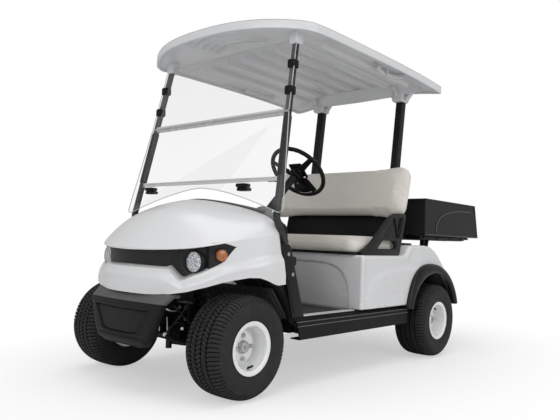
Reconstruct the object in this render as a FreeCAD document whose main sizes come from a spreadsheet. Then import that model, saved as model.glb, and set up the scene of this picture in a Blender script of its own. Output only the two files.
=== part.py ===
"""Two-seat electric golf cart with a canopy, a two-pane windshield and a cargo box with a drop tailgate.

The part frame has +X forward, +Y to the driver's side and +Z up, in millimetres, with the origin on the
ground under the middle of the cart. Every sub-part is drawn with x = 0 at the front axle and is then placed
at the front axle's station, apart from the wheels, which are drawn round their own centres.
"""
import FreeCAD, Part
import math
import os

import Sketcher

V = FreeCAD.Vector

# Driving dimensions in millimetres: cell alias, value, meaning
SIZES = [
    ("wheelbase", 1675, "front axle to rear axle"),
    ("front_overhang", 310, "front axle to the front of the bumper"),
    ("rear_overhang", 825, "rear axle to the back of the tailgate"),
    ("body_width", 1100, "outside of the body panels"),
    ("cut_overrun", 20, "how far a cutting tool runs past the material"),
    ("seat_gap", 0.3, "gap between pieces that rest on each other"),
    ("shaft_clearance", 0.05, "radial running clearance of a shaft"),
    ("moving_gap", 6, "least gap between pieces that pass each other"),
    # Tyres and rims
    ("tyre_diameter", 457.2, "outside of a tyre"),
    ("tyre_width", 215, "tyre section width"),
    ("tyre_shoulder", 44, "rounding from tread to side wall"),
    ("tyre_bead_width", 184, "tyre width at the rim flanges"),
    ("tyre_flange_relief", 13, "height of the tyre's soft side above the rim flange"),
    ("front_track", 905, "between the centres of the front tyres"),
    ("rear_track", 995, "between the centres of the rear tyres"),
    ("rim_seat_diameter", 203.2, "bead seat of the rim"),
    ("rim_flange_diameter", 238, "outside of the rim flange"),
    ("rim_width", 196, "over both rim flanges"),
    ("rim_wall", 4.5, "thickness of the rolled rim"),
    ("rim_dish", 62, "outer flange to the wheel disc"),
    ("rim_dish_cone", 22, "depth of the cone round the wheel disc"),
    ("rim_disc_diameter", 130, "flat middle of the wheel disc"),
    ("lug_circle", 101.6, "circle of the wheel nuts"),
    ("lug_hole_diameter", 13, "hole for a wheel nut"),
    ("hub_diameter", 68, "hub barrel"),
    ("hub_length", 46, "hub barrel behind the wheel disc"),
    ("spindle_diameter", 25, "front spindle"),
    ("axle_shaft_diameter", 30, "rear half shaft"),
    # Frame
    ("rail_inset", 140, "kingpin in to the middle of a main rail"),
    ("rail_width", 50, "width of a main rail"),
    ("rail_height", 70, "height of a main rail"),
    ("rail_bottom", 232, "underside of the main rails above ground"),
    ("kick_rise", 96, "rise of the rails over the rear axle"),
    ("kick_ahead", 425, "rear axle forward to the start of that rise"),
    ("kick_run", 100, "length of that rise"),
    ("frame_nose", 150, "front axle to the front ends of the rails"),
    ("bumper_bracket_half", 120, "middle to a bumper bracket"),
    ("frame_tail", 315, "rear axle to the rear ends of the rails"),
    ("cross_width", 40, "width of a cross member"),
    ("cross_height", 40, "height of a cross member"),
    ("outrigger_reach", 50, "how far the outriggers stop short of the body side"),
    # Floor and sills
    ("floor_thickness", 14, "floor pan"),
    ("floor_lift", 12, "floor pan above the rails"),
    ("toe_depth", 120, "toe board run"),
    ("toe_rise", 150, "toe board rise"),
    ("front_bulkhead", 190, "front axle back to the toe board's top"),
    ("rocker_front", 300, "front axle back to the rocker's front end"),
    ("rocker_height", 112, "rocker depth"),
    ("rocker_width", 62, "rocker width"),
    ("rocker_wall", 5, "rocker wall"),
    ("rocker_top", 342, "top of the rocker above ground"),
    ("rocker_nose_slant", 34, "slope of the rocker's front end"),
    ("rocker_side_inset", 4, "rocker face behind the body side"),
    # Front cowl
    ("cowl_nose", 285, "front axle to the cowl's nose"),
    ("cowl_side_start", 150, "front axle back to where the cowl's sides run straight"),
    ("cowl_back", 330, "front axle back to the blank's rear edge"),
    ("cowl_top", 897, "highest point of the hood"),
    ("cowl_crown_drop", 88, "fall of the hood from its middle to its shoulder"),
    ("cowl_shoulder", 78, "height of the rounded shoulder"),
    ("cowl_lip_middle", 645, "hood edge over the lamp band, in the middle"),
    ("cowl_lip_rise", 90, "rise of that edge to the side"),
    ("cowl_wall", 4, "cowl skin"),
    ("cowl_floor", 430, "lowest level of the cowl blank"),
    ("cowl_edge_top_back", 124, "rear edge of the cowl at the hood"),
    ("cowl_edge_low_back", 252, "rear edge of the cowl at its foot"),
    ("cowl_edge_low", 494, "foot of the cowl's rear edge"),
    ("arch_top", 534, "top of the front wheel opening"),
    ("fascia_low", 443, "lower edge of the fascia at the nose"),
    # Lamp band
    ("band_half_span", 478, "middle to the outer tip of the lamp band"),
    ("band_top", 638, "upper edge of the band in the middle"),
    ("band_tip", 652, "level of the band's outer tip"),
    ("band_low", 526, "lowest corner of the band"),
    ("band_middle_low", 578, "lower edge of the band in the middle"),
    ("band_wall", 4, "lamp band moulding"),
    ("band_setback", 14, "band face behind the cowl's outer face"),
    ("headlamp_diameter", 92, "headlamp lens"),
    ("headlamp_offset", 325, "middle to the headlamp"),
    ("headlamp_level", 595, "headlamp centre above ground"),
    ("headlamp_depth", 30, "headlamp depth"),
    ("indicator_diameter", 52, "amber lamp"),
    ("indicator_offset", 425, "middle to the amber lamp"),
    ("indicator_level", 628, "amber lamp centre above ground"),
    ("indicator_depth", 22, "amber lamp depth"),
    # Bumper
    ("bumper_top", 437, "top of the bumper"),
    ("bumper_bottom", 205, "bottom of the bumper"),
    ("bumper_top_width", 600, "bumper width at the top"),
    ("bumper_bottom_width", 380, "bumper width at the bottom"),
    ("bumper_sweep", 56, "how far the bumper's ends sweep back"),
    ("bumper_wall", 6, "bumper moulding"),
    ("bumper_depth", 70, "depth of the bumper's side walls"),
    ("bumper_panel_inset", 46, "border round the sunk middle panel"),
    ("bumper_panel_depth", 5, "how deep the middle panel is sunk"),
    # Front pillars and windshield
    ("strut_foot_back", 204, "front axle back to the strut's foot"),
    ("strut_foot_half", 541, "middle to the strut's foot"),
    ("strut_bend_back", 130, "front axle back to the strut's bend"),
    ("strut_bend_level", 806, "strut bend above ground"),
    ("strut_bend_half", 545, "middle to the strut's bend"),
    ("strut_head_back", 299, "front axle back to the strut's head"),
    ("strut_head_level", 1702, "strut head above ground"),
    ("strut_head_half", 465, "middle to the strut's head"),
    ("strut_width", 27, "strut section"),
    ("plate_top", 690, "top of the pillar plate"),
    ("plate_top_back", 168, "front axle back to the plate's top front corner"),
    ("plate_top_length", 69, "pillar plate length at the top"),
    ("plate_foot_back", 270, "front axle back to the plate's lower front corner"),
    ("plate_foot_length", 87, "pillar plate length at the foot"),
    ("plate_thickness", 8, "pillar plate"),
    ("pane_thickness", 5, "windshield sheet"),
    ("pane_overlap", 18, "how far the panes reach past the struts' middle"),
    ("pane_gap", 6, "gap between the upper and the lower pane"),
    ("mid_rail_level", 1319, "middle rail above ground"),
    ("low_rail_level", 990, "low rail above ground"),
    ("rail_tube", 22, "windshield rail"),
    ("pane_top_level", 1690, "top of the upper pane"),
    ("pane_foot_level", 833, "lowest corner of the lower pane"),
    ("pane_foot_overlap", 52, "how far that corner reaches past the strut's middle"),
    ("pane_arch_level", 958, "top of the arch in the lower pane's lower edge"),
    ("pane_corner", 30, "rounding of the panes' outer corners"),
    ("clip_length", 46, "height of a windshield clip"),
    ("clip_width", 44, "width of a windshield clip"),
    ("clip_depth", 40, "depth of a windshield clip"),
    ("high_clip_level", 1560, "upper clips of the upper pane"),
    ("low_clip_level", 1425, "lower clips of the upper pane"),
    ("latch_width", 46, "latch that holds the lower pane to the low rail"),
    ("latch_height", 40, "latch of the lower pane"),
    ("latch_depth", 12, "latch of the lower pane"),
    ("latch_driver_side", 305, "middle to the latch before the driver"),
    ("latch_other_side", 425, "middle to the latch before the passenger"),
    # Dashboard
    ("dash_back", 330, "front axle back to the dashboard's rear face"),
    ("dash_top", 855, "dashboard top in the middle"),
    ("dash_bottom", 640, "dashboard underside"),
    ("dash_wall", 4, "dashboard moulding"),
    # Steering
    ("kingpin_inset", 102.5, "middle of a front tyre in to its kingpin"),
    ("kingpin_diameter", 18, "kingpin"),
    ("knuckle_diameter", 42, "knuckle sleeve"),
    ("knuckle_height", 92, "knuckle sleeve"),
    ("steer_arm_back", 90, "kingpin back to the tie rod pin"),
    ("steer_arm_in", 25, "kingpin inwards to the tie rod pin"),
    ("steer_arm_width", 24, "steering arm"),
    ("steer_arm_thickness", 12, "steering arm"),
    ("tie_rod_diameter", 16, "tie rod"),
    ("wheel_centre_back", 605, "front axle back to the steering wheel"),
    ("wheel_centre_level", 1080, "steering wheel above ground"),
    ("seat_place_offset", 269, "middle to the driver's place"),
    ("steering_wheel_diameter", 340, "steering wheel"),
    ("steering_grip_diameter", 25, "steering wheel rim"),
    ("steering_tilt", 45.6, "column angle from upright, in degrees"),
    ("column_diameter", 44, "steering column tube"),
    ("column_length", 520, "steering column tube"),
    ("steering_shaft_diameter", 20, "shaft in the column"),
    # Seat and rear body
    ("seat_front_back", 850, "front axle back to the seat base's front face"),
    ("deck_level", 638, "top of the seat base"),
    ("deck_length", 455, "length of the seat deck along the side"),
    ("shelf_level", 702, "top of the body behind the seat"),
    ("shelf_end", 1590, "front axle back to where the rear slope starts"),
    ("body_wall", 5, "rear body skin"),
    ("flare_foot", 318, "lower ends of the fender flare"),
    ("tail_radius", 372, "rear body edge about the rear axle"),
    ("rear_arch_radius", 312, "rear wheel opening about the axle"),
    ("rear_well_inner", 372, "middle to the wheel well's inner wall"),
    ("bay_length", 330, "battery opening length"),
    ("bay_width", 860, "battery opening width"),
    ("flare_thickness", 52, "fender flare, radially"),
    ("flare_stand_out", 22, "fender flare outside the body side"),
    ("flare_depth", 70, "fender flare width"),
    ("cushion_length", 470, "seat cushion front to back"),
    ("cushion_width", 1000, "seat cushion side to side"),
    ("cushion_thickness", 88, "seat cushion"),
    ("cushion_nose", 22, "cushion front edge ahead of the seat base"),
    ("cushion_round", 30, "cushion rounding"),
    ("backrest_width", 1050, "backrest side to side"),
    ("backrest_height", 322, "backrest height"),
    ("backrest_thickness", 86, "backrest"),
    ("backrest_low_back", 1278, "front axle back to the backrest's lower front edge"),
    ("backrest_low_level", 880, "lower edge of the backrest"),
    ("backrest_lean", 13, "backrest lean in degrees"),
    ("backrest_round", 34, "backrest rounding"),
    ("backrest_corner", 90, "backrest corner radius"),
    ("back_panel_width", 900, "panel under the backrest"),
    ("back_panel_thickness", 16, "panel under the backrest"),
    ("restraint_thickness", 24, "hip restraint casting"),
    ("restraint_offset", 538, "middle to the hip restraint's outer face"),
    ("restraint_front_back", 868, "front axle back to the restraint's front foot"),
    ("restraint_length", 380, "hip restraint foot length"),
    ("restraint_height", 252, "hip restraint height"),
    ("restraint_bar", 34, "hip restraint bar width"),
    ("restraint_web", 9, "web inside the hip restraint's upper triangle"),
    # Rear posts and roof
    ("post_spacing", 660, "between the middles of the rear posts"),
    ("post_width", 50, "rear post section"),
    ("post_foot_back", 1478, "front axle back to the post's foot"),
    ("post_head_back", 1594, "front axle back to the post's head"),
    ("post_head_level", 1668, "head of a rear post"),
    ("roof_front_back", 85, "front axle back to the roof's front edge in the middle"),
    ("roof_rear_back", 1655, "front axle back to the roof's rear edge"),
    ("roof_width", 1200, "roof over both sides"),
    ("roof_bow", 195, "how far the front edge falls back at the corners"),
    ("roof_edge_level", 1717, "lower edge of the roof's side at its highest"),
    ("roof_top_level", 1800, "highest point of the roof"),
    ("roof_lip", 38, "depth of the roof's rim"),
    ("roof_wall", 5, "roof skin"),
    ("roof_rim_width", 14, "width of the roof's rim"),
    ("roof_rib_pitch", 138, "distance between the ribs under the roof"),
    ("roof_rib_width", 68, "rib under the roof"),
    ("roof_rib_depth", 15, "how far a rib stands below the roof skin"),
    ("roof_rib_front_back", 540, "front axle back to the front ends of the ribs"),
    ("roof_rib_rear_margin", 185, "rear ends of the ribs ahead of the roof's rear edge"),
    ("roof_level_back", 650, "front axle back to the roof's highest station"),
    ("roof_front_fall", 40, "fall of the roof to its front edge"),
    ("roof_rear_fall", 60, "fall of the roof to its rear edge"),
    ("bracket_border", 9, "wall of the roof brackets round a strut or post"),
    # Load box
    ("box_front_back", 1650, "front axle back to the box's front wall"),
    ("box_width", 1000, "load box width"),
    ("box_level", 772, "underside of the box"),
    ("box_height", 240, "height of the box"),
    ("box_wall", 5, "box wall"),
    ("box_rear_lean", 62, "how far the box's rear leans out towards its foot"),
    ("tailgate_thickness", 22, "tailgate"),
    ("hinge_pin_diameter", 8, "tailgate hinge pin"),
    ("hinge_sleeve_diameter", 16, "tailgate hinge sleeve"),
    ("hinge_sleeve_length", 70, "tailgate hinge sleeve"),
    ("hinge_offset", 380, "middle to a tailgate hinge"),
    ("hinge_ear", 6, "ears that hold a hinge pin"),
    ("support_tube", 30, "box support tubes"),
    ("support_spacing", 640, "between the middles of the box supports"),
    # Running gear
    ("rear_axle_diameter", 64, "rear axle tube"),
    ("diff_diameter", 170, "differential housing"),
    ("diff_width", 130, "differential housing"),
    ("motor_diameter", 170, "drive motor"),
    ("motor_length", 115, "drive motor beyond the differential"),
    ("brake_diameter", 178, "rear brake drum"),
    ("brake_width", 48, "rear brake drum"),
    ("spring_width", 45, "leaf spring"),
    ("spring_thickness", 20, "leaf spring stack"),
    ("spring_half_length", 290, "axle to a spring eye"),
    ("damper_diameter", 42, "damper body"),
    ("beam_width", 46, "front suspension arm"),
    ("beam_height", 30, "front suspension arm"),
    ("fork_thickness", 14, "ears that hold the kingpin"),
    ("front_tower_offset", 150, "middle to the damper tower"),
    ("battery_length", 300, "battery pack"),
    ("battery_width", 820, "battery pack"),
    ("battery_height", 275, "battery pack"),
    ("pedal_width", 70, "pedal pads"),
    ("pedal_height", 90, "pedal pads"),
    ("pedal_thickness", 10, "pedal pads"),
    ("pedal_gap", 130, "between the two pedals"),
    ("pedal_lift", 45, "pedal pads above the toe board"),
]

doc = FreeCAD.newDocument("golf_cart")
sheet = doc.addObject("Spreadsheet::Sheet", "Sizes")


class Size:
    """A length with its value in millimetres and the sheet expression that gives it."""

    def __init__(self, value, text):
        self.value = float(value)
        self.text = text

    @staticmethod
    def of(other):
        """Return other as a Size, with a plain number written as itself."""
        if isinstance(other, Size):
            return other
        return Size(other, "({:.10g})".format(other))

    def __add__(self, other):
        other = Size.of(other)
        return Size(self.value + other.value, "({} + {})".format(self.text, other.text))

    def __sub__(self, other):
        other = Size.of(other)
        return Size(self.value - other.value, "({} - {})".format(self.text, other.text))

    def __rsub__(self, other):
        return Size.of(other) - self

    def __mul__(self, factor):
        factor = Size.of(factor)
        return Size(self.value * factor.value, "({} * {})".format(self.text, factor.text))

    def __truediv__(self, divisor):
        divisor = Size.of(divisor)
        return Size(self.value / divisor.value, "({} / {})".format(self.text, divisor.text))

    def __neg__(self):
        return Size(-self.value, "(-{})".format(self.text))

    __radd__ = __add__
    __rmul__ = __mul__


ZERO = Size(0, "0")


def fill_sheet():
    """Write every driving dimension into the sheet and return it as a Size by its alias."""
    sizes = {}
    for row, (alias, value, meaning) in enumerate(SIZES, start=1):
        sheet.set("A{}".format(row), meaning)
        sheet.set("B{}".format(row), str(value))
        sheet.setAlias("B{}".format(row), alias)
        sizes[alias] = Size(value, "Sizes.{}".format(alias))
    doc.recompute()
    return sizes


S = fill_sheet()
PIECES = []

HALF_BODY = S["body_width"] / 2
FRONT_AXLE_X = (S["wheelbase"] + S["rear_overhang"] - S["front_overhang"]) / 2
WHEEL_LEVEL = S["tyre_diameter"] / 2
REAR_AXLE = -S["wheelbase"]
TAIL = REAR_AXLE - S["rear_overhang"]
RAIL_TOP = S["rail_bottom"] + S["rail_height"]
FLOOR_TOP = RAIL_TOP + S["floor_lift"] + S["floor_thickness"]
DECK_BACK = S["seat_front_back"] + S["deck_length"]
BODY_FOOT = S["rocker_top"] + S["seat_gap"]
PLATE_FACE = HALF_BODY - S["cowl_wall"] - S["seat_gap"]
KICK_START = REAR_AXLE + S["kick_ahead"]
KICK_END = KICK_START - S["kick_run"]
KINGPIN = S["front_track"] / 2 - S["kingpin_inset"]
RAIL_MIDDLE = KINGPIN - S["rail_inset"]
STRUT_FOOT = S["plate_top"] + S["seat_gap"]
HINGE_X = TAIL + S["tailgate_thickness"] / 2
HINGE_Z = S["box_level"] - S["hinge_sleeve_diameter"] / 2


def place(piece, x=ZERO, y=ZERO, z=ZERO):
    """Bind a sub-part's place: x counts from the front axle."""
    piece.setExpression(".Placement.Base.x", (FRONT_AXLE_X + x).text)
    piece.setExpression(".Placement.Base.y", y.text)
    piece.setExpression(".Placement.Base.z", z.text)


def finish(piece, name, x=ZERO, y=ZERO, z=ZERO):
    """Name a sub-part, place it and count it as a node."""
    piece.Label = name
    place(piece, x, y, z)
    PIECES.append(piece)
    return piece


def feature(name, shape, x=ZERO, y=ZERO, z=ZERO):
    """Keep a shape made from the sheet's sizes as a sub-part of its own."""
    piece = doc.addObject("Part::Feature", name)
    piece.Shape = shape
    return finish(piece, name, x, y, z)


def plane_of(body, role):
    """Return one of a body's own origin planes or axes by its role."""
    return next(item for item in body.Origin.OriginFeatures if item.Role == role)


def outline(body, name, role, points, offset=None):
    """Add a closed sketch of straight runs, each corner held by two bound distances from the origin."""
    sketch = body.newObject("Sketcher::SketchObject", name)
    sketch.AttachmentSupport = (plane_of(body, role), [""])
    sketch.MapMode = "FlatFace"
    if offset is not None:
        sketch.setExpression("AttachmentOffset.Base.z", offset.text)
    corners = [(Size.of(a), Size.of(b)) for a, b in points]
    for index, (a, b) in enumerate(corners):
        c, d = corners[(index + 1) % len(corners)]
        sketch.addGeometry(Part.LineSegment(V(a.value, b.value, 0), V(c.value, d.value, 0)), False)
    for index in range(len(corners)):
        follower = (index + 1) % len(corners)
        sketch.addConstraint(Sketcher.Constraint("Coincident", index, 2, follower, 1))
    for index, (a, b) in enumerate(corners):
        for kind, distance in (("DistanceX", a), ("DistanceY", b)):
            number = sketch.addConstraint(Sketcher.Constraint(kind, -1, 1, index, 1, distance.value))
            sketch.setExpression("Constraints[{}]".format(number), distance.text)
    return sketch


def pad(body, name, sketch, length, both=False, back=False):
    """Pad a sketch by a bound length, on both sides of its plane where both is set."""
    solid = body.newObject("PartDesign::Pad", name)
    solid.Profile = sketch
    solid.setExpression("Length", length.text)
    solid.Midplane = both
    solid.Reversed = back
    return solid


def pocket(body, name, sketch, length, both=False, back=False):
    """Cut a sketch out of the body by a bound length."""
    cut = body.newObject("PartDesign::Pocket", name)
    cut.Profile = sketch
    cut.setExpression("Length", length.text)
    cut.Midplane = both
    cut.Reversed = back
    return cut


def revolve(body, name, sketch, axis="H_Axis"):
    """Turn a sketch once about one of its own axes."""
    solid = body.newObject("PartDesign::Revolution", name)
    solid.Profile = sketch
    solid.ReferenceAxis = (sketch, [axis])
    solid.Angle = 360
    return solid


def round_edges(body, name, base, radius, chosen):
    """Fillet the edges of a feature that the test picks."""
    doc.recompute()
    names = ["Edge{}".format(n) for n, edge in enumerate(base.Shape.Edges, start=1) if chosen(edge)]
    rounding = body.newObject("PartDesign::Fillet", name)
    rounding.Base = (base, names)
    rounding.setExpression("Radius", radius.text)
    return rounding


def new_body(name):
    return doc.addObject("PartDesign::Body", name)


def block(x0, x1, y0, y1, z0, z1):
    """Return a box between bound places, in the part's own directions."""
    low = [min(a.value, b.value) for a, b in ((x0, x1), (y0, y1), (z0, z1))]
    high = [max(a.value, b.value) for a, b in ((x0, x1), (y0, y1), (z0, z1))]
    return Part.makeBox(high[0] - low[0], high[1] - low[1], high[2] - low[2], V(*low))


def bar(start, end, radius):
    """Return a round bar from one point to another."""
    axis = end.sub(start)
    return Part.makeCylinder(radius, axis.Length, start, axis)


def square_bar(start, end, width, side=V(0, 1, 0)):
    """Return a square bar from one point to another, with two faces square to side."""
    axis = end.sub(start)
    across = side.cross(axis).normalize()
    along = axis.cross(across).normalize()
    half = width / 2
    corners = [start + across * (a * half) + along * (b * half) for a, b in ((1, 1), (-1, 1), (-1, -1), (1, -1))]
    return Part.Face(Part.makePolygon(corners + corners[:1])).extrude(axis)


def plate(points, direction):
    """Return the solid that a flat outline sweeps along a direction."""
    return Part.Face(Part.makePolygon(points + points[:1])).extrude(direction)


def at(x, y, z):
    """Return the point at three bound places."""
    return V(Size.of(x).value, Size.of(y).value, Size.of(z).value)


# Wheels

def tyre(name, x, y):
    """A road tyre: a ring with flat tread, sloped shoulders and a relief at the rim flanges."""
    radius = S["tyre_diameter"] / 2
    bore = S["rim_seat_diameter"] / 2 + S["seat_gap"]
    flange = S["rim_flange_diameter"] / 2 + S["seat_gap"]
    bead = S["tyre_bead_width"] / 2
    wall = S["tyre_width"] / 2
    body = new_body(name)
    shoulder = S["tyre_shoulder"]
    shoulder_shares = [(0.0, 1.0), (0.13, 0.48), (0.48, 0.13), (1.0, 0.0)]
    right = [(wall - shoulder * a, radius - shoulder * b) for a, b in shoulder_shares]
    side = [(bead, flange), (wall, flange + S["tyre_flange_relief"])]
    profile = [(bead, bore)] + side + right
    ring = outline(body, name + "_section", "YZ_Plane", profile + [(-a, b) for a, b in profile[::-1]])
    revolve(body, name + "_ring", ring)
    finish(body, name, x, y, WHEEL_LEVEL)


def rim(name, x, y, side, shaft):
    """A rolled steel rim with flanges, a deep dish, four nut holes and a hub bored for its shaft."""
    seat = S["rim_seat_diameter"] / 2
    inside = seat - S["rim_wall"]
    flange = S["rim_flange_diameter"] / 2
    edge = S["rim_width"] / 2
    wall = S["rim_wall"]
    disc = edge - S["rim_dish"]
    flat = S["rim_disc_diameter"] / 2
    hub = S["hub_diameter"] / 2
    bore = shaft / 2 + S["shaft_clearance"]
    foot = disc - S["hub_length"]
    body = new_body(name)
    section = outline(body, name + "_section", "YZ_Plane", [
        ((edge) * side, flange), ((edge - wall) * side, flange), ((edge - wall) * side, seat),
        (-(edge - wall) * side, seat), (-(edge - wall) * side, flange), (-(edge) * side, flange),
        (-(edge) * side, inside), ((disc - S["rim_dish_cone"] - wall) * side, inside),
        ((disc - wall) * side, flat - wall), ((disc - wall) * side, hub), (foot * side, hub),
        (foot * side, bore), (disc * side, bore), (disc * side, flat),
        ((disc - S["rim_dish_cone"]) * side, inside), (edge * side, inside)])
    turned = revolve(body, name + "_rolled", section)
    hole = body.newObject("Sketcher::SketchObject", name + "_nut_hole")
    hole.AttachmentSupport = (plane_of(body, "XZ_Plane"), [""])
    hole.MapMode = "FlatFace"
    offset, radius = S["lug_circle"] / 2, S["lug_hole_diameter"] / 2
    hole.addGeometry(Part.Circle(V(offset.value, 0, 0), V(0, 0, 1), radius.value), False)
    hole.addConstraint(Sketcher.Constraint("PointOnObject", 0, 3, -1))
    for number, bound in ((hole.addConstraint(Sketcher.Constraint("DistanceX", -1, 1, 0, 3, offset.value)), offset),
                          (hole.addConstraint(Sketcher.Constraint("Radius", 0, radius.value)), radius)):
        hole.setExpression("Constraints[{}]".format(number), bound.text)
    cut = pocket(body, name + "_nut_cut", hole, S["rim_width"], both=True)
    ring = body.newObject("PartDesign::PolarPattern", name + "_nut_ring")
    ring.Originals = [cut]
    ring.Axis = (plane_of(body, "Y_Axis"), [""])
    ring.Angle = 360
    ring.Occurrences = 4
    body.Tip = ring
    doc.recompute()
    assert ring.Shape.Volume < turned.Shape.Volume
    finish(body, name, x, y, WHEEL_LEVEL)


def wheels():
    """Four tyres on four rims: the front pair on spindles, the rear pair on half shafts."""
    for end, x, track, shaft in (("front", ZERO, S["front_track"], S["spindle_diameter"]),
                                 ("rear", REAR_AXLE, S["rear_track"], S["axle_shaft_diameter"])):
        for hand, side in (("left", 1), ("right", -1)):
            y = track / 2 * side
            tyre("tyre_{}_{}".format(end, hand), x, y)
            rim("rim_{}_{}".format(end, hand), x, y, side, shaft)


# Frame and running gear

def bumper_sag(y):
    """Return how far the bowed bumper lies behind its middle at a distance y from it."""
    half, sweep = (S["bumper_top_width"] / 2 + S["cut_overrun"]).value, S["bumper_sweep"].value
    radius = (half ** 2 + sweep ** 2) / (2 * sweep)
    return radius - math.sqrt(radius ** 2 - y.value ** 2)


def box_posts(grow):
    """Return the four upright posts from the frame to the load box's supports, grown by grow."""
    tube = S["support_tube"] / 2 + grow
    top = S["box_level"] - S["seat_gap"] * 2 - S["support_tube"]
    front, rear = -S["post_foot_back"] - S["post_width"], REAR_AXLE - S["frame_tail"] + S["cross_width"]
    posts = []
    for side in (1, -1):
        y = S["support_spacing"] / 2 * side
        for x in (front - S["support_tube"] / 2, rear - S["support_tube"] / 2):
            foot = RAIL_TOP + S["kick_rise"] + S["seat_gap"] - grow
            posts.append(block(x - tube, x + tube, y - tube, y + tube, foot, top))
    return posts


def main_frame():
    """Ladder frame: rails that rise over the rear axle, cross members, outriggers and the load box's supports."""
    rail = S["rail_width"] / 2
    gap = S["seat_gap"]
    nose, tail = S["frame_nose"], REAR_AXLE - S["frame_tail"]
    middle = RAIL_MIDDLE
    low, high, rise = S["rail_bottom"], RAIL_TOP, S["kick_rise"]
    depth, drop = S["cross_width"], S["cross_height"]
    side_view = [(nose, low), (KICK_START, low), (KICK_END, low + rise), (tail, low + rise),
                 (tail, high + rise), (KICK_END, high + rise), (KICK_START, high), (nose, high)]
    inner, outer, reach = middle - rail - gap, middle + rail + gap, HALF_BODY - S["outrigger_reach"]
    crosses = [-S["rocker_front"] - depth, -S["seat_front_back"] - depth, -DECK_BACK + depth]
    inside = S["front_overhang"] - S["bumper_wall"] - S["bumper_panel_depth"] - gap
    nose_end = inside - bumper_sag(S["bumper_bracket_half"] + rail)
    members = [block(nose - depth, nose, -inner, inner, high - drop, high)]
    for x in crosses:
        members.append(block(x, x + depth, -inner, inner, high - drop, high))
    half, tube = S["support_spacing"] / 2, S["support_tube"] / 2
    top = S["box_level"] - gap
    front, rear = -S["post_foot_back"] - S["post_width"], TAIL + S["box_rear_lean"] * 3
    deck = high + rise
    for x in (front, tail + depth):
        members.append(block(x - depth, x, -inner, inner, deck - drop, deck))
    for x in (front - tube, rear + tube):
        members.append(block(x - tube, x + tube, -half + tube + gap, half - tube - gap, top - S["support_tube"], top))
    for side in (1, -1):
        corners = [at(x, middle * side - rail, z) for x, z in side_view]
        members.append(plate(corners, at(0, S["rail_width"], 0)))
        y = S["bumper_bracket_half"] * side
        members.append(block(nose + gap, nose_end, y - rail, y + rail, high - drop, high))
        for x in crosses:
            members.append(block(x, x + depth, outer * side, reach * side, high - drop, high))
        for x in (front, tail + depth):
            members.append(block(x - depth, x, outer * side, (half + tube) * side, deck - drop, deck))
        y = half * side
        members.append(block(front, rear, y - tube, y + tube, top - S["support_tube"], top))
    feature("main_frame", Part.makeCompound(members + box_posts(ZERO)))


def front_suspension():
    """Axle beam with forks round the knuckles, kingpins, damper tower and dampers."""
    pin = S["kingpin_diameter"] / 2
    half = S["knuckle_height"] / 2
    gap = S["seat_gap"]
    ear = S["fork_thickness"]
    rail_out = RAIL_MIDDLE + S["rail_width"] / 2 + gap
    depth = S["beam_width"] / 2
    low_beam = S["rail_bottom"] - gap
    solids = [block(-depth, depth, -rail_out - ear, rail_out + ear, low_beam - S["beam_height"], low_beam)]
    tower = S["front_tower_offset"]
    inner_edge = RAIL_MIDDLE - S["rail_width"] / 2 - gap
    solids.append(block(-depth, depth, -inner_edge, inner_edge, S["band_low"] - ear, S["band_low"]))
    for side in (1, -1):
        y = KINGPIN * side
        top, low = WHEEL_LEVEL + half + gap, WHEEL_LEVEL - half - gap
        inner = y - (S["knuckle_diameter"] + S["moving_gap"]) * side
        for z0, z1 in ((top, top + ear), (low - ear, low)):
            solids.append(block(-depth, depth, inner, y, z0, z1))
            solids.append(Part.makeCylinder(depth.value, ear.value, at(0, y, z0)))
        solids.append(block(-depth, depth, rail_out * side, inner, top, top + ear))
        solids.append(block(-depth, depth, inner, inner - ear * 2 * side, low - ear, top + ear))
        solids.append(Part.makeCylinder(pin.value, (top - low + ear * 2).value, at(0, y, low - ear)))
        solids.append(block(-depth, depth, rail_out * side, (rail_out + ear) * side,
                            low_beam - S["beam_height"], RAIL_TOP + gap + ear))
        solids.append(block(-depth, depth, (rail_out + ear) * side, inner_edge * side - ear * side,
                            RAIL_TOP + gap, RAIL_TOP + gap + ear))
        solids.append(block(-depth, depth, inner_edge * side, (inner_edge - ear) * side,
                            RAIL_TOP + gap, S["band_low"]))
        solids.append(bar(at(0, (rail_out + ear) * side, RAIL_TOP + gap + ear), at(0, tower * side, S["band_low"]),
                          S["damper_diameter"].value / 2))
    feature("front_suspension", solids[0].fuse(solids[1:]))


def knuckle(name, side):
    """Steering knuckle: a sleeve round the kingpin, the wheel spindle and the steering arm."""
    half = S["knuckle_height"] / 2
    sleeve = S["knuckle_diameter"] / 2
    spindle = S["spindle_diameter"] / 2
    arm = S["steer_arm_thickness"]
    tip = S["front_track"] / 2 - KINGPIN + S["rim_width"] / 2 - S["rim_dish"] + S["rim_wall"]
    shape = Part.makeCylinder(sleeve.value, (half * 2).value, at(0, 0, -half))
    shape = shape.fuse(bar(at(0, 0, 0), at(0, tip * side, 0), spindle.value))
    width = S["steer_arm_width"].value / 2
    pin = at(-S["steer_arm_back"], -S["steer_arm_in"] * side, -half)
    across = V(0, 0, 1).cross(pin - at(0, 0, -half)).normalize() * width
    root = at(0, 0, -half)
    shape = shape.fuse(plate([root + across, pin + across, pin - across, root - across], at(0, 0, arm)))
    shape = shape.fuse(Part.makeCylinder(width, arm.value, pin))
    bore = S["kingpin_diameter"] / 2 + S["shaft_clearance"]
    run = S["cut_overrun"]
    shape = shape.cut(Part.makeCylinder(bore.value, ((half + run) * 2).value, at(0, 0, -half - run)))
    feature(name, shape.removeSplitter(), y=KINGPIN * side, z=WHEEL_LEVEL)


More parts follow.
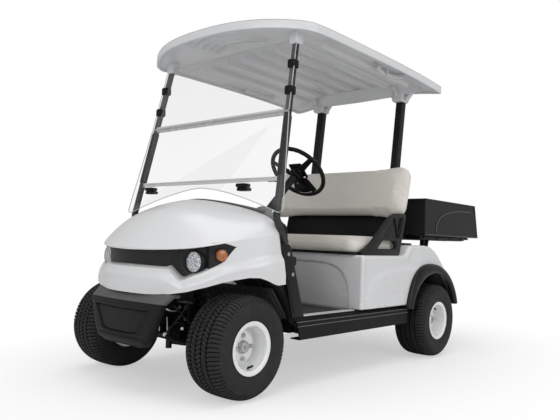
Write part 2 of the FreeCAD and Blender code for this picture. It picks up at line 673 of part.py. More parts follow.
def tie_rod():
    """Rod that joins the two steering arms from below, with an eye at each end."""
    radius = S["tie_rod_diameter"] / 2
    reach = KINGPIN - S["steer_arm_in"]
    level = WHEEL_LEVEL - S["knuckle_height"] / 2 - S["seat_gap"] - radius
    x = -S["steer_arm_back"]
    shape = bar(at(x, -reach, level), at(x, reach, level), radius.value)
    for side in (1, -1):
        eye = Part.makeCylinder(S["steer_arm_width"].value / 2, (radius * 1.5).value,
                                at(x, reach * side, level - radius * 0.75))
        shape = shape.fuse(eye)
    feature("tie_rod", shape.removeSplitter())


def rear_axle():
    """Rear axle tube with differential, drive motor, brake drums, leaf springs and dampers."""
    tube = S["rear_axle_diameter"] / 2
    hub = S["rear_track"] / 2 + S["rim_width"] / 2 - S["rim_dish"] - S["hub_length"]
    reach = hub - S["seat_gap"] * 2
    z = WHEEL_LEVEL
    shapes = [bar(at(REAR_AXLE, -reach, z), at(REAR_AXLE, reach, z), tube.value)]
    tip = hub + S["hub_length"] + S["rim_wall"]
    shapes.append(bar(at(REAR_AXLE, -tip, z), at(REAR_AXLE, tip, z), S["axle_shaft_diameter"].value / 2))
    half = S["diff_width"] / 2
    shapes.append(bar(at(REAR_AXLE, -half, z), at(REAR_AXLE, half, z), S["diff_diameter"].value / 2))
    motor = REAR_AXLE + S["motor_diameter"] / 4
    shapes.append(bar(at(motor, 0, z), at(motor, half + S["motor_length"], z), S["motor_diameter"].value / 2))
    drum = S["brake_diameter"].value / 2
    for side in (1, -1):
        end = reach * side
        shapes.append(bar(at(REAR_AXLE, end - S["brake_width"] * side, z), at(REAR_AXLE, end, z), drum))
        spring = RAIL_MIDDLE * side
        width = S["spring_width"] / 2
        low = z + tube - S["spring_thickness"] / 2
        shapes.append(block(REAR_AXLE - S["spring_half_length"], REAR_AXLE + S["spring_half_length"],
                            spring - width, spring + width, low, low + S["spring_thickness"]))
        under = S["rail_bottom"] + S["kick_rise"] - S["seat_gap"]
        for x in (REAR_AXLE - S["spring_half_length"], REAR_AXLE + S["spring_half_length"]):
            shapes.append(block(x - width / 2, x + width / 2, spring - width, spring + width, low, under))
    feature("rear_axle", shapes[0].fuse(shapes[1:]))


def battery_pack():
    """Battery pack as one block on the rails under the seat."""
    body = new_body("battery_pack")
    half = S["battery_width"] / 2
    front = -S["seat_front_back"] - S["cross_width"]
    back = front - S["battery_length"]
    sketch = outline(body, "battery_outline", "XY_Plane",
                     [(front, -half), (front, half), (back, half), (back, -half)], RAIL_TOP + S["seat_gap"])
    pad(body, "battery_block", sketch, S["battery_height"])
    finish(body, "battery_pack")


# Floor, sills and pillar plates

def floor_pan():
    """Floor pan from the seat base to the toe board, which slopes up under the dashboard."""
    body = new_body("floor_pan")
    half = HALF_BODY - S["rocker_width"] - S["rocker_side_inset"] - S["seat_gap"]
    low, high = FLOOR_TOP - S["floor_thickness"], FLOOR_TOP
    rear = -S["seat_front_back"] + S["seat_gap"]
    knee = -S["front_bulkhead"] - S["toe_depth"]
    head = -S["front_bulkhead"]
    rise = S["toe_rise"]
    side = outline(body, "floor_side", "XZ_Plane", [
        (rear, low), (knee, low), (head, low + rise), (head, high + rise), (knee, high), (rear, high)])
    pad(body, "floor_sheet", side, half * 2, both=True)
    finish(body, "floor_pan")


def rocker(name, side):
    """Sill beam under the door opening: a folded channel with a slanted nose and one long groove."""
    body = new_body(name)
    outer = (HALF_BODY - S["rocker_side_inset"]) * side
    inner = outer - S["rocker_width"] * side
    wall = S["rocker_wall"] * side
    top = S["rocker_top"]
    low = top - S["rocker_height"]
    section = outline(body, name + "_section", "YZ_Plane", [
        (outer, top), (outer, low), (inner, low), (inner, low + S["rocker_wall"]),
        (outer - wall, low + S["rocker_wall"]), (outer - wall, top - S["rocker_wall"]),
        (inner, top - S["rocker_wall"]), (inner, top)], -S["rocker_front"])
    length = S["wheelbase"] - S["rocker_front"] - S["rear_arch_radius"] - S["seat_gap"]
    pad(body, name + "_channel", section, length, back=True)
    slant = outline(body, name + "_nose", "XZ_Plane", [
        (-S["rocker_front"] + S["cut_overrun"], top), (-S["rocker_front"], top),
        (-S["rocker_front"] - S["rocker_nose_slant"], low - S["cut_overrun"]),
        (-S["rocker_front"] + S["cut_overrun"], low - S["cut_overrun"])])
    pocket(body, name + "_slant", slant, S["body_width"] * 2, both=True)
    finish(body, name)


def pillar_plate(name, side):
    """Flat plate that ties the windshield strut's foot to the sill."""
    body = new_body(name)
    top, foot = S["plate_top"], S["rocker_top"] + S["seat_gap"]
    face = PLATE_FACE * side
    sketch = outline(body, name + "_outline", "XZ_Plane", [
        (-S["plate_top_back"], top), (-S["plate_top_back"] - S["plate_top_length"], top),
        (-S["plate_foot_back"] - S["plate_foot_length"], foot), (-S["plate_foot_back"], foot)], -face)
    pad(body, name + "_sheet", sketch, S["plate_thickness"], back=side < 0)
    finish(body, name)


# Front body

def cowl_point(across, along, inset):
    """Return a point on the hood: across runs from -90 to 90 degrees, along from the rear edge to the nose.

    In plan the hood ends on half an ellipse with straight sides behind it. Its crown falls with the power 1.5
    of the distance from the middle, its shoulder turns down to the side, and it dips to the lip over the lamps.
    """
    half = HALF_BODY.value - inset
    angle = math.radians(across)
    share = abs(math.sin(angle))
    y = half * math.sin(angle)
    straight = -S["cowl_side_start"].value
    edge = straight + (S["cowl_nose"].value - inset - straight) * math.cos(angle)
    back = -S["cowl_back"].value - 2 * inset
    x = back + along * (edge - back)
    crown_power, shoulder_power, dip_power = 1.5, 26, 4.2
    turn = 1 - math.sqrt(max(0.0, 1 - share ** shoulder_power))
    crest = S["cowl_top"].value - inset - S["cowl_crown_drop"].value * share ** crown_power
    crest -= S["cowl_shoulder"].value * turn
    lip = S["cowl_lip_middle"].value - inset + S["cowl_lip_rise"].value * share ** 4
    start_share = 0.32
    dip = max(0.0, (along - start_share) / (1 - start_share))
    return V(x, y, crest - max(0.0, crest - lip) * dip ** (dip_power / 2))


def cowl_blank(inset):
    """Return the solid under the hood surface, drawn in by inset from the outer face."""
    across = [-90 + 180 * n / 24 for n in range(25)]
    along = [n / 14 for n in range(15)]
    skin = Part.BSplineSurface()
    skin.interpolate([[cowl_point(a, t, inset) for a in across] for t in along])
    depth = S["cowl_top"].value - S["cowl_floor"].value + inset
    return skin.toShape().extrude(V(0, 0, -depth))


def spline_edge(points):
    """Return one smooth edge through a few points."""
    curve = Part.BSplineCurve()
    curve.interpolate(points)
    return curve.toShape()


def wheel_opening(width):
    """Return the tool that shapes the cowl's lower edge, from the nose over the wheel to the rear edge."""
    nose = S["cowl_nose"].value
    low, top = S["fascia_low"].value, S["arch_top"].value
    back = -S["cowl_edge_low_back"].value
    foot = S["cowl_edge_low"].value
    rise = top - low
    run_shares = [(1.2, 0.0), (0.86, 0.02), (0.70, 0.13), (0.50, 0.50), (0.28, 0.80), (0.05, 0.97), (-0.20, 0.98)]
    points = [V(nose * a, -width, low + rise * b) for a, b in run_shares]
    points += [V(back * 0.56, -width, foot), V(-S["cowl_back"].value - S["cut_overrun"].value * 2, -width, foot)]
    floor = 2 * S["cowl_floor"].value - S["cowl_top"].value
    tail, head = points[-1], points[0]
    edges = [spline_edge(points[:-1]), Part.makeLine(points[-2], tail),
             Part.makeLine(tail, V(tail.x, -width, floor)),
             Part.makeLine(V(tail.x, -width, floor), V(head.x, -width, floor)),
             Part.makeLine(V(head.x, -width, floor), head)]
    return Part.Face(Part.Wire(edges)).extrude(V(0, 2 * width, 0))


def rear_cut(width):
    """Return the tool behind the cowl's slanted rear edge."""
    top, foot = S["cowl_top"].value + S["cut_overrun"].value, S["cowl_edge_low"].value
    x_top, x_foot = -S["cowl_edge_top_back"].value, -S["cowl_edge_low_back"].value
    back = -2 * S["cowl_back"].value
    slope = (x_top - x_foot) / (S["cowl_top"].value - foot)
    low = 2 * S["cowl_floor"].value - S["cowl_top"].value
    points = [V(x_foot + slope * (top - foot), -width, top), V(x_foot + slope * (low - foot), -width, low),
              V(back, -width, low), V(back, -width, top)]
    return plate(points, V(0, 2 * width, 0))


def band_outline(x, grow):
    """Return the lamp band's outline seen from the front, at station x and grown by a margin."""
    span, top, low = S["band_half_span"].value, S["band_top"].value, S["band_low"].value
    middle_low, tip = S["band_middle_low"].value, S["band_tip"].value
    rise = S["band_tip"].value - middle_low
    upper_shares = [(0.0, 0.0), (0.52, 0.06), (0.83, 0.36), (0.945, 0.49)]
    upper = [(span * a, top + rise * b + grow) for a, b in upper_shares]
    lower = [(span * 0.94, low + (tip - low) * 0.70 - grow), (span * 0.635, low - grow),
             (span * 0.50, middle_low - grow), (0.0, middle_low - grow)]
    right = upper + [(span + grow, tip)] + lower
    left = [(-y, z) for y, z in right[::-1] if y > 0]
    return [V(x, y, z) for y, z in right + left]


def front_cowl():
    """Hood and fascia in one moulded skin, open behind and below, with the lamp band's opening."""
    width = S["body_width"].value
    shell = cowl_blank(0).cut(cowl_blank(S["cowl_wall"].value))
    shell = shell.cut(wheel_opening(width)).cut(rear_cut(width))
    opening = plate(band_outline(0, 0), V(S["cowl_nose"].value + S["cut_overrun"].value, 0, 0))
    for side in (1, -1):
        shell = shell.cut(strut_shape(side, S["seat_gap"].value))
    feature("front_cowl", shell.cut(opening))


def lamp_band():
    """Dark moulding set back behind the opening, with a bowl for each lamp."""
    gap = S["cowl_wall"].value + S["seat_gap"].value
    shell = cowl_blank(gap).cut(cowl_blank(gap + S["band_wall"].value))
    reach = S["cowl_nose"].value + S["cut_overrun"].value
    border = plate(band_outline(0, S["band_wall"].value * 2), V(reach, 0, 0))
    shell = shell.common(border)
    for bound in (("headlamp", S["headlamp_depth"]), ("indicator", S["indicator_depth"])):
        for side in (1, -1):
            start, radius = lamp_place(bound[0], bound[1], side)
            shell = shell.cut(bar(start - V(reach, 0, 0), start + V(reach, 0, 0), radius + S["seat_gap"].value))
    feature("lamp_band", shell)


def lamp_place(kind, depth, side):
    """Return the rear centre and the radius of a round lamp whose rim lies at the band's face."""
    half = (HALF_BODY - S["cowl_wall"]).value
    offset, radius = S[kind + "_offset"].value, S[kind + "_diameter"].value / 2
    run = (S["cowl_nose"] + S["cowl_side_start"]).value
    face = -S["cowl_side_start"].value + run * math.sqrt(1 - ((offset + radius) / half) ** 2)
    return V(face - depth.value, offset * side, S[kind + "_level"].value), radius


def lamps(name, kind, depth):
    """A pair of round lamps whose lenses stand in the lamp band."""
    solids = []
    for side in (1, -1):
        start, radius = lamp_place(kind, depth, side)
        solids.append(Part.makeCylinder(radius, depth.value, start, V(1, 0, 0)))
    feature(name, Part.makeCompound(solids))


def front_bumper():
    """Dark bumper moulding: a bowed face that narrows downwards, with side walls and a sunk panel."""
    nose = S["front_overhang"].value
    top, low = S["bumper_top"].value, S["bumper_bottom"].value
    half_top, half_low = S["bumper_top_width"].value / 2, S["bumper_bottom_width"].value / 2
    sweep = S["bumper_sweep"].value

    def tool(x_shift, shrink, depth):
        """Return a bowed slab between the front face moved by x_shift and a face depth behind it."""
        def arc(z, x):
            half = half_top + S["cut_overrun"].value
            return Part.Arc(V(x - sweep, -half, z), V(x, 0, z), V(x - sweep, half, z)).toShape()
        front = Part.makeLoft([Part.Wire(arc(low + shrink, nose + x_shift)),
                               Part.Wire(arc(top - shrink, nose + x_shift))], False, True)
        slab = front.extrude(V(-depth, 0, 0))
        back = nose + x_shift - sweep - depth - S["cut_overrun"].value
        sides = [V(back, half_top - shrink, top - shrink), V(back, half_low - shrink, low + shrink),
                 V(back, -half_low + shrink, low + shrink), V(back, -half_top + shrink, top - shrink)]
        trim = plate(sides, V(nose + S["cut_overrun"].value - back, 0, 0))
        solid = slab.common(trim)
        return solid.Solids[0]

    wall = S["bumper_wall"].value
    front = wall + S["bumper_panel_depth"].value
    shape = tool(0, 0, S["bumper_depth"].value).cut(tool(-front, wall, S["bumper_depth"].value + wall))
    panel = tool(S["cut_overrun"].value, S["bumper_panel_inset"].value,
                 S["cut_overrun"].value + S["bumper_panel_depth"].value)
    feature("front_bumper", shape.cut(panel))


def wheel_liner(name, side):
    """Inner fender behind the front wheel, from the cowl's foot down to the sill."""
    body = new_body(name)
    outer = (PLATE_FACE - S["plate_thickness"] - S["seat_gap"]) * side
    inner = (RAIL_MIDDLE + S["rail_width"]) * side
    head, knee = -S["front_bulkhead"], -S["front_bulkhead"] - S["toe_depth"]
    toe_low = FLOOR_TOP - S["floor_thickness"]
    foot = S["rocker_top"]
    start = knee + S["toe_depth"] * ((foot - toe_low) / S["toe_rise"])
    knee_top = toe_low + S["toe_rise"]
    top = knee_top + S["rail_height"]
    near, far = S["seat_gap"] * 1.3, S["seat_gap"] * 1.3 + S["cowl_wall"] * 1.3
    sketch = outline(body, name + "_side", "XZ_Plane", [
        (start + near, foot), (head + near, knee_top), (head + near, top), (head + far, top),
        (head + far, knee_top), (start + far, foot)], -outer)
    pad(body, name + "_sheet", sketch, (outer - inner) * side, back=side < 0)
    finish(body, name)


def dashboard():
    """Hollow dashboard behind the windshield, across the cart."""
    half = PLATE_FACE - S["plate_thickness"] - S["seat_gap"]
    back = -S["dash_back"]
    front = -S["cowl_edge_low_back"] + S["rail_width"]
    top, low = S["dash_top"], S["dash_bottom"]
    wall = S["dash_wall"]
    section = [(front, top), (back + wall * 4, top), (back, top - wall * 6), (back, low + wall * 4), (front, low),
               (front, low + wall), (back + wall, low + wall * 5), (back + wall, top - wall * 7),
               (back + wall * 5, top - wall), (front, top - wall)]
    skin = plate([at(x, -half, z) for x, z in section], at(0, half * 2, 0))
    foot, head = column_ends()
    feature("dashboard", skin.cut(bar(foot, head, (S["column_diameter"] / 2 + S["seat_gap"]).value)))


# Windshield

def strut_axis(level, side):
    """Return the point of a windshield strut's middle line at a height above its bend."""
    bend, head = S["strut_bend_level"].value, S["strut_head_level"].value
    share = (level - bend) / (head - bend)
    x = -S["strut_bend_back"].value - share * (S["strut_head_back"] - S["strut_bend_back"]).value
    y = S["strut_bend_half"].value - share * (S["strut_bend_half"] - S["strut_head_half"]).value
    return V(x, y * side, level)


def strut_shape(side, grow):
    """Return a square strut that rises forward along the cowl and then leans back to the roof, grown by grow."""
    width = S["strut_width"].value + 2 * grow
    foot = at(-S["strut_foot_back"], S["strut_foot_half"] * side, STRUT_FOOT)
    bend = strut_axis(S["strut_bend_level"].value, side)
    head = strut_axis(S["strut_head_level"].value, side)
    start = foot + (foot - bend).normalize() * width
    tube = square_bar(start, bend, width).fuse([square_bar(bend, head, width),
                                                Part.makeCylinder(width / 2, width, bend - V(0, width / 2, 0), V(0, 1, 0))])
    reach = S["body_width"].value
    floor = Part.makeBox(2 * reach, 2 * reach, reach, V(-reach, -reach, STRUT_FOOT.value - grow - reach))
    return tube.cut(floor)


def pane_half(level):
    """Return how far a pane reaches from the middle at a level."""
    return strut_axis(level, 1).y + S["pane_overlap"].value


def leaning_block(level, length, y, half_width, front, back):
    """Return a block that leans with the struts, between front and back of their plane, about a level and y."""
    wires = []
    for end in (level - length / 2, level + length / 2):
        middle = strut_axis(end, 1).x
        splay = strut_axis(end, 1).y - strut_axis(level, 1).y
        centre = y + math.copysign(splay, y)
        corners = [V(middle + x, centre + w, end) for x, w in (
            (front, half_width), (front, -half_width), (back, -half_width), (back, half_width))]
        wires.append(Part.makePolygon(corners + corners[:1]))
    return Part.makeLoft(wires, True, True)


def pane_clip(level, side):
    """Return a clip that wraps a strut and the pane's edge in front of it."""
    gap, width = S["seat_gap"].value, S["strut_width"].value
    wall = (S["clip_depth"].value - width - S["pane_thickness"].value - 2 * gap) / 2
    back = -width / 2 - gap - wall
    clip = leaning_block(level, S["clip_length"].value, strut_axis(level, side).y, S["clip_width"].value / 2,
                         back + S["clip_depth"].value + gap, back)
    reach = S["clip_length"].value
    right = [(level - reach, pane_half(level - reach)), (level + reach, pane_half(level + reach))]
    slot = pane(right + [(at_level, -y) for at_level, y in right[::-1]], gap)
    return clip.cut(strut_shape(side, gap)).cut(slot)


def strut(name, side):
    """Square windshield strut, splayed and leaning back, with the two clips that hold the upper pane to it."""
    clips = [pane_clip(S[level].value, side) for level in ("high_clip_level", "low_clip_level")]
    feature(name, Part.makeCompound([strut_shape(side, 0)] + clips))


def pane_round(level, half, turn):
    """Return a pane's rounded outer corner, which turns up for 1 and down for -1, from the side inwards."""
    radius = S["pane_corner"].value
    shares = [(0.0, 1.0), (0.13, 0.48), (0.48, 0.13), (1.0, 0.0)]
    return [(level + turn * radius * b, half - radius * a) for a, b in shares]


def pane(levels_and_halves, grow=0):
    """Return a flat sheet in the windshield's plane from points given as level and distance from the middle."""
    front = S["strut_width"].value / 2 + S["seat_gap"].value - grow
    points = []
    for level, half in levels_and_halves:
        spot = strut_axis(level, 1)
        points.append(V(spot.x + front, half + math.copysign(grow, half), level))
    return plate(points, V(S["pane_thickness"].value + 2 * grow, 0, 0))


def windshield():
    """Two clear panes in front of the struts, with the rails and latches that hold them; the lower one is arched."""
    mid, gap = S["mid_rail_level"].value, S["pane_gap"].value / 2
    top = S["pane_top_level"].value
    foot, rise = S["pane_foot_level"].value, (S["pane_arch_level"] - S["pane_foot_level"]).value

    right = [(mid + gap, pane_half(mid))] + pane_round(top, pane_half(top), -1)
    feature("windshield_upper", pane(right + [(level, -y) for level, y in right[::-1]]))
    reach = strut_axis(foot, 1).y + S["pane_foot_overlap"].value
    corner = pane_round(foot, reach, 1)
    inner = corner[-1][1]
    edge = [inner * n / 10 for n in range(9, -1, -1)]
    arch = [(foot + rise * (1 - (y / inner) ** 1.5), y) for y in edge]
    right = [(mid - gap, pane_half(mid))] + corner + arch
    feature("windshield_lower", pane(right + [(level, -y) for level, y in right[-2::-1]]))
    solids = []
    tube = S["rail_tube"].value / 2
    for level in (S["mid_rail_level"].value, S["low_rail_level"].value):
        ends = [strut_axis(level, side) for side in (1, -1)]
        solids.append(square_bar(ends[1], ends[0], 2 * tube, V(0, 0, 1)))
    rails = Part.makeCompound(solids).cut(Part.makeCompound([strut_shape(side, S["seat_gap"].value)
                                                             for side in (1, -1)]))
    kept = [solid for solid in rails.Solids if abs(solid.CenterOfMass.y) < S["strut_head_half"].value / 2]
    face = S["strut_width"].value / 2 + 2 * S["seat_gap"].value + S["pane_thickness"].value
    for y in (S["latch_driver_side"].value, -S["latch_other_side"].value):
        level = S["low_rail_level"].value - S["latch_height"].value / 2
        kept.append(leaning_block(level, S["latch_height"].value, y, S["latch_width"].value / 2,
                                  face + S["latch_depth"].value, face))
    feature("windshield_fittings", Part.makeCompound(kept))


# Steering

def steering_frame(base):
    """Return the placement that tips a sub-part's own z axis along the steering column."""
    return FreeCAD.Placement(base, FreeCAD.Rotation(V(0, 1, 0), -S["steering_tilt"].value))


def column_axis():
    """Return the direction of the steering column, up and back towards the driver."""
    tilt = math.radians(S["steering_tilt"].value)
    return V(-math.sin(tilt), 0, math.cos(tilt))


def column_ends():
    """Return the lower and the upper end of the steering column's middle line."""
    centre = at(-S["wheel_centre_back"], S["seat_place_offset"], S["wheel_centre_level"])
    top = centre - column_axis() * (S["steering_grip_diameter"].value * 2)
    return top - column_axis() * S["column_length"].value, top


def steering_column():
    """Column tube with the shaft's bearing, from the toe board up to the steering wheel."""
    foot, top = column_ends()
    axis = column_axis()
    tube = bar(foot, top, S["column_diameter"].value / 2)
    bore = S["steering_shaft_diameter"].value / 2 + S["shaft_clearance"].value
    deep = S["column_length"].value / 3
    tube = tube.cut(bar(top - axis * deep, top + axis * S["cut_overrun"].value, bore))
    feature("steering_column", tube)


def steering_wheel():
    """Steering wheel: a round grip, three spokes, a hub and the shaft that turns in the column."""
    grip = S["steering_grip_diameter"].value / 2
    radius = S["steering_wheel_diameter"].value / 2 - grip
    shape = Part.makeTorus(radius, grip)
    hub = S["column_diameter"].value / 2
    sink = grip * 2
    parts = [Part.makeCylinder(hub, sink, V(0, 0, -sink - grip))]
    for angle in (0, 120, 240):
        turn = math.radians(angle + 180)
        end = V(radius * math.cos(turn), radius * math.sin(turn), 0)
        parts.append(bar(V(0, 0, -sink), end, grip * 0.7))
    deep = S["column_length"].value / 3 - S["moving_gap"].value
    shaft = S["steering_shaft_diameter"].value / 2
    parts.append(Part.makeCylinder(shaft, deep, V(0, 0, -deep - sink)))
    shape = shape.fuse(parts)
    shape.Placement = steering_frame(V(0, 0, 0))
    piece = doc.addObject("Part::Feature", "steering_wheel")
    piece.Shape = shape.removeSplitter()
    finish(piece, "steering_wheel", -S["wheel_centre_back"], S["seat_place_offset"], S["wheel_centre_level"])


def pedals():
    """Brake and accelerator pads on their stalks above the toe board."""
    solids = []
    width, height = S["pedal_width"].value, S["pedal_height"].value
    thick = S["pedal_thickness"].value
    knee = -(S["front_bulkhead"] + S["toe_depth"]).value
    slope = math.atan2(S["toe_rise"].value, S["toe_depth"].value)
    pad_lift = S["pedal_lift"].value
    for n in (0, 1):
        y = S["seat_place_offset"].value - n * S["pedal_gap"].value
        pad_shape = Part.makeBox(thick, width, height, V(0, -width / 2, 0))
        pad_shape.rotate(V(0, 0, 0), V(0, 1, 0), 90 - math.degrees(slope))
        normal = V(-math.sin(slope), 0, math.cos(slope))
        toe = V(knee + S["toe_depth"].value / 2, y, FLOOR_TOP.value + S["toe_rise"].value / 2)
        toe = toe + normal * S["seat_gap"].value
        stalk = bar(toe, toe + normal * pad_lift, thick / 2)
        pad_shape.translate(toe + normal * pad_lift - pad_shape.CenterOfMass)
        solids.append(pad_shape.fuse(stalk))
    feature("pedals", Part.makeCompound(solids))


# Seat and rear body

def rear_body():
    """Seat base and rear fenders in one moulded skin, with wheel wells and the battery opening."""
    wall = S["body_wall"]
    half = HALF_BODY.value
    front, deck, shelf = -S["seat_front_back"].value, S["deck_level"].value, S["shelf_level"].value
    foot = BODY_FOOT.value
    axle = REAR_AXLE.value
    level = WHEEL_LEVEL.value
    deck_end = -DECK_BACK.value
    shelf_end = -S["shelf_end"].value

    def blank(inset):
        """Return the side profile swept across the cart, drawn in by inset on every side."""
        radius = S["tail_radius"].value - inset
        low = foot - (S["cut_overrun"].value if inset else 0)
        foot_angle = math.asin((low - level) / radius)
        start_angle = math.radians(50)
        start, middle, end = [V(axle - radius * math.cos(a), 0, level + radius * math.sin(a))
                              for a in (start_angle, (start_angle + foot_angle) / 2, foot_angle)]
        top = V(shelf_end + inset, 0, shelf - inset)
        shoulder = spline_edge([top, V((top.x + start.x) / 2, 0, (top.z * 0.66 + start.z * 0.34)), start])
        bend = Part.Arc(start, middle, end).toShape()
        corners = [end, V(front - inset, 0, low), V(front - inset, 0, deck - inset),
                   V(deck_end - inset, 0, deck - inset), V(deck_end - inset - (shelf - deck) / 8, 0, shelf - inset),
                   top]
        lines = [Part.makeLine(a, b) for a, b in zip(corners, corners[1:])]
        face = Part.Face(Part.Wire([shoulder, bend] + lines))
        face.translate(V(0, -half + inset, 0))
        return face.extrude(V(0, 2 * (half - inset), 0))

    arch = S["rear_arch_radius"].value
    inner = S["rear_well_inner"].value
    skin = blank(0).cut(blank(wall.value))
    for side in (1, -1):
        y0, y1 = inner * side, (half + S["cut_overrun"].value) * side
        well = Part.makeCylinder(arch + wall.value, abs(y1 - y0) - S["cut_overrun"].value + 0,
                                 V(axle, min(y0, half * side), level), V(0, 1, 0))
        skin = skin.fuse(well.common(blank(0)))
    for side in (1, -1):
        start = min((inner + wall.value) * side, (half + S["cut_overrun"].value) * side)
        length = half + S["cut_overrun"].value - inner - wall.value
        skin = skin.cut(Part.makeCylinder(arch, length, V(axle, start, level), V(0, 1, 0)))
    bay_half = S["bay_width"].value / 2
    bay_front = front - S["cross_width"].value
    bay = Part.makeBox(S["bay_length"].value, 2 * bay_half, shelf, V(bay_front - S["bay_length"].value, -bay_half, foot))
    skin = skin.cut(bay)
    low_box = Part.makeBox(S["wheelbase"].value * 2, 2 * inner, S["rail_height"].value,
                           V(axle - S["wheelbase"].value / 2, -inner, foot - S["rail_height"].value))
    feature("rear_body", skin.cut([low_box] + box_posts(S["seat_gap"])))


def fender_flare(name, side):
    """Dark flare round the rear wheel opening, from the sill to the tail."""
    inner = S["rear_arch_radius"].value
    outer = inner + S["flare_thickness"].value
    width = (S["flare_stand_out"] - S["seat_gap"]).value
    ring = Part.makeCylinder(outer, width, V(0, 0, 0), V(0, 1, 0))
    ring = ring.cut(Part.makeCylinder(inner, width, V(0, 0, 0), V(0, 1, 0)))
    low = (S["flare_foot"] - WHEEL_LEVEL).value
    size = outer * 2
    keep = Part.makeBox(2 * size, 2 * size, size, V(-size, -size, low))
    near = HALF_BODY + S["seat_gap"] if side > 0 else -HALF_BODY - S["flare_stand_out"]
    feature(name, ring.common(keep), x=REAR_AXLE, y=near, z=WHEEL_LEVEL)


def seat_cushion():
    """Seat cushion that lifts off the battery opening."""
    body = new_body("seat_cushion")
    front = -S["seat_front_back"] + S["cushion_nose"]
    half = S["cushion_width"] / 2
    sketch = outline(body, "cushion_outline", "XY_Plane", [
        (front, -half), (front, half), (front - S["cushion_length"], half), (front - S["cushion_length"], -half)],
        S["deck_level"] + S["seat_gap"])
    block_pad = pad(body, "cushion_block", sketch, S["cushion_thickness"])
    upper = S["deck_level"].value + S["seat_gap"].value + S["cushion_thickness"].value
    round_edges(body, "cushion_rounding", block_pad, S["cushion_round"],
                lambda e: e.CenterOfMass.z > upper - S["seat_gap"].value)
    finish(body, "seat_cushion")


def seat_back():
    """Backrest pad, leaning back on its panel."""
    body = new_body("seat_back")
    half = S["backrest_width"] / 2
    thick = S["backrest_thickness"]
    sketch = outline(body, "backrest_outline", "YZ_Plane", [
        (-half, ZERO), (half, ZERO), (half, S["backrest_height"]), (-half, S["backrest_height"])])
    slab = pad(body, "backrest_slab", sketch, thick, back=True)
    corners = round_edges(body, "backrest_corners", slab, S["backrest_corner"],
                          lambda e: abs(e.tangentAt(0).x) > 0.9)
    round_edges(body, "backrest_rounding", corners, S["backrest_round"],
                lambda e: abs(e.CenterOfMass.x) < S["seat_gap"].value)
    body.Placement = FreeCAD.Placement(V(0, 0, 0), FreeCAD.Rotation(V(0, 1, 0), -S["backrest_lean"].value))
    finish(body, "seat_back", -S["backrest_low_back"], ZERO, S["backrest_low_level"])


def seat_back_panel():
    """Panel that carries the backrest, from the body's shelf up behind the pad."""
    body = new_body("seat_back_panel")
    half = S["back_panel_width"] / 2
    angle = math.radians(S["backrest_lean"].value)
    lean = math.tan(angle)
    foot = S["shelf_level"] + S["seat_gap"]
    thick = S["back_panel_thickness"]
    rear = -S["backrest_low_back"] - S["backrest_thickness"] * math.cos(angle) - S["seat_gap"]
    low_drop = S["backrest_low_level"] - S["backrest_thickness"] * math.sin(angle) - foot
    high = S["backrest_height"] * 0.8
    sketch = outline(body, "back_panel_side", "XZ_Plane", [
        (rear + low_drop * lean, foot), (rear - high * lean, foot + low_drop + high),
        (rear - thick - high * lean, foot + low_drop + high), (rear - thick + low_drop * lean, foot)])
    pad(body, "back_panel_sheet", sketch, half * 2, both=True)
    finish(body, "seat_back_panel")


def hip_restraint(name, side):
    """Cast hip restraint beside the seat: a triangle of bars with a window and a thin web above it."""
    body = new_body(name)
    front, back = -S["restraint_front_back"], -S["restraint_front_back"] - S["restraint_length"]
    foot = S["deck_level"] + S["seat_gap"]
    top = foot + S["restraint_height"]
    bar_width = S["restraint_bar"]
    lean = S["restraint_height"] * 0.28
    face = S["restraint_offset"] * side
    sketch = outline(body, name + "_outline", "XZ_Plane", [
        (front, foot), (front - bar_width, foot + bar_width * 0.8), (back + bar_width * 0.4, top - bar_width * 0.7),
        (back - lean * 0.7, top), (back - lean, top - bar_width * 0.4), (back, foot)], -face)
    pad(body, name + "_casting", sketch, S["restraint_thickness"], back=side < 0)
    low = foot + bar_width * 0.9
    window = outline(body, name + "_low_outline", "XZ_Plane", [
        (front - bar_width * 3.9, low), (back + bar_width * 0.9, low),
        (back + bar_width * 0.3, low + bar_width * 1.7), (front - bar_width * 5.4, low + bar_width * 1.7)], -face)
    pocket(body, name + "_low_window", window, S["restraint_thickness"] * 3, both=True)
    sill = low + bar_width * 2.15
    web = [(front - bar_width * 6.9, sill), (back + bar_width * 0.45, top - bar_width * 1.55),
           (back - lean * 0.58, top - bar_width * 1.15), (back - lean * 0.1, sill)]
    depth = S["restraint_thickness"] - S["restraint_web"]
    doc.recompute()
    before = body.Shape.Volume
    for word, offset in (("outer", -face), ("inner", -face + S["restraint_thickness"] * side)):
        sunk = outline(body, name + "_{}_outline".format(word), "XZ_Plane", web, offset)
        pocket(body, name + "_{}_hollow".format(word), sunk, depth, both=True)
    doc.recompute()
    assert body.Shape.Volume < before
    finish(body, name)


# Posts and roof

def rear_post_side(grow):
    """Return the corners of a rear post seen from the side, grown by grow."""
    half = S["post_width"] / 2 + grow
    foot, head = S["shelf_level"] + S["seat_gap"] - grow, S["post_head_level"] + grow
    low, high = -S["post_foot_back"], -S["post_head_back"]
    return [(low + half, foot), (high + half, head), (high - half, head), (low - half, foot)]


def rear_post(name, side):
    """Square rear roof post, leaning back, from the body's shelf to the roof."""
    body = new_body(name)
    middle = S["post_spacing"] / 2 * side
    sketch = outline(body, name + "_side", "XZ_Plane", rear_post_side(ZERO), -middle)
    pad(body, name + "_tube", sketch, S["post_width"], both=True)
    finish(body, name)


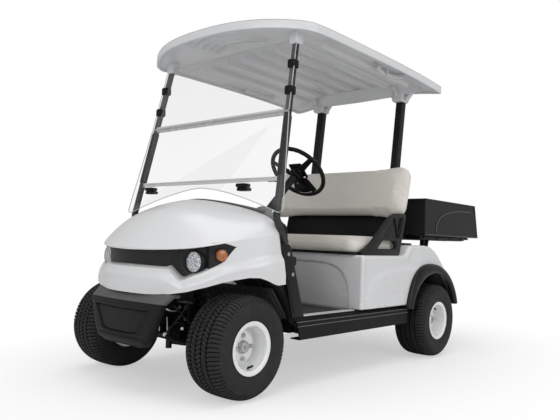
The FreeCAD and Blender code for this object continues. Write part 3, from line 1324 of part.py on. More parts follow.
def roof_surface(drop, inset):
    """Return the roof's crowned surface, lowered by drop and drawn in by inset at its edges."""
    half = S["roof_width"].value / 2 - inset
    rear = -S["roof_rear_back"].value + inset
    level_x = -S["roof_level_back"].value
    edge = S["roof_edge_level"].value + S["roof_lip"].value
    crown = S["roof_top_level"].value - edge
    rows = []
    for a in range(17):
        across = -1 + a / 8
        bow = abs(across) ** 2.6
        nose = -S["roof_front_back"].value - inset - S["roof_bow"].value * bow
        row = []
        for t in range(13):
            x = rear + (nose - rear) * t / 12
            if x < level_x:
                fall = S["roof_rear_fall"].value * ((level_x - x) / (level_x - rear)) ** 4
            else:
                fall = S["roof_front_fall"].value * ((x - level_x) / (-S["roof_front_back"].value - level_x)) ** 4
            z = edge + crown * (1 - abs(across) ** 2.2) - fall - drop
            row.append(V(x, half * across, z))
        rows.append(row)
    skin = Part.BSplineSurface()
    skin.interpolate(rows)
    return skin.toShape()


def roof_ribs():
    """Return bars of the roof's full height, one pitch apart, where its ribs run."""
    pitch, width = S["roof_rib_pitch"].value, S["roof_rib_width"].value
    rear = -(S["roof_rear_back"] - S["roof_rib_rear_margin"]).value
    front = -S["roof_rib_front_back"].value
    base, top = S["roof_edge_level"].value - S["roof_rear_fall"].value, S["roof_top_level"].value
    steps = int((S["roof_width"].value / 2 - 2 * S["roof_rim_width"].value - width / 2) / pitch)
    return Part.makeCompound([Part.makeBox(front - rear, width, top - base, V(rear, pitch * n - width / 2, base))
                              for n in range(-steps, steps + 1)])


def roof():
    """Moulded roof: a crowned skin with a rim all round, ribbed lengthways underneath and open below."""
    lip, wall = S["roof_lip"].value, S["roof_wall"].value
    slab = roof_surface(0, 0).extrude(V(0, 0, -lip))
    rim_width = S["roof_rim_width"].value
    inner = roof_surface(wall, rim_width).extrude(V(0, 0, -lip))
    below = roof_surface(wall + S["roof_rib_depth"].value, 2 * rim_width).extrude(V(0, 0, -lip))
    shell = slab.cut(inner.cut(roof_ribs())).cut(below)
    gap = S["seat_gap"].value
    sky = roof_surface(wall / 2, 0).extrude(V(0, 0, S["roof_lip"].value * 4))
    border = S["bracket_border"].value
    for side in (1, -1):
        head = strut_axis(S["strut_head_level"].value, side)
        reach = S["strut_width"].value / 2 + border
        front = Part.makeBox(2 * reach, 2 * reach, S["roof_top_level"].value - head.z + border,
                             V(head.x - reach, head.y - reach, head.z - border))
        front = front.cut(strut_shape(side, gap)).cut(sky)
        y = S["post_spacing"].value / 2 * side
        reach = S["post_width"].value / 2 + border
        post_head = S["post_head_level"].value
        rear = Part.makeBox(2 * reach, 2 * reach, S["roof_top_level"].value - post_head + 2 * border,
                            V(-S["post_head_back"].value - reach, y - reach, post_head - 2 * border))
        grown = plate([at(x, y - reach + border - gap, z) for x, z in rear_post_side(S["seat_gap"])],
                      V(0, 2 * (reach - border + gap), 0))
        rear = rear.cut(grown).cut(sky)
        shell = shell.fuse([front, rear])
    feature("roof", shell)


# Load box

def hinge_pin_bar(radius, length, y):
    """Return a cylinder on the tailgate's hinge line, centred at y."""
    return Part.makeCylinder(radius, length, at(HINGE_X, y - length / 2, HINGE_Z), V(0, 1, 0))


def cargo_box():
    """Open load box: floor, front wall and two side walls, with hinge ears and pins for the tailgate."""
    half = S["box_width"] / 2
    front = -S["box_front_back"]
    low, top = S["box_level"], S["box_level"] + S["box_height"]
    rear_low = TAIL + S["tailgate_thickness"] + S["moving_gap"]
    rear_top = rear_low + S["box_rear_lean"]
    wall = S["box_wall"]
    side_view = [(front, low), (rear_low, low), (rear_top, top), (front, top)]
    tub = plate([at(x, -half, z) for x, z in side_view], at(0, half * 2, 0))
    run = S["cut_overrun"]
    inside = [(front - wall, low + wall), (rear_low - run, low + wall), (rear_low - run, top + run),
              (front - wall, top + run)]
    tub = tub.cut(plate([at(x, -half + wall, z) for x, z in inside], at(0, (half - wall) * 2, 0)))
    sleeve, ear = S["hinge_sleeve_length"], S["hinge_ear"]
    gap = S["seat_gap"]
    radius = S["hinge_sleeve_diameter"] / 2
    gate_sweep = block(TAIL - run, rear_low, -half - run, half + run, low, top)
    for side in (1, -1):
        y = S["hinge_offset"] * side
        pin = hinge_pin_bar(S["hinge_pin_diameter"].value / 2, (sleeve + (gap + ear) * 2).value, y.value)
        tub = tub.fuse(pin)
        for hand in (1, -1):
            start = y + (sleeve / 2 + gap) * hand
            end = start + ear * hand
            lug = block(HINGE_X, rear_low + radius * 4, start, end, HINGE_Z - radius, low)
            eye = Part.makeCylinder(radius.value, ear.value, at(HINGE_X, min(start.value, end.value), HINGE_Z),
                                    V(0, 1, 0))
            tub = tub.fuse([lug.cut(gate_sweep), eye])
    feature("cargo_box", tub)


def tailgate():
    """Tailgate that closes the load box and drops on the two hinge pins under its lower edge."""
    half = S["box_width"] / 2
    low, top = S["box_level"] + S["seat_gap"], S["box_level"] + S["box_height"]
    thick = S["tailgate_thickness"]
    lean = S["box_rear_lean"]
    side_view = [(TAIL, low), (TAIL + thick, low), (TAIL + thick + lean, top), (TAIL + lean, top)]
    gate = plate([at(x, -half, z) for x, z in side_view], at(0, half * 2, 0))
    radius = S["hinge_sleeve_diameter"].value / 2
    length = S["hinge_sleeve_length"]
    bore = S["hinge_pin_diameter"].value / 2 + S["shaft_clearance"].value
    for side in (1, -1):
        y = S["hinge_offset"] * side
        web = block(HINGE_X - S["hinge_ear"], HINGE_X + S["hinge_ear"], y - length / 2, y + length / 2, HINGE_Z, low)
        gate = gate.fuse([hinge_pin_bar(radius, length.value, y.value), web])
        gate = gate.cut(hinge_pin_bar(bore, length.value * 1.5, y.value))
    feature("tailgate", gate)


def check_pieces():
    """Stop on any object that failed to compute, and on any sub-part without a whole valid shape."""
    doc.recompute()
    for item in doc.Objects:
        state = [word for word in item.State if word in ("Invalid", "Error")]
        if state:
            raise RuntimeError("{} did not compute: {}".format(item.Name, state))
    for piece in PIECES:
        if piece.Shape.isNull() or not piece.Shape.isValid() or not piece.Shape.Solids:
            raise RuntimeError("{} has no valid solid".format(piece.Label))


def write_pieces():
    """Write one STEP file per sub-part."""
    os.makedirs("parts", exist_ok=True)
    for piece in PIECES:
        piece.Shape.exportStep("parts/{}.step".format(piece.Label))
        print(piece.Label, len(piece.Shape.Solids), round(piece.Shape.Volume))


def build():
    """Build every sub-part in order, from the ground up."""
    wheels()
    main_frame()
    front_suspension()
    tie_rod()
    rear_axle()
    battery_pack()
    floor_pan()
    front_cowl()
    lamp_band()
    lamps("headlamps", "headlamp", S["headlamp_depth"])
    lamps("indicators", "indicator", S["indicator_depth"])
    front_bumper()
    dashboard()
    windshield()
    steering_column()
    steering_wheel()
    pedals()
    rear_body()
    seat_cushion()
    seat_back()
    seat_back_panel()
    roof()
    cargo_box()
    tailgate()
    for hand, side in (("left", 1), ("right", -1)):
        knuckle("knuckle_" + hand, side)
        rocker("rocker_" + hand, side)
        pillar_plate("pillar_plate_" + hand, side)
        wheel_liner("wheel_liner_" + hand, side)
        strut("strut_" + hand, side)
        fender_flare("fender_flare_" + hand, side)
        hip_restraint("hip_restraint_" + hand, side)
        rear_post("rear_post_" + hand, side)
    check_pieces()
    write_pieces()


build()
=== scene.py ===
"""Looks of a two-seat electric golf cart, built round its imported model.

Lengths are in metres. Pieces are laid out from the front axle: +X forward, +Y to the driver's side, +Z up,
and AXLE_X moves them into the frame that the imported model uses.
"""
from __future__ import annotations

import logging
import math
import sys
from contextlib import contextmanager
from dataclasses import dataclass, field
from enum import Enum
from typing import Any, Callable, Iterator, Sequence

import bmesh
import bpy
import numpy as np
from mathutils import Matrix, Vector


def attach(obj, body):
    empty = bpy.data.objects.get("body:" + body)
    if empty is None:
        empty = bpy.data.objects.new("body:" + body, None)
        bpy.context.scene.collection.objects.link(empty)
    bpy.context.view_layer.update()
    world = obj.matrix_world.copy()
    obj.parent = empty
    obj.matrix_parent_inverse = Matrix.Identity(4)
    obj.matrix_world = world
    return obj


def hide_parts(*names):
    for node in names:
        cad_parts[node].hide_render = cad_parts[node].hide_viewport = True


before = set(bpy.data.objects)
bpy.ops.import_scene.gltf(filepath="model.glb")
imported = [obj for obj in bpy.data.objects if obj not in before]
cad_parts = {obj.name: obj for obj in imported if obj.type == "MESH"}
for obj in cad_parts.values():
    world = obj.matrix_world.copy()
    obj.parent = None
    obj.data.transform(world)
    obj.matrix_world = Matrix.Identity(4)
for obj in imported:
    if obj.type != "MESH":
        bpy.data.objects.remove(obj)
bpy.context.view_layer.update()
LOG = logging.getLogger("golf_cart")
Array = np.ndarray

# Sizes that several pieces share: the axles' places, the hood's slanted rear edge and crown, the foot of the
# painted body, the rear posts' distance from the middle and the backrest's lean in degrees

AXLE_X = 1.095
REAR_X = -1.675
WHEEL_Z = 0.2286
HOOD_TOP = 0.897
HOOD_REAR = -0.124
HOOD_SLANT = 0.219
CROWN_FALL = 0.088
BODY_FOOT = 0.3424
POST_Y = 0.330
SEAT_LEAN = 13.0
HANDS = (("left", 1), ("right", -1))


# Numbers and curves

def smooth(low: float, high: float, value: Array) -> Array:
    """Return 0 below low, 1 above high and the S-curve 3t^2 - 2t^3 between them."""
    t = np.clip((value - low) / (high - low), 0.0, 1.0)
    return t * t * (3.0 - 2.0 * t)


def unit(vectors: Array) -> Array:
    """Return vectors scaled to length 1."""
    length = np.linalg.norm(vectors, axis=-1, keepdims=True)
    return vectors / np.maximum(length, 1e-12)


def through(points: Sequence[Sequence[float]], count: int) -> Array:
    """Return count points on a smooth line through a few points.

    Each run is the Catmull-Rom cubic of its two ends and their neighbours, and the samples are even in arc length.

    Args:
        points: The points, each with two or three numbers.
        count: How many samples to return.

    Returns:
        An array of shape (count, 2 or 3).
    """
    knots = np.asarray(points, dtype=float)
    padded = np.vstack([2 * knots[0] - knots[1], knots, 2 * knots[-1] - knots[-2]])
    t = np.linspace(0.0, len(knots) - 1 - 1e-9, 40 * len(knots))
    i = t.astype(int)
    f = (t - i)[:, None]
    a, b, c, d = padded[i], padded[i + 1], padded[i + 2], padded[i + 3]
    line = 0.5 * (2 * b + (c - a) * f + (2 * a - 5 * b + 4 * c - d) * f ** 2 + (3 * b - a - 3 * c + d) * f ** 3)
    return along_line(line, count)


def stations(line: Array) -> Array:
    """Return each point's distance from the first, measured along the straight runs."""
    return np.concatenate([[0.0], np.cumsum(np.linalg.norm(np.diff(line, axis=0), axis=1))])


def sample(line: Array, at: Array, places: Array) -> Array:
    """Return the points at some places of a line whose own points lie at the stations at."""
    return np.stack([np.interp(places, at, line[:, k]) for k in range(line.shape[1])], axis=1)


def along_line(points: Sequence[Sequence[float]], count: int) -> Array:
    """Return count points spread evenly on the straight runs through points."""
    knots = np.asarray(points, dtype=float)
    at = stations(knots)
    return sample(knots, at, np.linspace(0.0, at[-1], count))


def rounded(corners: Sequence[Sequence[float]], radius: float | Sequence[float], steps: int = 5) -> Array:
    """Return a closed outline whose corners are rounded.

    Each corner becomes the quadratic curve (1-t)^2 a + 2t(1-t) c + t^2 b between points a and b, which lie at the
    radius along its two sides.

    Args:
        corners: The outline's corners in order.
        radius: One radius, or one for each corner.
        steps: Points on each rounded corner.

    Returns:
        An array of shape (corners * steps, 2).
    """
    c = np.asarray(corners, dtype=float)
    before, after = np.roll(c, 1, axis=0) - c, np.roll(c, -1, axis=0) - c
    reach_a, reach_b = np.linalg.norm(before, axis=1), np.linalg.norm(after, axis=1)
    r = np.minimum(np.broadcast_to(radius, len(c)), 0.48 * np.minimum(reach_a, reach_b))
    a = c + before * (r / reach_a)[:, None]
    b = c + after * (r / reach_b)[:, None]
    t = np.linspace(0.0, 1.0, steps)[None, :, None]
    curve = (1 - t) ** 2 * a[:, None] + 2 * t * (1 - t) * c[:, None] + t ** 2 * b[:, None]
    return curve.reshape(-1, 2)


def ellipse(width: float, height: float, count: int = 20, power: float = 2.0) -> Array:
    """Return the closed outline (w cos^(2/p) t, h sin^(2/p) t), an ellipse for power 2 and squarer above."""
    t = np.linspace(0.0, 2 * math.pi, count, endpoint=False)
    cosine, sine = np.cos(t), np.sin(t)
    share = 2.0 / power
    return np.stack([width * np.sign(cosine) * np.abs(cosine) ** share,
                     height * np.sign(sine) * np.abs(sine) ** share], axis=1)


def bar(wide: float, tall: float, radius: float, steps: int = 4) -> Array:
    """Return the outline of a rectangle by its half width and half height, with rounded corners."""
    return rounded([(wide, tall), (-wide, tall), (-wide, -tall), (wide, -tall)], radius, steps)


def upright(y: float) -> Callable[[Array], Array]:
    """Return the way to stand flat points (x, z, depth) upright at a distance y from the middle."""
    return lambda p: np.stack([p[:, 0], y + p[:, 2], p[:, 1]], axis=1)


def hood_rear(level: Array) -> Array:
    """Return where the hood's slanted rear edge is at a level."""
    return HOOD_REAR - (HOOD_TOP - level) * HOOD_SLANT


def crown_level(top: float, y: Array) -> Array:
    """Return the height of a line that falls from top as the hood's rear edge does, with |y|^1.5."""
    return top - CROWN_FALL * (np.abs(y) / 0.55) ** 1.5


def turned(points: Array, angle: float, axis: str, centre: Sequence[float]) -> Array:
    """Return points turned by an angle in degrees about an axis through a centre."""
    matrix = np.array(Matrix.Rotation(math.radians(angle), 3, axis))
    origin = np.asarray(centre, dtype=float)
    return (points - origin) @ matrix.T + origin


# Meshes

def read(items: Any, key: str, wide: int = 1, kind: type = float) -> Array:
    """Return one property of a mesh's items, wide numbers for each, as a flat array."""
    values = np.empty(len(items) * wide, dtype=kind)
    items.foreach_get(key, values)
    return values


@contextmanager
def editing(mesh: bpy.types.Mesh) -> Iterator[bmesh.types.BMesh]:
    """Open a mesh for editing and write the result back."""
    work = bmesh.new()
    work.from_mesh(mesh)
    yield work
    work.to_mesh(mesh)
    work.free()


def face_up(work: bmesh.types.BMesh, level: float) -> None:
    """Turn a skin over where its faces above a level look down on the whole."""
    if sum(face.normal.z * face.calc_area() for face in work.faces if face.calc_center_median().z > level) < 0:
        bmesh.ops.reverse_faces(work, faces=work.faces)


def thicken(thing: bpy.types.Object, thickness: float) -> None:
    """Give a skin a wall of some thickness, inwards."""
    wall = thing.modifiers.new("wall", "SOLIDIFY")
    wall.thickness, wall.offset = thickness, -1.0


@dataclass
class Surface:
    """Points and faces that are gathered for one piece."""

    points: list[Array] = field(default_factory=list)
    corners: list[Array] = field(default_factory=list)
    sizes: list[Array] = field(default_factory=list)
    total: int = 0

    def add(self, points: Array, corners: Array, sizes: Array) -> "Surface":
        """Add points with the faces' corners, counted from these points, and each face's corner count."""
        self.points.append(np.asarray(points, dtype=float).reshape(-1, 3))
        self.corners.append(np.asarray(corners, dtype=np.int64).ravel() + self.total)
        self.sizes.append(np.asarray(sizes, dtype=np.int64).ravel())
        self.total += len(self.points[-1])
        return self

    def grid(self, points: Array, wrap_u: bool = False, wrap_v: bool = False,
             keep: Array | None = None) -> "Surface":
        """Add a grid of quads between points of shape (rows, columns, 3).

        Args:
            points: The grid's points.
            wrap_u: Whether the last row joins the first.
            wrap_v: Whether the last column joins the first.
            keep: Which quads to keep, by their first corner's row and column, or None for all.

        Returns:
            This surface.
        """
        rows, columns = points.shape[:2]
        u = np.arange(rows if wrap_u else rows - 1)[:, None]
        v = np.arange(columns if wrap_v else columns - 1)[None, :]
        u1, v1 = (u + 1) % rows, (v + 1) % columns
        quads = np.stack(np.broadcast_arrays(u * columns + v, u1 * columns + v, u1 * columns + v1, u * columns + v1),
                         axis=-1)
        quads = quads[keep] if keep is not None else quads.reshape(-1, 4)
        return self.add(points, quads, np.full(len(quads), 4))

    def cap(self, ring: Array) -> "Surface":
        """Add one flat face across a closed ring of points."""
        return self.add(ring, np.arange(len(ring)), [len(ring)])

    def lathe(self, profile: Array, centre: Sequence[float], axis: Sequence[float], count: int = 48,
              closed: bool = True) -> "Surface":
        """Turn a profile of (along the axis, radius) pairs about an axis.

        Args:
            profile: The pairs; the ends lie on the axis or the profile is closed.
            centre: The axis's origin.
            axis: The axis's direction.
            count: Steps round the axis.
            closed: Whether the profile's last point joins its first.

        Returns:
            This surface.
        """
        n = unit(np.asarray(axis, dtype=float))
        helper = np.array([0.0, 0.0, 1.0]) if abs(n[2]) < 0.9 else np.array([1.0, 0.0, 0.0])
        a = unit(np.cross(helper, n))
        b = np.cross(n, a)
        t = np.linspace(0.0, 2 * math.pi, count, endpoint=False)
        ring = np.cos(t)[:, None] * a + np.sin(t)[:, None] * b
        profile = np.asarray(profile, dtype=float)
        points = np.asarray(centre, dtype=float) + profile[None, :, :1] * n + profile[None, :, 1:2] * ring[:, None, :]
        return self.grid(points, wrap_u=True, wrap_v=closed)

    def sweep(self, path: Array, profile: Array, up: Sequence[float] = (0.0, 0.0, 1.0),
              scale: Array | None = None, closed: bool = False) -> "Surface":
        """Carry a closed profile along a path, with flat ends.

        Each station stands on the path's tangent: the profile's first number runs across, the second along up.

        Args:
            path: The path's points, shape (n, 3).
            profile: The profile's points, shape (m, 2).
            up: The direction nearest to the profile's second axis.
            scale: The profile's size at each station, or None for 1.
            closed: Whether the path joins up.

        Returns:
            This surface.
        """
        path = np.asarray(path, dtype=float)
        if closed:
            tangent = unit(np.roll(path, -1, axis=0) - np.roll(path, 1, axis=0))
        else:
            tangent = unit(np.gradient(path, axis=0))
        across = unit(np.cross(np.asarray(up, dtype=float)[None, :], tangent))
        above = np.cross(tangent, across)
        size = np.ones(len(path)) if scale is None else np.asarray(scale, dtype=float)
        profile = np.asarray(profile, dtype=float)
        points = (path[:, None, :] + size[:, None, None] * (profile[None, :, :1] * across[:, None, :]
                                                           + profile[None, :, 1:2] * above[:, None, :]))
        self.grid(points, wrap_u=closed, wrap_v=True)
        if not closed:
            self.cap(points[0][::-1]).cap(points[-1])
        return self

    def tube(self, path: Sequence[Sequence[float]], radius: float, sides: int = 12, count: int = 0,
             up: Sequence[float] = (0.0, 0.0, 1.0)) -> "Surface":
        """Add a round bar along the smooth line through a path's points, or along them as they are."""
        line = through(path, count) if count else np.asarray(path, dtype=float)
        return self.sweep(line, ellipse(radius, radius, sides), up)

    def box(self, low: Sequence[float], high: Sequence[float], bevel: float = 0.003) -> "Surface":
        """Add a block between two opposite corners: three rings on each end of a rounded rectangle."""
        low, high = np.minimum(low, high), np.maximum(low, high)
        middle, half = (low + high) / 2, (high - low) / 2
        bevel = min(bevel, 0.45 * float(half.min()))
        rings = []
        for end, inset in ((-1, 1.0), (-1, 0.3), (-1, 0.0), (1, 0.0), (1, 0.3), (1, 1.0)):
            size = half[:2] - bevel * inset
            ring = bar(size[0], size[1], bevel * (1.3 - inset * 0.5))
            level = end * (half[2] - (bevel * (1 - inset) if inset < 1 else 0.0))
            rings.append(np.column_stack([ring, np.full(len(ring), level)]))
        points = np.stack(rings) + middle
        self.grid(points, wrap_v=True)
        return self.cap(points[0][::-1]).cap(points[-1])

    def plate(self, outlines: Sequence[Array], thickness: float, bevel: float,
              lay: Callable[[Array], Array]) -> "Surface":
        """Add a flat sheet with round edges, cut to an outline with windows.

        Args:
            outlines: The outer outline and any windows, each of shape (n, 2).
            thickness: The sheet's thickness.
            bevel: The rounding of its edges.
            lay: Turns flat points (u, v, w), w from 0 to thickness, into places.

        Returns:
            This surface.
        """
        curve = bpy.data.curves.new("cut_sheet", "CURVE")
        curve.dimensions, curve.fill_mode = "2D", "BOTH"
        curve.extrude, curve.bevel_depth, curve.bevel_resolution = thickness / 2 - bevel, bevel, 2
        curve.offset = -bevel
        for outline in outlines:
            spline = curve.splines.new("POLY")
            spline.points.add(len(outline) - 1)
            flat = np.column_stack([outline, np.zeros(len(outline)), np.ones(len(outline))])
            spline.points.foreach_set("co", flat.ravel())
            spline.use_cyclic_u = True
        holder = bpy.data.objects.new("cut_sheet", curve)
        mesh = bpy.data.meshes.new_from_object(holder)
        points = read(mesh.vertices, "co", 3).reshape(-1, 3) + [0.0, 0.0, thickness / 2]
        self.add(lay(points), read(mesh.loops, "vertex_index", 1, np.int64),
                 read(mesh.polygons, "loop_total", 1, np.int64))
        bpy.data.objects.remove(holder)
        bpy.data.curves.remove(curve)
        bpy.data.meshes.remove(mesh)
        return self

    def piece(self, name: str, material: bpy.types.Material, angle: float = 35.0, weld: float = 2e-5,
              outward: bool = True, thickness: float = 0.0) -> bpy.types.Object:
        """Make the object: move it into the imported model's frame, weld it and shade it smooth.

        Args:
            name: The object's name.
            material: Its material.
            angle: Edges sharper than this many degrees stay crisp.
            weld: Points closer than this become one.
            outward: Whether to turn every face outwards.
            thickness: The wall to add inwards, or 0.

        Returns:
            The new object, at the origin.
        """
        points = np.concatenate(self.points) + [AXLE_X, 0.0, 0.0]
        corners, sizes = np.concatenate(self.corners), np.concatenate(self.sizes)
        mesh = bpy.data.meshes.new(name)
        mesh.vertices.add(len(points))
        mesh.vertices.foreach_set("co", points.ravel())
        mesh.loops.add(len(corners))
        mesh.loops.foreach_set("vertex_index", corners.astype(np.int32))
        mesh.polygons.add(len(sizes))
        starts = np.concatenate([[0], np.cumsum(sizes)[:-1]])
        mesh.polygons.foreach_set("loop_start", starts.astype(np.int32))
        mesh.update(calc_edges=True)
        mesh.validate()
        with editing(mesh) as work:
            bmesh.ops.remove_doubles(work, verts=work.verts, dist=weld)
            bmesh.ops.dissolve_degenerate(work, dist=1e-6, edges=work.edges)
            if outward:
                bmesh.ops.recalc_face_normals(work, faces=work.faces)
        mesh.polygons.foreach_set("use_smooth", np.ones(len(mesh.polygons), dtype=bool))
        mesh.set_sharp_from_angle(angle=math.radians(angle))
        thing = bpy.data.objects.new(name, mesh)
        bpy.context.scene.collection.objects.link(thing)
        thing.data.materials.append(material)
        if thickness:
            thicken(thing, thickness)
        return thing

    def fit(self, name: str, finish: "Finish", angle: float = 35.0, node: str = "", slot: str = "",
            body: str = "chassis", **shaping: Any) -> None:
        """Make the object in a finish and settle it on its body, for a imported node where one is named."""
        settle(self.piece(name, Paintbox.get(finish), angle, **shaping), body, [node] if node else (), slot)


def settle(thing: bpy.types.Object, body: str = "chassis", replaces: Sequence[str] = (),
           slot: str = "") -> bpy.types.Object:
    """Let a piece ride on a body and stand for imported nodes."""
    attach(thing, body)
    if replaces:
        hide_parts(*replaces)
    LOG.info("%s: %d faces on %s", thing.name, len(thing.data.polygons), body)
    return thing


# Shader maths

class Value:
    """A number's socket that can be used in Python sums."""

    def __init__(self, graph: "Graph", socket: bpy.types.NodeSocket) -> None:
        """Keep the graph and the socket."""
        self.graph = graph
        self.socket = socket

    def math(self, operation: str, *others: Any) -> "Value":
        """Return a Math node's result on this value and others."""
        inputs = {0: self.socket}
        for index, other in enumerate(others, start=1):
            inputs[index] = other.socket if isinstance(other, Value) else other
        return Value(self.graph, self.graph.node("ShaderNodeMath", {"operation": operation}, inputs).outputs[0])

    def flipped(self, operation: str, other: float) -> "Value":
        """Return a Math node's result on a plain number and this value."""
        node = self.graph.node("ShaderNodeMath", {"operation": operation}, {0: other, 1: self.socket})
        return Value(self.graph, node.outputs[0])

    def __add__(self, other: Any) -> "Value":
        """Return the sum."""
        return self.math("ADD", other)

    __radd__ = __add__

    def __sub__(self, other: Any) -> "Value":
        """Return the difference."""
        return self.math("SUBTRACT", other)

    def __rsub__(self, other: float) -> "Value":
        """Return a number less this value."""
        return self.flipped("SUBTRACT", other)

    def __mul__(self, other: Any) -> "Value":
        """Return the product."""
        return self.math("MULTIPLY", other)

    __rmul__ = __mul__

    def __pow__(self, other: Any) -> "Value":
        """Return the power."""
        return self.math("POWER", other)

    def step(self, low: float, high: float) -> "Value":
        """Return the S-curve from 0 at low to 1 at high."""
        node = self.graph.node("ShaderNodeMapRange", {"interpolation_type": "SMOOTHSTEP"},
                               {"Value": self.socket, "From Min": low, "From Max": high})
        return Value(self.graph, node.outputs["Result"])


class Graph:
    """A material's node tree with its Principled shader."""

    def __init__(self, name: str) -> None:
        """Start an empty material."""
        self.material = bpy.data.materials.new(name)
        self.material.use_nodes = True
        self.tree = self.material.node_tree
        self.tree.nodes.clear()
        self.output = self.node("ShaderNodeOutputMaterial")
        self.shader = self.node("ShaderNodeBsdfPrincipled")
        self.link(self.shader.outputs[0], self.output.inputs["Surface"])
        self.place = self.node("ShaderNodeTexCoord").outputs["Object"]

    def link(self, source: bpy.types.NodeSocket, target: bpy.types.NodeSocket) -> None:
        """Join two sockets."""
        self.tree.links.new(source, target)

    def node(self, kind: str, settings: dict[str, Any] | None = None,
             inputs: dict[Any, Any] | None = None) -> bpy.types.Node:
        """Add a node.

        Args:
            kind: The node's type.
            settings: Its own settings, set first.
            inputs: Values or links for its sockets, by name or number.

        Returns:
            The new node.
        """
        made = self.tree.nodes.new(kind)
        for key, value in (settings or {}).items():
            setattr(made, key, value)
        for key, value in (inputs or {}).items():
            if isinstance(value, Value):
                value = value.socket
            if isinstance(value, bpy.types.NodeSocket):
                self.link(value, made.inputs[key])
            else:
                made.inputs[key].default_value = value
        return made

    def stretched(self, scale: Sequence[float]) -> bpy.types.NodeSocket:
        """Return Object coordinates scaled along each axis."""
        return self.node("ShaderNodeMapping", None, {"Vector": self.place, "Scale": tuple(scale)}).outputs[0]

    def noise(self, scale: float, detail: float = 3.0, rough: float = 0.5,
              stretch: Sequence[float] = (1.0, 1.0, 1.0)) -> Value:
        """Return cloudy noise of about 1 / scale metres."""
        vector = self.place if tuple(stretch) == (1.0, 1.0, 1.0) else self.stretched(stretch)
        node = self.node("ShaderNodeTexNoise", None,
                         {"Vector": vector, "Scale": scale, "Detail": detail, "Roughness": rough})
        return Value(self, node.outputs[0])

    def cells(self, scale: float, feature: str = "F1") -> Value:
        """Return the distance in a Voronoi pattern with cells of about 1 / scale metres."""
        node = self.node("ShaderNodeTexVoronoi", {"feature": feature}, {"Vector": self.place, "Scale": scale})
        return Value(self, node.outputs["Distance"])

    def axis(self, name: str) -> Value:
        """Return one of the Object coordinates, X, Y or Z."""
        return Value(self, self.node("ShaderNodeSeparateXYZ", None, {0: self.place}).outputs[name])

    def mix(self, share: Value, low: Sequence[float], high: Sequence[float]) -> bpy.types.NodeSocket:
        """Return a colour between two, by a share."""
        node = self.node("ShaderNodeMix", {"data_type": "RGBA"},
                         {"Factor": share, 6: (*low, 1.0), 7: (*high, 1.0)})
        return node.outputs[2]

    def bump(self, height: Value, strength: float, depth: float,
             under: bpy.types.NodeSocket | None = None) -> bpy.types.NodeSocket:
        """Return a normal bumped by a height, over another bump where one is given."""
        inputs: dict[Any, Any] = {"Height": height, "Strength": strength, "Distance": depth}
        if under is not None:
            inputs["Normal"] = under
        return self.node("ShaderNodeBump", None, inputs).outputs[0]

    def blend(self, share: Value, first: bpy.types.Node, second: bpy.types.Node) -> None:
        """Show two shaders mixed by a share, in place of the Principled shader alone."""
        mixed = self.node("ShaderNodeMixShader", None, {0: share, 1: first.outputs[0], 2: second.outputs[0]})
        self.link(mixed.outputs[0], self.output.inputs["Surface"])

    def set(self, **values: Any) -> None:
        """Set the Principled shader's sockets, with underscores for spaces."""
        for key, value in values.items():
            socket = self.shader.inputs[key.replace("_", " ")]
            if isinstance(value, Value):
                value = value.socket
            if isinstance(value, bpy.types.NodeSocket):
                self.link(value, socket)
            else:
                socket.default_value = value


def shade(colour: Sequence[float], by: float) -> tuple[float, float, float]:
    """Return a colour made lighter or darker by a factor."""
    return tuple(min(1.0, max(0.0, channel * by)) for channel in colour)


# Finishes

@dataclass(frozen=True)
class Gelcoat:
    """Glossy moulded body: slow waviness, a fine orange peel, and dust low down."""

    name: str
    colour: tuple[float, float, float]
    rough: float = 0.24
    dust: float = 0.10

    def make(self) -> bpy.types.Material:
        """Build the material."""
        g = Graph(self.name)
        cloud = g.noise(3.0, 4.0, 0.6)
        low = 1.0 - g.axis("Z").step(0.25, 0.62)
        grime = (g.noise(38.0, 5.0, 0.7).step(0.42, 0.75)) * low * self.dust
        tone = (cloud - 0.5) * 0.25 + grime * 1.6
        g.set(Base_Color=g.mix(tone.math("MAXIMUM", 0.0), self.colour, shade(self.colour, 0.80)),
              Roughness=cloud * 0.08 + (self.rough - 0.04) + grime * 1.5, Coat_Weight=0.35, Coat_Roughness=0.08,
              Normal=g.bump(g.noise(420.0, 2.0), 0.05, 0.0004, g.bump(g.noise(6.0, 1.0), 0.10, 0.002)))
        return g.material


@dataclass(frozen=True)
class Moulded:
    """Grained moulded plastic: pits of a texture tool, slow gloss changes and pale scuffs."""

    name: str
    colour: tuple[float, float, float]
    rough: float = 0.48
    grain: float = 900.0
    depth: float = 0.35
    scuff: float = 0.12

    def make(self) -> bpy.types.Material:
        """Build the material."""
        g = Graph(self.name)
        cloud = g.noise(7.0, 4.0, 0.6)
        scratches = g.noise(30.0, 6.0, 0.75, (1.0, 6.0, 2.0)).step(0.62, 0.80) * self.scuff
        g.set(Base_Color=g.mix(cloud * 0.35 + scratches, self.colour, shade(self.colour, 1.7)),
              Roughness=cloud * 0.14 + (self.rough - 0.07) + scratches * 0.6, Specular_IOR_Level=0.18,
              Normal=g.bump(g.cells(self.grain), self.depth, 0.0005, g.bump(g.noise(14.0, 2.0), 0.06, 0.001)))
        return g.material


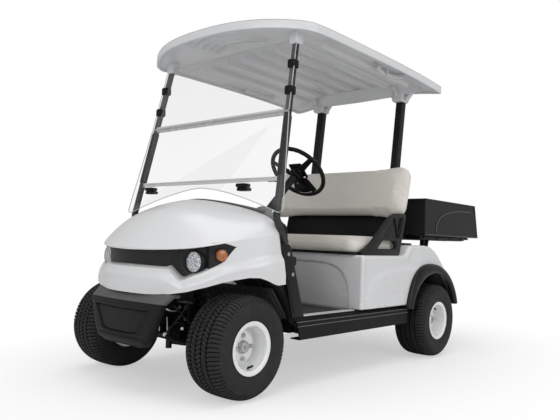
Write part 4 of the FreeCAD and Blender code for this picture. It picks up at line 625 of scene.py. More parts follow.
@dataclass(frozen=True)
class TyreRubber:
    """Matt tyre rubber with painted shade in its grooves, road dust and fine mould lines on the side walls."""

    name: str
    colour: tuple[float, float, float] = (0.0012, 0.0012, 0.0012)
    dust: tuple[float, float, float] = (0.049, 0.048, 0.047)

    def make(self) -> bpy.types.Material:
        """Build the material.

        A point is in a groove where its distance from the nearer axle is 2.6 mm to 6 mm less than the tread's
        radius, WHEEL_Z - 0.0136 (d / 0.0925)^5 at the distance d from the tyre's middle plane.
        """
        g = Graph(self.name)
        cloud = g.noise(24.0, 6.0, 0.65)
        speckle = g.noise(260.0, 3.0, 0.6)
        dusty = cloud.step(0.42, 0.80) * 0.40 + speckle.step(0.55, 0.85) * 0.15
        along = g.axis("X") - (AXLE_X + REAR_X / 2)
        reach = along.math("ABSOLUTE") - abs(REAR_X) / 2
        drop = g.axis("Z") - WHEEL_Z
        radius = (reach * reach + drop * drop).math("SQRT")
        plane = 0.4975 - along.step(-0.001, 0.001) * 0.045
        aside = (g.axis("Y").math("ABSOLUTE") - plane).math("ABSOLUTE")
        level = radius + (aside * (1 / 0.0925)) ** 5.0 * 0.0136 - WHEEL_Z
        # Painted shade: the grooves keep the bare dark rubber, while outside them the colour is lifted towards the
        # dust colour by at least 0.38.
        groove = (1.0 - level.step(-0.0060, -0.0026)) * (1.0 - aside.step(0.088, 0.096))
        pale = (1.0 - groove) * (dusty * 0.60 + 0.38)
        g.set(Base_Color=g.mix(pale, self.colour, self.dust), Roughness=cloud * 0.16 + 0.56,
              Specular_IOR_Level=0.22, Normal=g.bump(speckle, 0.18, 0.0005))
        return g.material


@dataclass(frozen=True)
class Painted:
    """Painted or powder-coated steel with a fine peel, worn a little in scattered patches."""

    name: str
    colour: tuple[float, float, float]
    rough: float = 0.38
    metal: float = 0.0
    wear: float = 0.15
    peel: float = 0.10

    def make(self) -> bpy.types.Material:
        """Build the material."""
        g = Graph(self.name)
        cloud = g.noise(11.0, 5.0, 0.65)
        rub = g.noise(60.0, 6.0, 0.8).step(0.60, 0.82) * self.wear
        g.set(Base_Color=g.mix(rub + cloud * 0.2, self.colour, shade(self.colour, 1.8)), Metallic=self.metal,
              Specular_IOR_Level=0.26,
              Roughness=cloud * 0.16 + (self.rough - 0.08) + rub * 0.3,
              Normal=g.bump(g.noise(700.0, 2.0), self.peel, 0.0004))
        return g.material


@dataclass(frozen=True)
class BareMetal:
    """Bare or plated metal with brushed or cast marks."""

    name: str
    colour: tuple[float, float, float]
    rough: float = 0.28
    stretch: tuple[float, float, float] = (1.0, 1.0, 1.0)

    def make(self) -> bpy.types.Material:
        """Build the material."""
        g = Graph(self.name)
        marks = g.noise(240.0, 5.0, 0.7, self.stretch)
        tarnish = g.noise(16.0, 4.0, 0.6).step(0.40, 0.85)
        g.set(Base_Color=g.mix(tarnish * 0.6, self.colour, shade(self.colour, 0.72)), Metallic=1.0,
              Roughness=marks * 0.12 + tarnish * 0.12 + (self.rough - 0.08),
              Normal=g.bump(marks, 0.12, 0.0003))
        return g.material


@dataclass(frozen=True)
class Vinyl:
    """Soft seat vinyl: leather-like cells with creases between them and a faint warm mottle."""

    name: str
    colour: tuple[float, float, float]

    def make(self) -> bpy.types.Material:
        """Build the material."""
        g = Graph(self.name)
        crease = g.cells(520.0, "DISTANCE_TO_EDGE").step(0.0, 0.16)
        mottle = g.noise(9.0, 4.0, 0.6)
        g.set(Base_Color=g.mix(mottle * 0.5 + (1.0 - crease) * 0.25, self.colour, shade(self.colour, 0.80)),
              Roughness=mottle * 0.12 + 0.44 + (1.0 - crease) * 0.12, Specular_IOR_Level=0.42, Sheen_Weight=0.08,
              Sheen_Roughness=0.4,
              Normal=g.bump(crease, 0.22, 0.0004, g.bump(g.noise(26.0, 3.0), 0.14, 0.0016)))
        return g.material


@dataclass(frozen=True)
class ClearSheet:
    """Clear plastic sheet: it passes light with a faint grey and shines at a slant."""

    name: str
    tint: float = 0.982

    def make(self) -> bpy.types.Material:
        """Build the material."""
        g = Graph(self.name)
        smear = g.noise(5.0, 4.0, 0.6)
        g.set(Base_Color=(0.50, 0.50, 0.52, 1.0), Roughness=smear * 0.06 + 0.03)
        through_light = g.node("ShaderNodeBsdfTransparent", None, {"Color": (self.tint, self.tint, self.tint, 1.0)})
        slant = Value(g, g.node("ShaderNodeFresnel", None, {"IOR": 1.30}).outputs[0])
        share = (slant * 0.16 + smear * 0.006).math("MINIMUM", 0.3)
        g.blend(share, through_light, g.shader)
        return g.material


@dataclass(frozen=True)
class LampGlass:
    """Moulded lamp lens with small prisms, whose colour is painted bright in each prism's middle and dark at its edges
    as a glint.
    """

    name: str
    colour: tuple[float, float, float]
    clear: float = 0.6

    def make(self) -> bpy.types.Material:
        """Build the material."""
        g = Graph(self.name)
        prisms = g.cells(150.0)
        # Painted glint: the colour runs from 1.15 times the lens colour in each prism's middle to 0.55 times at its
        # edges.
        g.set(Base_Color=g.mix(prisms.step(0.0, 0.9), shade(self.colour, 1.15), shade(self.colour, 0.55)),
              Roughness=0.08, Coat_Weight=0.6, Coat_Roughness=0.03, Normal=g.bump(prisms, 0.5, 0.002))
        if self.clear > 0:
            clear = g.node("ShaderNodeBsdfTransparent", None, {"Color": (0.96, 0.97, 0.98, 1.0)})
            g.blend(1.0 - prisms.step(0.1, 0.9) * self.clear, clear, g.shader)
        return g.material


class Finish(Enum):
    """The finishes that the cart's pieces wear."""

    BODY = Gelcoat("white_gelcoat", (0.665, 0.67, 0.68), 0.26, 0.02)
    ROOF = Gelcoat("canopy_grey", (0.62, 0.627, 0.64), 0.42, 0.0)
    RIM = Gelcoat("wheel_white", (0.80, 0.805, 0.81), 0.26, 0.08)
    BLACK = Moulded("grained_black", (0.0035, 0.0035, 0.0039), 0.46)
    FLARE = Moulded("flare_black", (0.0110, 0.0110, 0.0116), 0.24, 1400.0, 0.12, 0.05)
    BUMPER = Moulded("bumper_black", (0.0080, 0.0080, 0.0084), 0.48)
    # Lighter grey painted on the bumper's top ledge as a highlight of the light from above.
    LEDGE_HIGHLIGHT = Moulded("ledge_painted_highlight", (0.0850, 0.0850, 0.0860), 0.50)
    BAND = Moulded("lamp_band_black", (0.0170, 0.0170, 0.0178), 0.34, 1400.0, 0.15, 0.05)
    GREY = Moulded("dash_grey", (0.20, 0.202, 0.206), 0.55)
    MAT = Moulded("floor_mat", (0.055, 0.055, 0.056), 0.75, 500.0, 0.6, 0.15)
    BOX = Moulded("box_black", (0.0150, 0.0150, 0.0158), 0.44, 700.0, 0.4, 0.15)
    TYRE = TyreRubber("tyre_rubber_black")
    FRAME = Painted("frame_black", (0.0040, 0.0040, 0.0044), 0.42)
    POST = Painted("post_black", (0.0060, 0.0060, 0.0064), 0.36)
    CAST = Painted("cast_black", (0.0095, 0.0095, 0.0100), 0.36, 0.0, 0.2, 0.25)
    HUB = BareMetal("hub_silver", (0.50, 0.50, 0.51), 0.30)
    BOLT = BareMetal("bolt_zinc", (0.55, 0.55, 0.56), 0.32)
    STRUT = Painted("strut_grey", (0.040, 0.040, 0.042), 0.28, 0.35)
    # Grey for trim; the same grey also paints highlight lines on the rocker edges.
    TRIM_AND_HIGHLIGHT = Painted("trim_grey_and_edge_highlight", (0.110, 0.110, 0.112), 0.36)
    RAIL = Painted("rail_silver", (0.62, 0.625, 0.63), 0.28, 0.25)
    SILL = BareMetal("sill_plate", (0.80, 0.80, 0.81), 0.34, (0.05, 1.0, 1.0))
    VINYL = Vinyl("seat_vinyl_stone", (0.70, 0.675, 0.620))
    PANE = ClearSheet("clear_sheet")
    # Opaque grey painted on the clear panes' edges for the shine they show.
    EDGE_SHINE = Gelcoat("sheet_edge_painted_shine", (0.50, 0.51, 0.52), 0.30, 0.0)
    LAMP = LampGlass("lamp_clear", (0.72, 0.75, 0.78), 0.65)
    AMBER = LampGlass("lamp_amber", (0.47, 0.150, 0.040), 0.0)


class Paintbox:
    """Makes each finish's material once."""

    made: dict[Finish, bpy.types.Material] = {}

    @classmethod
    def get(cls, finish: Finish) -> bpy.types.Material:
        """Return a finish's material."""
        if finish not in cls.made:
            cls.made[finish] = finish.value.make()
        return cls.made[finish]


def bolt(surface: Surface, place: Sequence[float], axis: Sequence[float], radius: float = 0.008,
         height: float = 0.005) -> None:
    """Add a hexagon head on its washer, turned about its axis."""
    washer = [(0.0, 0.0), (0.0, radius * 1.5), (height * 0.25, radius * 1.5), (height * 0.25, 0.0)]
    surface.lathe(np.array(washer), place, axis, 16, closed=False)
    head = [(0.0, 0.0), (0.0, radius), (height * 0.8, radius), (height, radius * 0.85), (height, 0.0)]
    surface.lathe(np.array(head), place, axis, 6, closed=False)


# Wheels

@dataclass
class Wheel:
    """A tyre with blocks and wavy grooves on a deep white rim."""

    name: str
    body: str
    x: float
    y: float
    side: int
    valve: float = -97.0
    pitches: int = 74
    groove_depth: float = 0.0085

    def tyre(self) -> None:
        """Build the tyre on a grid whose lines follow the tread's grooves.

        The cross grooves run at angle = phase - 0.42 sin(2 pi y / 0.066) pitches on the tread and straight over the
        shoulders, and the long grooves run at the lanes.
        """
        lanes = np.array([0.0165, 0.0495])
        steps = (-0.0042, -0.0030, 0.0030, 0.0042, 0.0150)
        tread = np.array([0.0, 0.008] + [lane + step for lane in lanes for step in steps])
        knots = [(0.0, WHEEL_Z), (0.030, 0.2283), (0.058, 0.2268), (0.078, 0.2232), (0.0925, 0.2150),
                 (0.1015, 0.2020), (0.1062, 0.1840), (0.1072, 0.1660), (0.1045, 0.1480), (0.0985, 0.1330),
                 (0.0945, 0.1225)]
        line = through(knots, 200)
        radius = np.interp(tread, line[:, 0], line[:, 1])
        at = stations(line)
        start = np.interp(tread[-1], line[:, 0], at)
        side = sample(line, at, np.linspace(start, at[-1], 21)[1:])
        half = np.vstack([np.column_stack([tread, radius]), side, [[0.0915, 0.1190], [0.0915, 0.1045]]])
        section = np.vstack([half, half[::-1] * [-1, 1]])
        y, r = section[:, 0], section[:, 1]
        shares, floor = np.array([0.0, 0.19, 0.23, 0.595, 0.96]), np.array([1.0, 1.0, 0.0, 0.0, 0.0])
        phase = ((np.arange(self.pitches)[:, None] + shares[None, :]) / self.pitches).ravel() * 2 * math.pi
        cross = np.tile(floor, self.pitches)
        outer = smooth(0.196, 0.203, r)
        wave = 0.066
        weave = 0.42 * np.sin(2 * math.pi * np.clip(y, -wave, wave) / wave)
        angle = phase[:, None] - outer * weave * 2 * math.pi / self.pitches
        on_tread = 1.0 - smooth(0.072, 0.086, np.abs(y))
        long_groove = (np.min(np.abs(np.abs(y)[:, None] - lanes[None]), axis=1) < 0.0033) * (r > 0.2)
        depth = self.groove_depth * np.maximum(long_groove[None, :], cross[:, None] * outer[None, :])
        rings = 0.0006 * np.sin((r - 0.13) * 2 * math.pi / 0.009)
        rings *= smooth(0.128, 0.134, r) * (1 - smooth(0.150, 0.156, r))
        rings += 0.0022 * np.exp(-((r - 0.1400) / 0.0035) ** 2)
        swell = rings * np.sign(y) * (np.abs(y) > 0.06)
        radial = r[None, :] - depth * (0.35 + 0.65 * on_tread)[None, :]
        wide = y[None, :] + swell[None, :] - depth * 0.75 * (1 - on_tread)[None, :] * np.sign(y)[None, :]
        points = np.stack([radial * np.sin(angle), wide * np.ones_like(angle), radial * np.cos(angle)], axis=-1)
        surface = Surface().grid(points + [self.x, self.y, WHEEL_Z], wrap_u=True, wrap_v=True)
        surface.fit("tread_" + self.name, Finish.TYRE, 28.0, "tyre_" + self.name, "tyre_rubber", self.body)

    def rim(self) -> None:
        """Turn the rim, its hub cap and the valve, and set four nuts on the disc."""
        s = self.side
        corners = [(0.0975, 0.1188), (0.0945, 0.1188), (0.0925, 0.1145), (0.0925, 0.1014), (0.070, 0.1010),
                   (0.058, 0.0975), (-0.058, 0.0975), (-0.070, 0.1010), (-0.0925, 0.1014), (-0.0925, 0.1145),
                   (-0.0945, 0.1188), (-0.0975, 0.1188), (-0.0975, 0.1110), (-0.0935, 0.0972), (-0.070, 0.0965),
                   (-0.058, 0.0935), (0.004, 0.0935), (0.0135, 0.0900), (0.0315, 0.0660), (0.0315, 0.034),
                   (-0.010, 0.034), (-0.010, 0.0126), (0.036, 0.0126), (0.036, 0.0650), (0.0300, 0.0745),
                   (0.0165, 0.0915), (0.020, 0.0935), (0.058, 0.0938), (0.070, 0.0965), (0.0935, 0.0972),
                   (0.0975, 0.1110)]
        profile = rounded(corners, 0.004, 4) * [s, 1.0]
        centre = (self.x, self.y, WHEEL_Z)
        surface = Surface().lathe(profile, centre, (0, 1, 0), 72)
        surface.fit("bowl_" + self.name, Finish.RIM, 40.0, "rim_" + self.name, "rim_paint", self.body)
        metal = Surface()
        cap = rounded([(0.0365, 0.0), (0.0365, 0.030), (0.0525, 0.027), (0.0585, 0.0215), (0.0585, 0.0)], 0.003, 4)
        metal.lathe(cap * [s, 1.0], centre, (0, 1, 0), 40)
        metal.lathe(rounded([(0.058, 0.0), (0.058, 0.009), (0.063, 0.008), (0.063, 0.0)], 0.002, 3) * [s, 1.0],
                    centre, (0, 1, 0), 24)
        for turn in range(4):
            angle = math.pi / 2 * turn
            place = (self.x + 0.0508 * math.cos(angle), self.y, WHEEL_Z + 0.0508 * math.sin(angle))
            nut = [(0.034, 0.0), (0.036, 0.0105), (0.048, 0.0095), (0.0515, 0.006), (0.0515, 0.0)]
            metal.lathe(np.array(nut) * [s, 1.0], place, (0, 1, 0), 6, closed=False)
        metal.fit("hub_cap_" + self.name, Finish.HUB, 30.0, body=self.body)
        angle = math.radians(self.valve)
        root = np.array([math.cos(angle) * 0.0925, 0.0, math.sin(angle) * 0.0925])
        tip = np.array([math.cos(angle) * 0.0800, s * 0.022, math.sin(angle) * 0.0800])
        base = np.array([self.x, self.y + s * 0.064, WHEEL_Z])
        stem = Surface().tube([base + root, base + root * 0.95 + [0, s * 0.004, 0], base + tip], 0.0052, 12, 8,
                              (0.3, 0.1, 1.0))
        stem.lathe(np.array([(0, 0), (0, 0.0045), (0.011, 0.0042), (0.012, 0.0)]), base + tip, tip - root, 12, False)
        stem.fit("valve_" + self.name, Finish.BLACK, body=self.body)

    def build(self) -> None:
        """Build the whole wheel."""
        self.tyre()
        self.rim()


# Front body

@dataclass
class Cowl:
    """Hood and fascia: a crowned top, a wing crease over the wheels and an opening for the lamp band."""

    half: float = 0.541
    nose: float = 0.286
    straight: float = -0.15
    rear: float = -0.30
    swell: float = 0.0135
    headlamp: tuple[float, float] = (0.3275, 0.594)
    amber_z: float = 0.627

    def plan(self, count: int = 220, rear_count: int = 22) -> tuple[Array, Array]:
        """Return the plan outline and its outward normals.

        The nose is half an ellipse (cos a, sin a) about the straight sides' front, and the sides run straight back.
        """
        a = np.radians(np.linspace(-90, 90, count))
        curve = np.stack([self.straight + (self.nose - self.straight) * np.cos(a), self.half * np.sin(a)], axis=1)
        normal = unit(np.stack([np.cos(a) / (self.nose - self.straight), np.sin(a) / self.half], axis=1))
        back = np.linspace(self.rear, self.straight, rear_count, endpoint=False)
        right = np.stack([back, np.full_like(back, -self.half)], axis=1)
        left = right[::-1] * [1.0, -1.0]
        outline = np.vstack([right, curve, left])
        side = np.tile([0.0, 1.0], (rear_count, 1))
        return outline, np.vstack([-side, normal, side])

    def top_level(self, x: Array, y: Array) -> Array:
        """Return the hood's height: a crown of |y|^1.5, a shoulder |y|^22 and a dip to the lip at the nose."""
        share = np.clip(np.abs(y) / self.half, 0.0, 1.0)
        edge = self.straight + (self.nose - self.straight) * np.sqrt(1 - share ** 2)
        back = -0.33
        along = (x - back) / np.maximum(edge - back, 1e-6)
        crown = HOOD_TOP - CROWN_FALL * share ** 1.5 - 0.078 * (1 - np.sqrt(np.clip(1 - share ** 22, 0.0, 1.0)))
        lip = 0.645 + 0.082 * share ** 4
        dip = np.clip((along - 0.32) / 0.68, 0.0, 1.0)
        return crown - np.maximum(0.0, crown - lip) * dip ** 2.1

    @staticmethod
    def band_top(y: Array) -> Array:
        """Return the lamp band's upper edge at a distance from the middle."""
        return np.interp(np.abs(y), [0, 0.15, 0.247, 0.326, 0.398, 0.450, 0.480, 0.6],
                         [0.637, 0.640, 0.645, 0.657, 0.670, 0.681, 0.667, 0.667])

    @staticmethod
    def band_low(y: Array) -> Array:
        """Return the lamp band's lower edge at a distance from the middle."""
        return np.interp(np.abs(y), [0, 0.240, 0.252, 0.290, 0.300, 0.384, 0.448, 0.480, 0.6],
                         [0.577, 0.575, 0.566, 0.527, 0.524, 0.566, 0.612, 0.667, 0.667])

    @staticmethod
    def chamfer(y: Array) -> Array:
        """Return the height of the bevel under the lamp band, which runs out at its tips."""
        return 0.017 * (1 - smooth(0.440, 0.480, np.abs(y)))

    @staticmethod
    def run(outline: Array) -> Array:
        """Return each outline point's signed station: |y| on the nose, then growing as the side runs back."""
        return np.abs(outline[:, 1]) + np.maximum(0.0, -0.15 - outline[:, 0])

    @staticmethod
    def crease_level(station: Array) -> Array:
        """Return the wing crease's height by station."""
        return np.interp(station, [0, 0.20, 0.27, 0.31, 0.38, 0.46, 0.52, 0.541, 0.60, 0.70],
                         [0.560, 0.556, 0.536, 0.517, 0.545, 0.592, 0.622, 0.640, 0.655, 0.662])

    @staticmethod
    def low_level(outline: Array) -> Array:
        """Return the lower edge: the fascia's foot, the arch over the wheel and the foot behind it."""
        y, x = np.abs(outline[:, 1]), outline[:, 0]
        front = np.interp(y, [0, 0.149, 0.262, 0.333, 0.402, 0.459, 0.498],
                          [0.442, 0.442, 0.450, 0.465, 0.490, 0.516, 0.529])
        back = np.interp(-x, [-0.02, 0.001, 0.052, 0.089, 0.135, 0.160, 0.21, 0.30],
                         [0.529, 0.533, 0.532, 0.521, 0.502, 0.497, 0.500, 0.502])
        return np.where(x > 0.02, front, back)

    def wall(self, outline: Array, normal: Array, level: Array) -> Array:
        """Return points of the upright skin at given levels, shape (rows, columns, 3).

        Below the crease the skin steps out by swell over 45 mm, by 12 mm more at the headlamps, and it draws in
        again by 6 mm over the last 50 mm above its foot.
        """
        crease = self.crease_level(self.run(outline))[None, :]
        low = self.low_level(outline)[None, :]
        station = self.run(outline)[None, :]
        full = self.swell + 0.012 * smooth(0.20, 0.34, station) * (1 - smooth(0.44, 0.53, station))
        out = full * smooth(0.0, 0.045, crease - level)
        out = out - 0.006 * smooth(0.0, 1.0, 1 - (level - low) / 0.05)
        flat = outline[None, :, :] + out[..., None] * normal[None, :, :]
        return np.concatenate([flat, level[..., None]], axis=-1)

    @staticmethod
    def cut(work: bmesh.types.BMesh) -> None:
        """Cut off what lies behind the slanted rear edge."""
        slope = (0.211 + HOOD_REAR) / (HOOD_TOP - 0.500)
        normal = Vector((-1.0, 0.0, slope)).normalized()
        point = Vector((AXLE_X + HOOD_REAR, 0.0, HOOD_TOP))
        geometry = work.verts[:] + work.edges[:] + work.faces[:]
        bmesh.ops.bisect_plane(work, geom=geometry, dist=1e-6, plane_co=point, plane_no=normal, clear_outer=True)

    def skin(self) -> None:
        """Build the hood, the lip, the lower skin and the returns round the lamp band."""
        outline, normal = self.plan()
        surface = Surface()
        centre = np.array([-0.19, 0.0])
        share = 1.0 - (1.0 - np.linspace(0.04, 1.0, 42)) ** 2.3
        flat = centre + share[:, None, None] * (outline - centre)[None]
        height = self.top_level(flat[..., 0], flat[..., 1])
        surface.grid(np.concatenate([flat, height[..., None]], axis=-1))
        y = outline[:, 1]
        on_nose = outline[:, 0] > self.straight
        top = height[-1]
        upper = np.minimum(np.where(on_nose, self.band_top(y), 0.667), top - 0.003)
        lower = np.minimum(np.where(on_nose, self.band_low(y), 0.667), upper) - self.chamfer(y)
        rows = np.linspace(0.0, 1.0, 8)[:, None]
        surface.grid(self.wall(outline, normal, top[None] + (upper - top)[None] * rows))
        foot = self.low_level(outline)
        rows = np.linspace(0.0, 1.0, 38)[:, None]
        below = self.wall(outline, normal, lower[None] + (foot - lower)[None] * rows)
        surface.grid(below)
        lip = below[-1].copy()
        inner = lip.copy()
        inner[:, :2] -= normal * 0.011
        inner[:, 2] += 0.002
        surface.grid(np.stack([lip, inner]))
        inside = np.abs(y) < 0.482
        for level, back, lift in ((upper, 0.034, -0.003 + 0.0 * y), (lower, 0.058, self.chamfer(y) + 0.010)):
            edge = self.wall(outline, normal, level[None])[0]
            deep = edge - np.column_stack([normal * back, -lift])
            deep[:, 0] = np.minimum(deep[:, 0], edge[:, 0] - back * 0.6)
            surface.grid(np.stack([edge, edge * 0.96 + deep * 0.04, deep])[:, inside])
        thing = surface.piece("cowl_skin", Paintbox.get(Finish.BODY), 34.0, weld=1e-4, outward=False)
        with editing(thing.data) as work:
            self.cut(work)
            bmesh.ops.recalc_face_normals(work, faces=work.faces)
            face_up(work, 0.8)
        thicken(thing, 0.0035)
        settle(thing, "chassis", ["front_cowl"], "body_paint")
        seal = np.linspace(-0.527, 0.527, 90)
        level = self.top_level(np.full_like(seal, -0.128), seal)
        section = rounded([(-0.006, -0.006), (0.006, -0.006), (0.006, 0.004), (-0.006, 0.004)], 0.003, 4)
        strip = Surface().sweep(np.stack([hood_rear(level) - 0.002, seal, level - 0.001], axis=1), section)
        strip.fit("hood_seal", Finish.BLACK)

    def band(self) -> None:
        """Build the dark lamp band: a sunk panel in its middle, a deep bay for each headlamp and a shallow end."""
        y = np.linspace(-0.490, 0.490, 240)
        edge = self.straight + (self.nose - self.straight) * np.sqrt(1 - (y / self.half) ** 2)
        low, high = self.band_low(y) - 0.010, self.band_top(y) + 0.008
        level = low[None] + (high - low)[None] * np.linspace(0.0, 1.0, 46)[:, None]
        wide = np.broadcast_to(y[None], level.shape)
        slant = np.abs(wide) - (0.240 - (0.640 - level) * 0.30)
        face = edge[None] - 0.026 + 0.016 * smooth(0.372, 0.410, np.abs(wide))
        face = face - 0.020 * smooth(-0.004, 0.004, slant) * (1 - smooth(0.360, 0.400, np.abs(wide)))
        for offset, height, radius, floor in ((*self.headlamp, 0.053, 0.146), (0.436, self.amber_z, 0.034, 0.086)):
            near = 1 - smooth(radius - 0.003, radius + 0.003, np.hypot(np.abs(wide) - offset, level - height))
            face = face + (np.minimum(face, floor) - face) * near
        surface = Surface().grid(np.stack([face, wide, level], axis=-1))
        surface.fit("band_panel", Finish.BAND, 50.0, "lamp_band", "black_plastic", outward=False, thickness=0.003)

    def lamps(self) -> None:
        """Build the headlamps with their reflectors, bezels and lenses, and the amber lamps."""
        lens, mirror, amber, back = Surface(), Surface(), Surface(), Surface()
        for side in (1, -1):
            centre, axis = (0.158, self.headlamp[0] * side, self.headlamp[1]), (1.0, 0.06 * side, 0.0)
            r = np.linspace(0.0, 0.0435, 16)
            mirror.lathe(np.column_stack([-0.022 + 0.023 * (r / 0.0435) ** 2, r]), centre, axis, 48, closed=False)
            mirror.lathe(np.array([(-0.02, 0.0), (-0.02, 0.011), (-0.004, 0.010), (0.0, 0.0)]), centre, axis, 24,
                         closed=False)
            dome = np.column_stack([0.003 + 0.010 * np.sqrt(np.clip(1 - (r / 0.0465) ** 2, 0, 1)), r * 1.03])
            flat = np.column_stack([np.full(4, 0.001), np.linspace(0.0444, 0.0, 4)])
            lens.lathe(np.vstack([dome, flat]), centre, axis, 48, closed=False)
            back.lathe(rounded([(-0.030, 0.0450), (0.006, 0.0450), (0.006, 0.0500), (-0.030, 0.0520)], 0.001, 3),
                       centre, axis, 48)
            place, axis = (0.090, 0.431 * side, self.amber_z), (1.0, 0.55 * side, 0.0)
            q = np.linspace(0.0, 0.0265, 10)
            dome = np.column_stack([0.004 + 0.009 * np.sqrt(np.clip(1 - (q / 0.0275) ** 2, 0, 1)), q])
            flat = np.column_stack([np.full(3, -0.010), np.linspace(0.0265, 0.0, 3)])
            amber.lathe(np.vstack([dome, flat]), place, axis, 36, closed=False)
            back.lathe(rounded([(-0.020, 0.0267), (0.005, 0.0267), (0.005, 0.0310), (-0.020, 0.0330)], 0.001, 3),
                       place, axis, 36)
        mirror.fit("headlamp_mirrors", Finish.BOLT, 40.0, outward=False)
        lens.fit("headlamp_lenses", Finish.LAMP, 40.0, "headlamps", "lamp_lens")
        amber.fit("amber_lenses", Finish.AMBER, 40.0, "indicators", "amber_lens")
        back.fit("lamp_bezels", Finish.BAND, 40.0)

    def build(self) -> None:
        """Build the whole front body."""
        self.skin()
        self.band()
        self.lamps()


@dataclass
class Bumper:
    """Dark bumper that narrows downwards, with a sloping ledge on top painted a lighter grey as a highlight, and a
    sunk panel.
    """

    nose: float = 0.3095
    low: float = 0.206
    ledge: float = 0.404
    high: float = 0.446
    half_low: float = 0.178
    half_high: float = 0.266

    def build(self) -> None:
        """Build the face on a grid of width and height.

        The face lies 0.0175 (y / half)^2 behind the nose, the ledge slopes back above it, the lower corners round
        off by a quarter circle, and the ends turn back with the power 34 of the width.
        """
        u = np.sin(np.linspace(-math.pi / 2, math.pi / 2, 132))
        crisp = (self.ledge - self.low) / (self.high - self.low)
        v = np.concatenate([np.linspace(0.0, crisp - 0.014, 62), np.linspace(crisp - 0.007, crisp + 0.007, 5),
                            np.linspace(crisp + 0.014, 1.0, 10)])
        u, v = np.meshgrid(u, v)
        z = self.low + (self.high - self.low) * v
        half = self.half_low + (self.half_high - self.half_low) * np.clip(v / crisp, 0, 1.3) ** 0.85
        corner = np.clip(1 - (z - self.low) / 0.060, 0.0, 1.0)
        half = half - 0.050 * (1 - np.sqrt(1 - corner ** 2))
        y = half * u
        turn = 0.036 * (1 - np.sqrt(np.clip(1 - np.abs(u) ** 34, 0.0, 1.0)))
        x = self.nose - 0.0175 * (y / self.half_high) ** 2 - turn - 0.047 * np.clip((z - self.ledge) / 0.042, 0.0, 1.0)
        x = x - 0.022 * (1 - smooth(self.low, self.low + 0.030, z)) - 0.004 * np.exp(-((z - 0.248) / 0.006) ** 2)
        wide = 0.126 + 0.070 * np.clip((z - 0.262) / 0.108, 0.0, 1.0)
        bottom = 0.262 + 0.008 * (np.abs(y) / 0.13) ** 2.4
        inside = np.minimum(np.minimum(wide - np.abs(y), 0.371 - z), z - bottom)
        x = x - 0.004 * smooth(-0.003, 0.003, inside) - 0.011 * np.exp(-(inside / 0.0036) ** 2)
        x = x + 0.004 * np.exp(-((inside + 0.009) / 0.005) ** 2)
        points = np.stack([x, y, z], axis=-1)
        # Painted highlight: the ledge is the top of the black bumper, given a lighter grey for the light that falls on
        # it from above.
        Surface().grid(points[64:]).fit("bumper_ledge", Finish.LEDGE_HIGHLIGHT, 30.0, outward=False, thickness=0.005)
        surface = Surface().grid(points[:65])
        surface.fit("bumper_moulding", Finish.BUMPER, 30.0, "front_bumper", "black_plastic", weld=1e-6, outward=False,
                    thickness=0.005)


@dataclass
class Liner:
    """Inner fender behind each front wheel, a bowed sheet with two ribs."""

    radius: float = 0.318

    def build(self) -> None:
        """Build both sheets as part of a cylinder about the front axle."""
        for hand, side in HANDS:
            angle = np.radians(np.linspace(104, 166, 40))
            y = np.array([0.246, 0.300, 0.306, 0.330, 0.336, 0.420, 0.426, 0.450, 0.456, 0.528])
            lift = np.array([0.0, 0.0, 0.006, 0.006, 0.0, 0.0, 0.006, 0.006, 0.0, 0.0])
            a, w = np.meshgrid(angle, y)
            r = self.radius + np.broadcast_to(lift[:, None], a.shape)
            points = np.stack([r * np.cos(a), w * side, WHEEL_Z + r * np.sin(a)], axis=-1)
            surface = Surface().grid(points)
            surface.fit("liner_" + hand, Finish.BLACK, 35.0, "wheel_liner_" + hand, "black_plastic", outward=False,
                        thickness=0.003)
            arc = np.radians(np.linspace(102, 161, 40))
            rim = np.column_stack([self.radius * np.cos(arc), WHEEL_Z + self.radius * np.sin(arc)])
            cheek = np.vstack([rim, [(-0.320, 0.345), (-0.215, 0.640), (-0.170, 0.660), (-0.066, 0.600)]])
            flat = Surface().plate([cheek[::-1]], 0.0035, 0.0008, upright(0.5265 if side > 0 else -0.5300))
            bead = np.column_stack([rim[:, 0], np.full(40, 0.5305 * side), rim[:, 1]])
            flat.tube(bead, 0.0030, 8, 0, (0.0, 1.0, 0.0))
            flat.fit("liner_cheek_" + hand, Finish.BLACK)


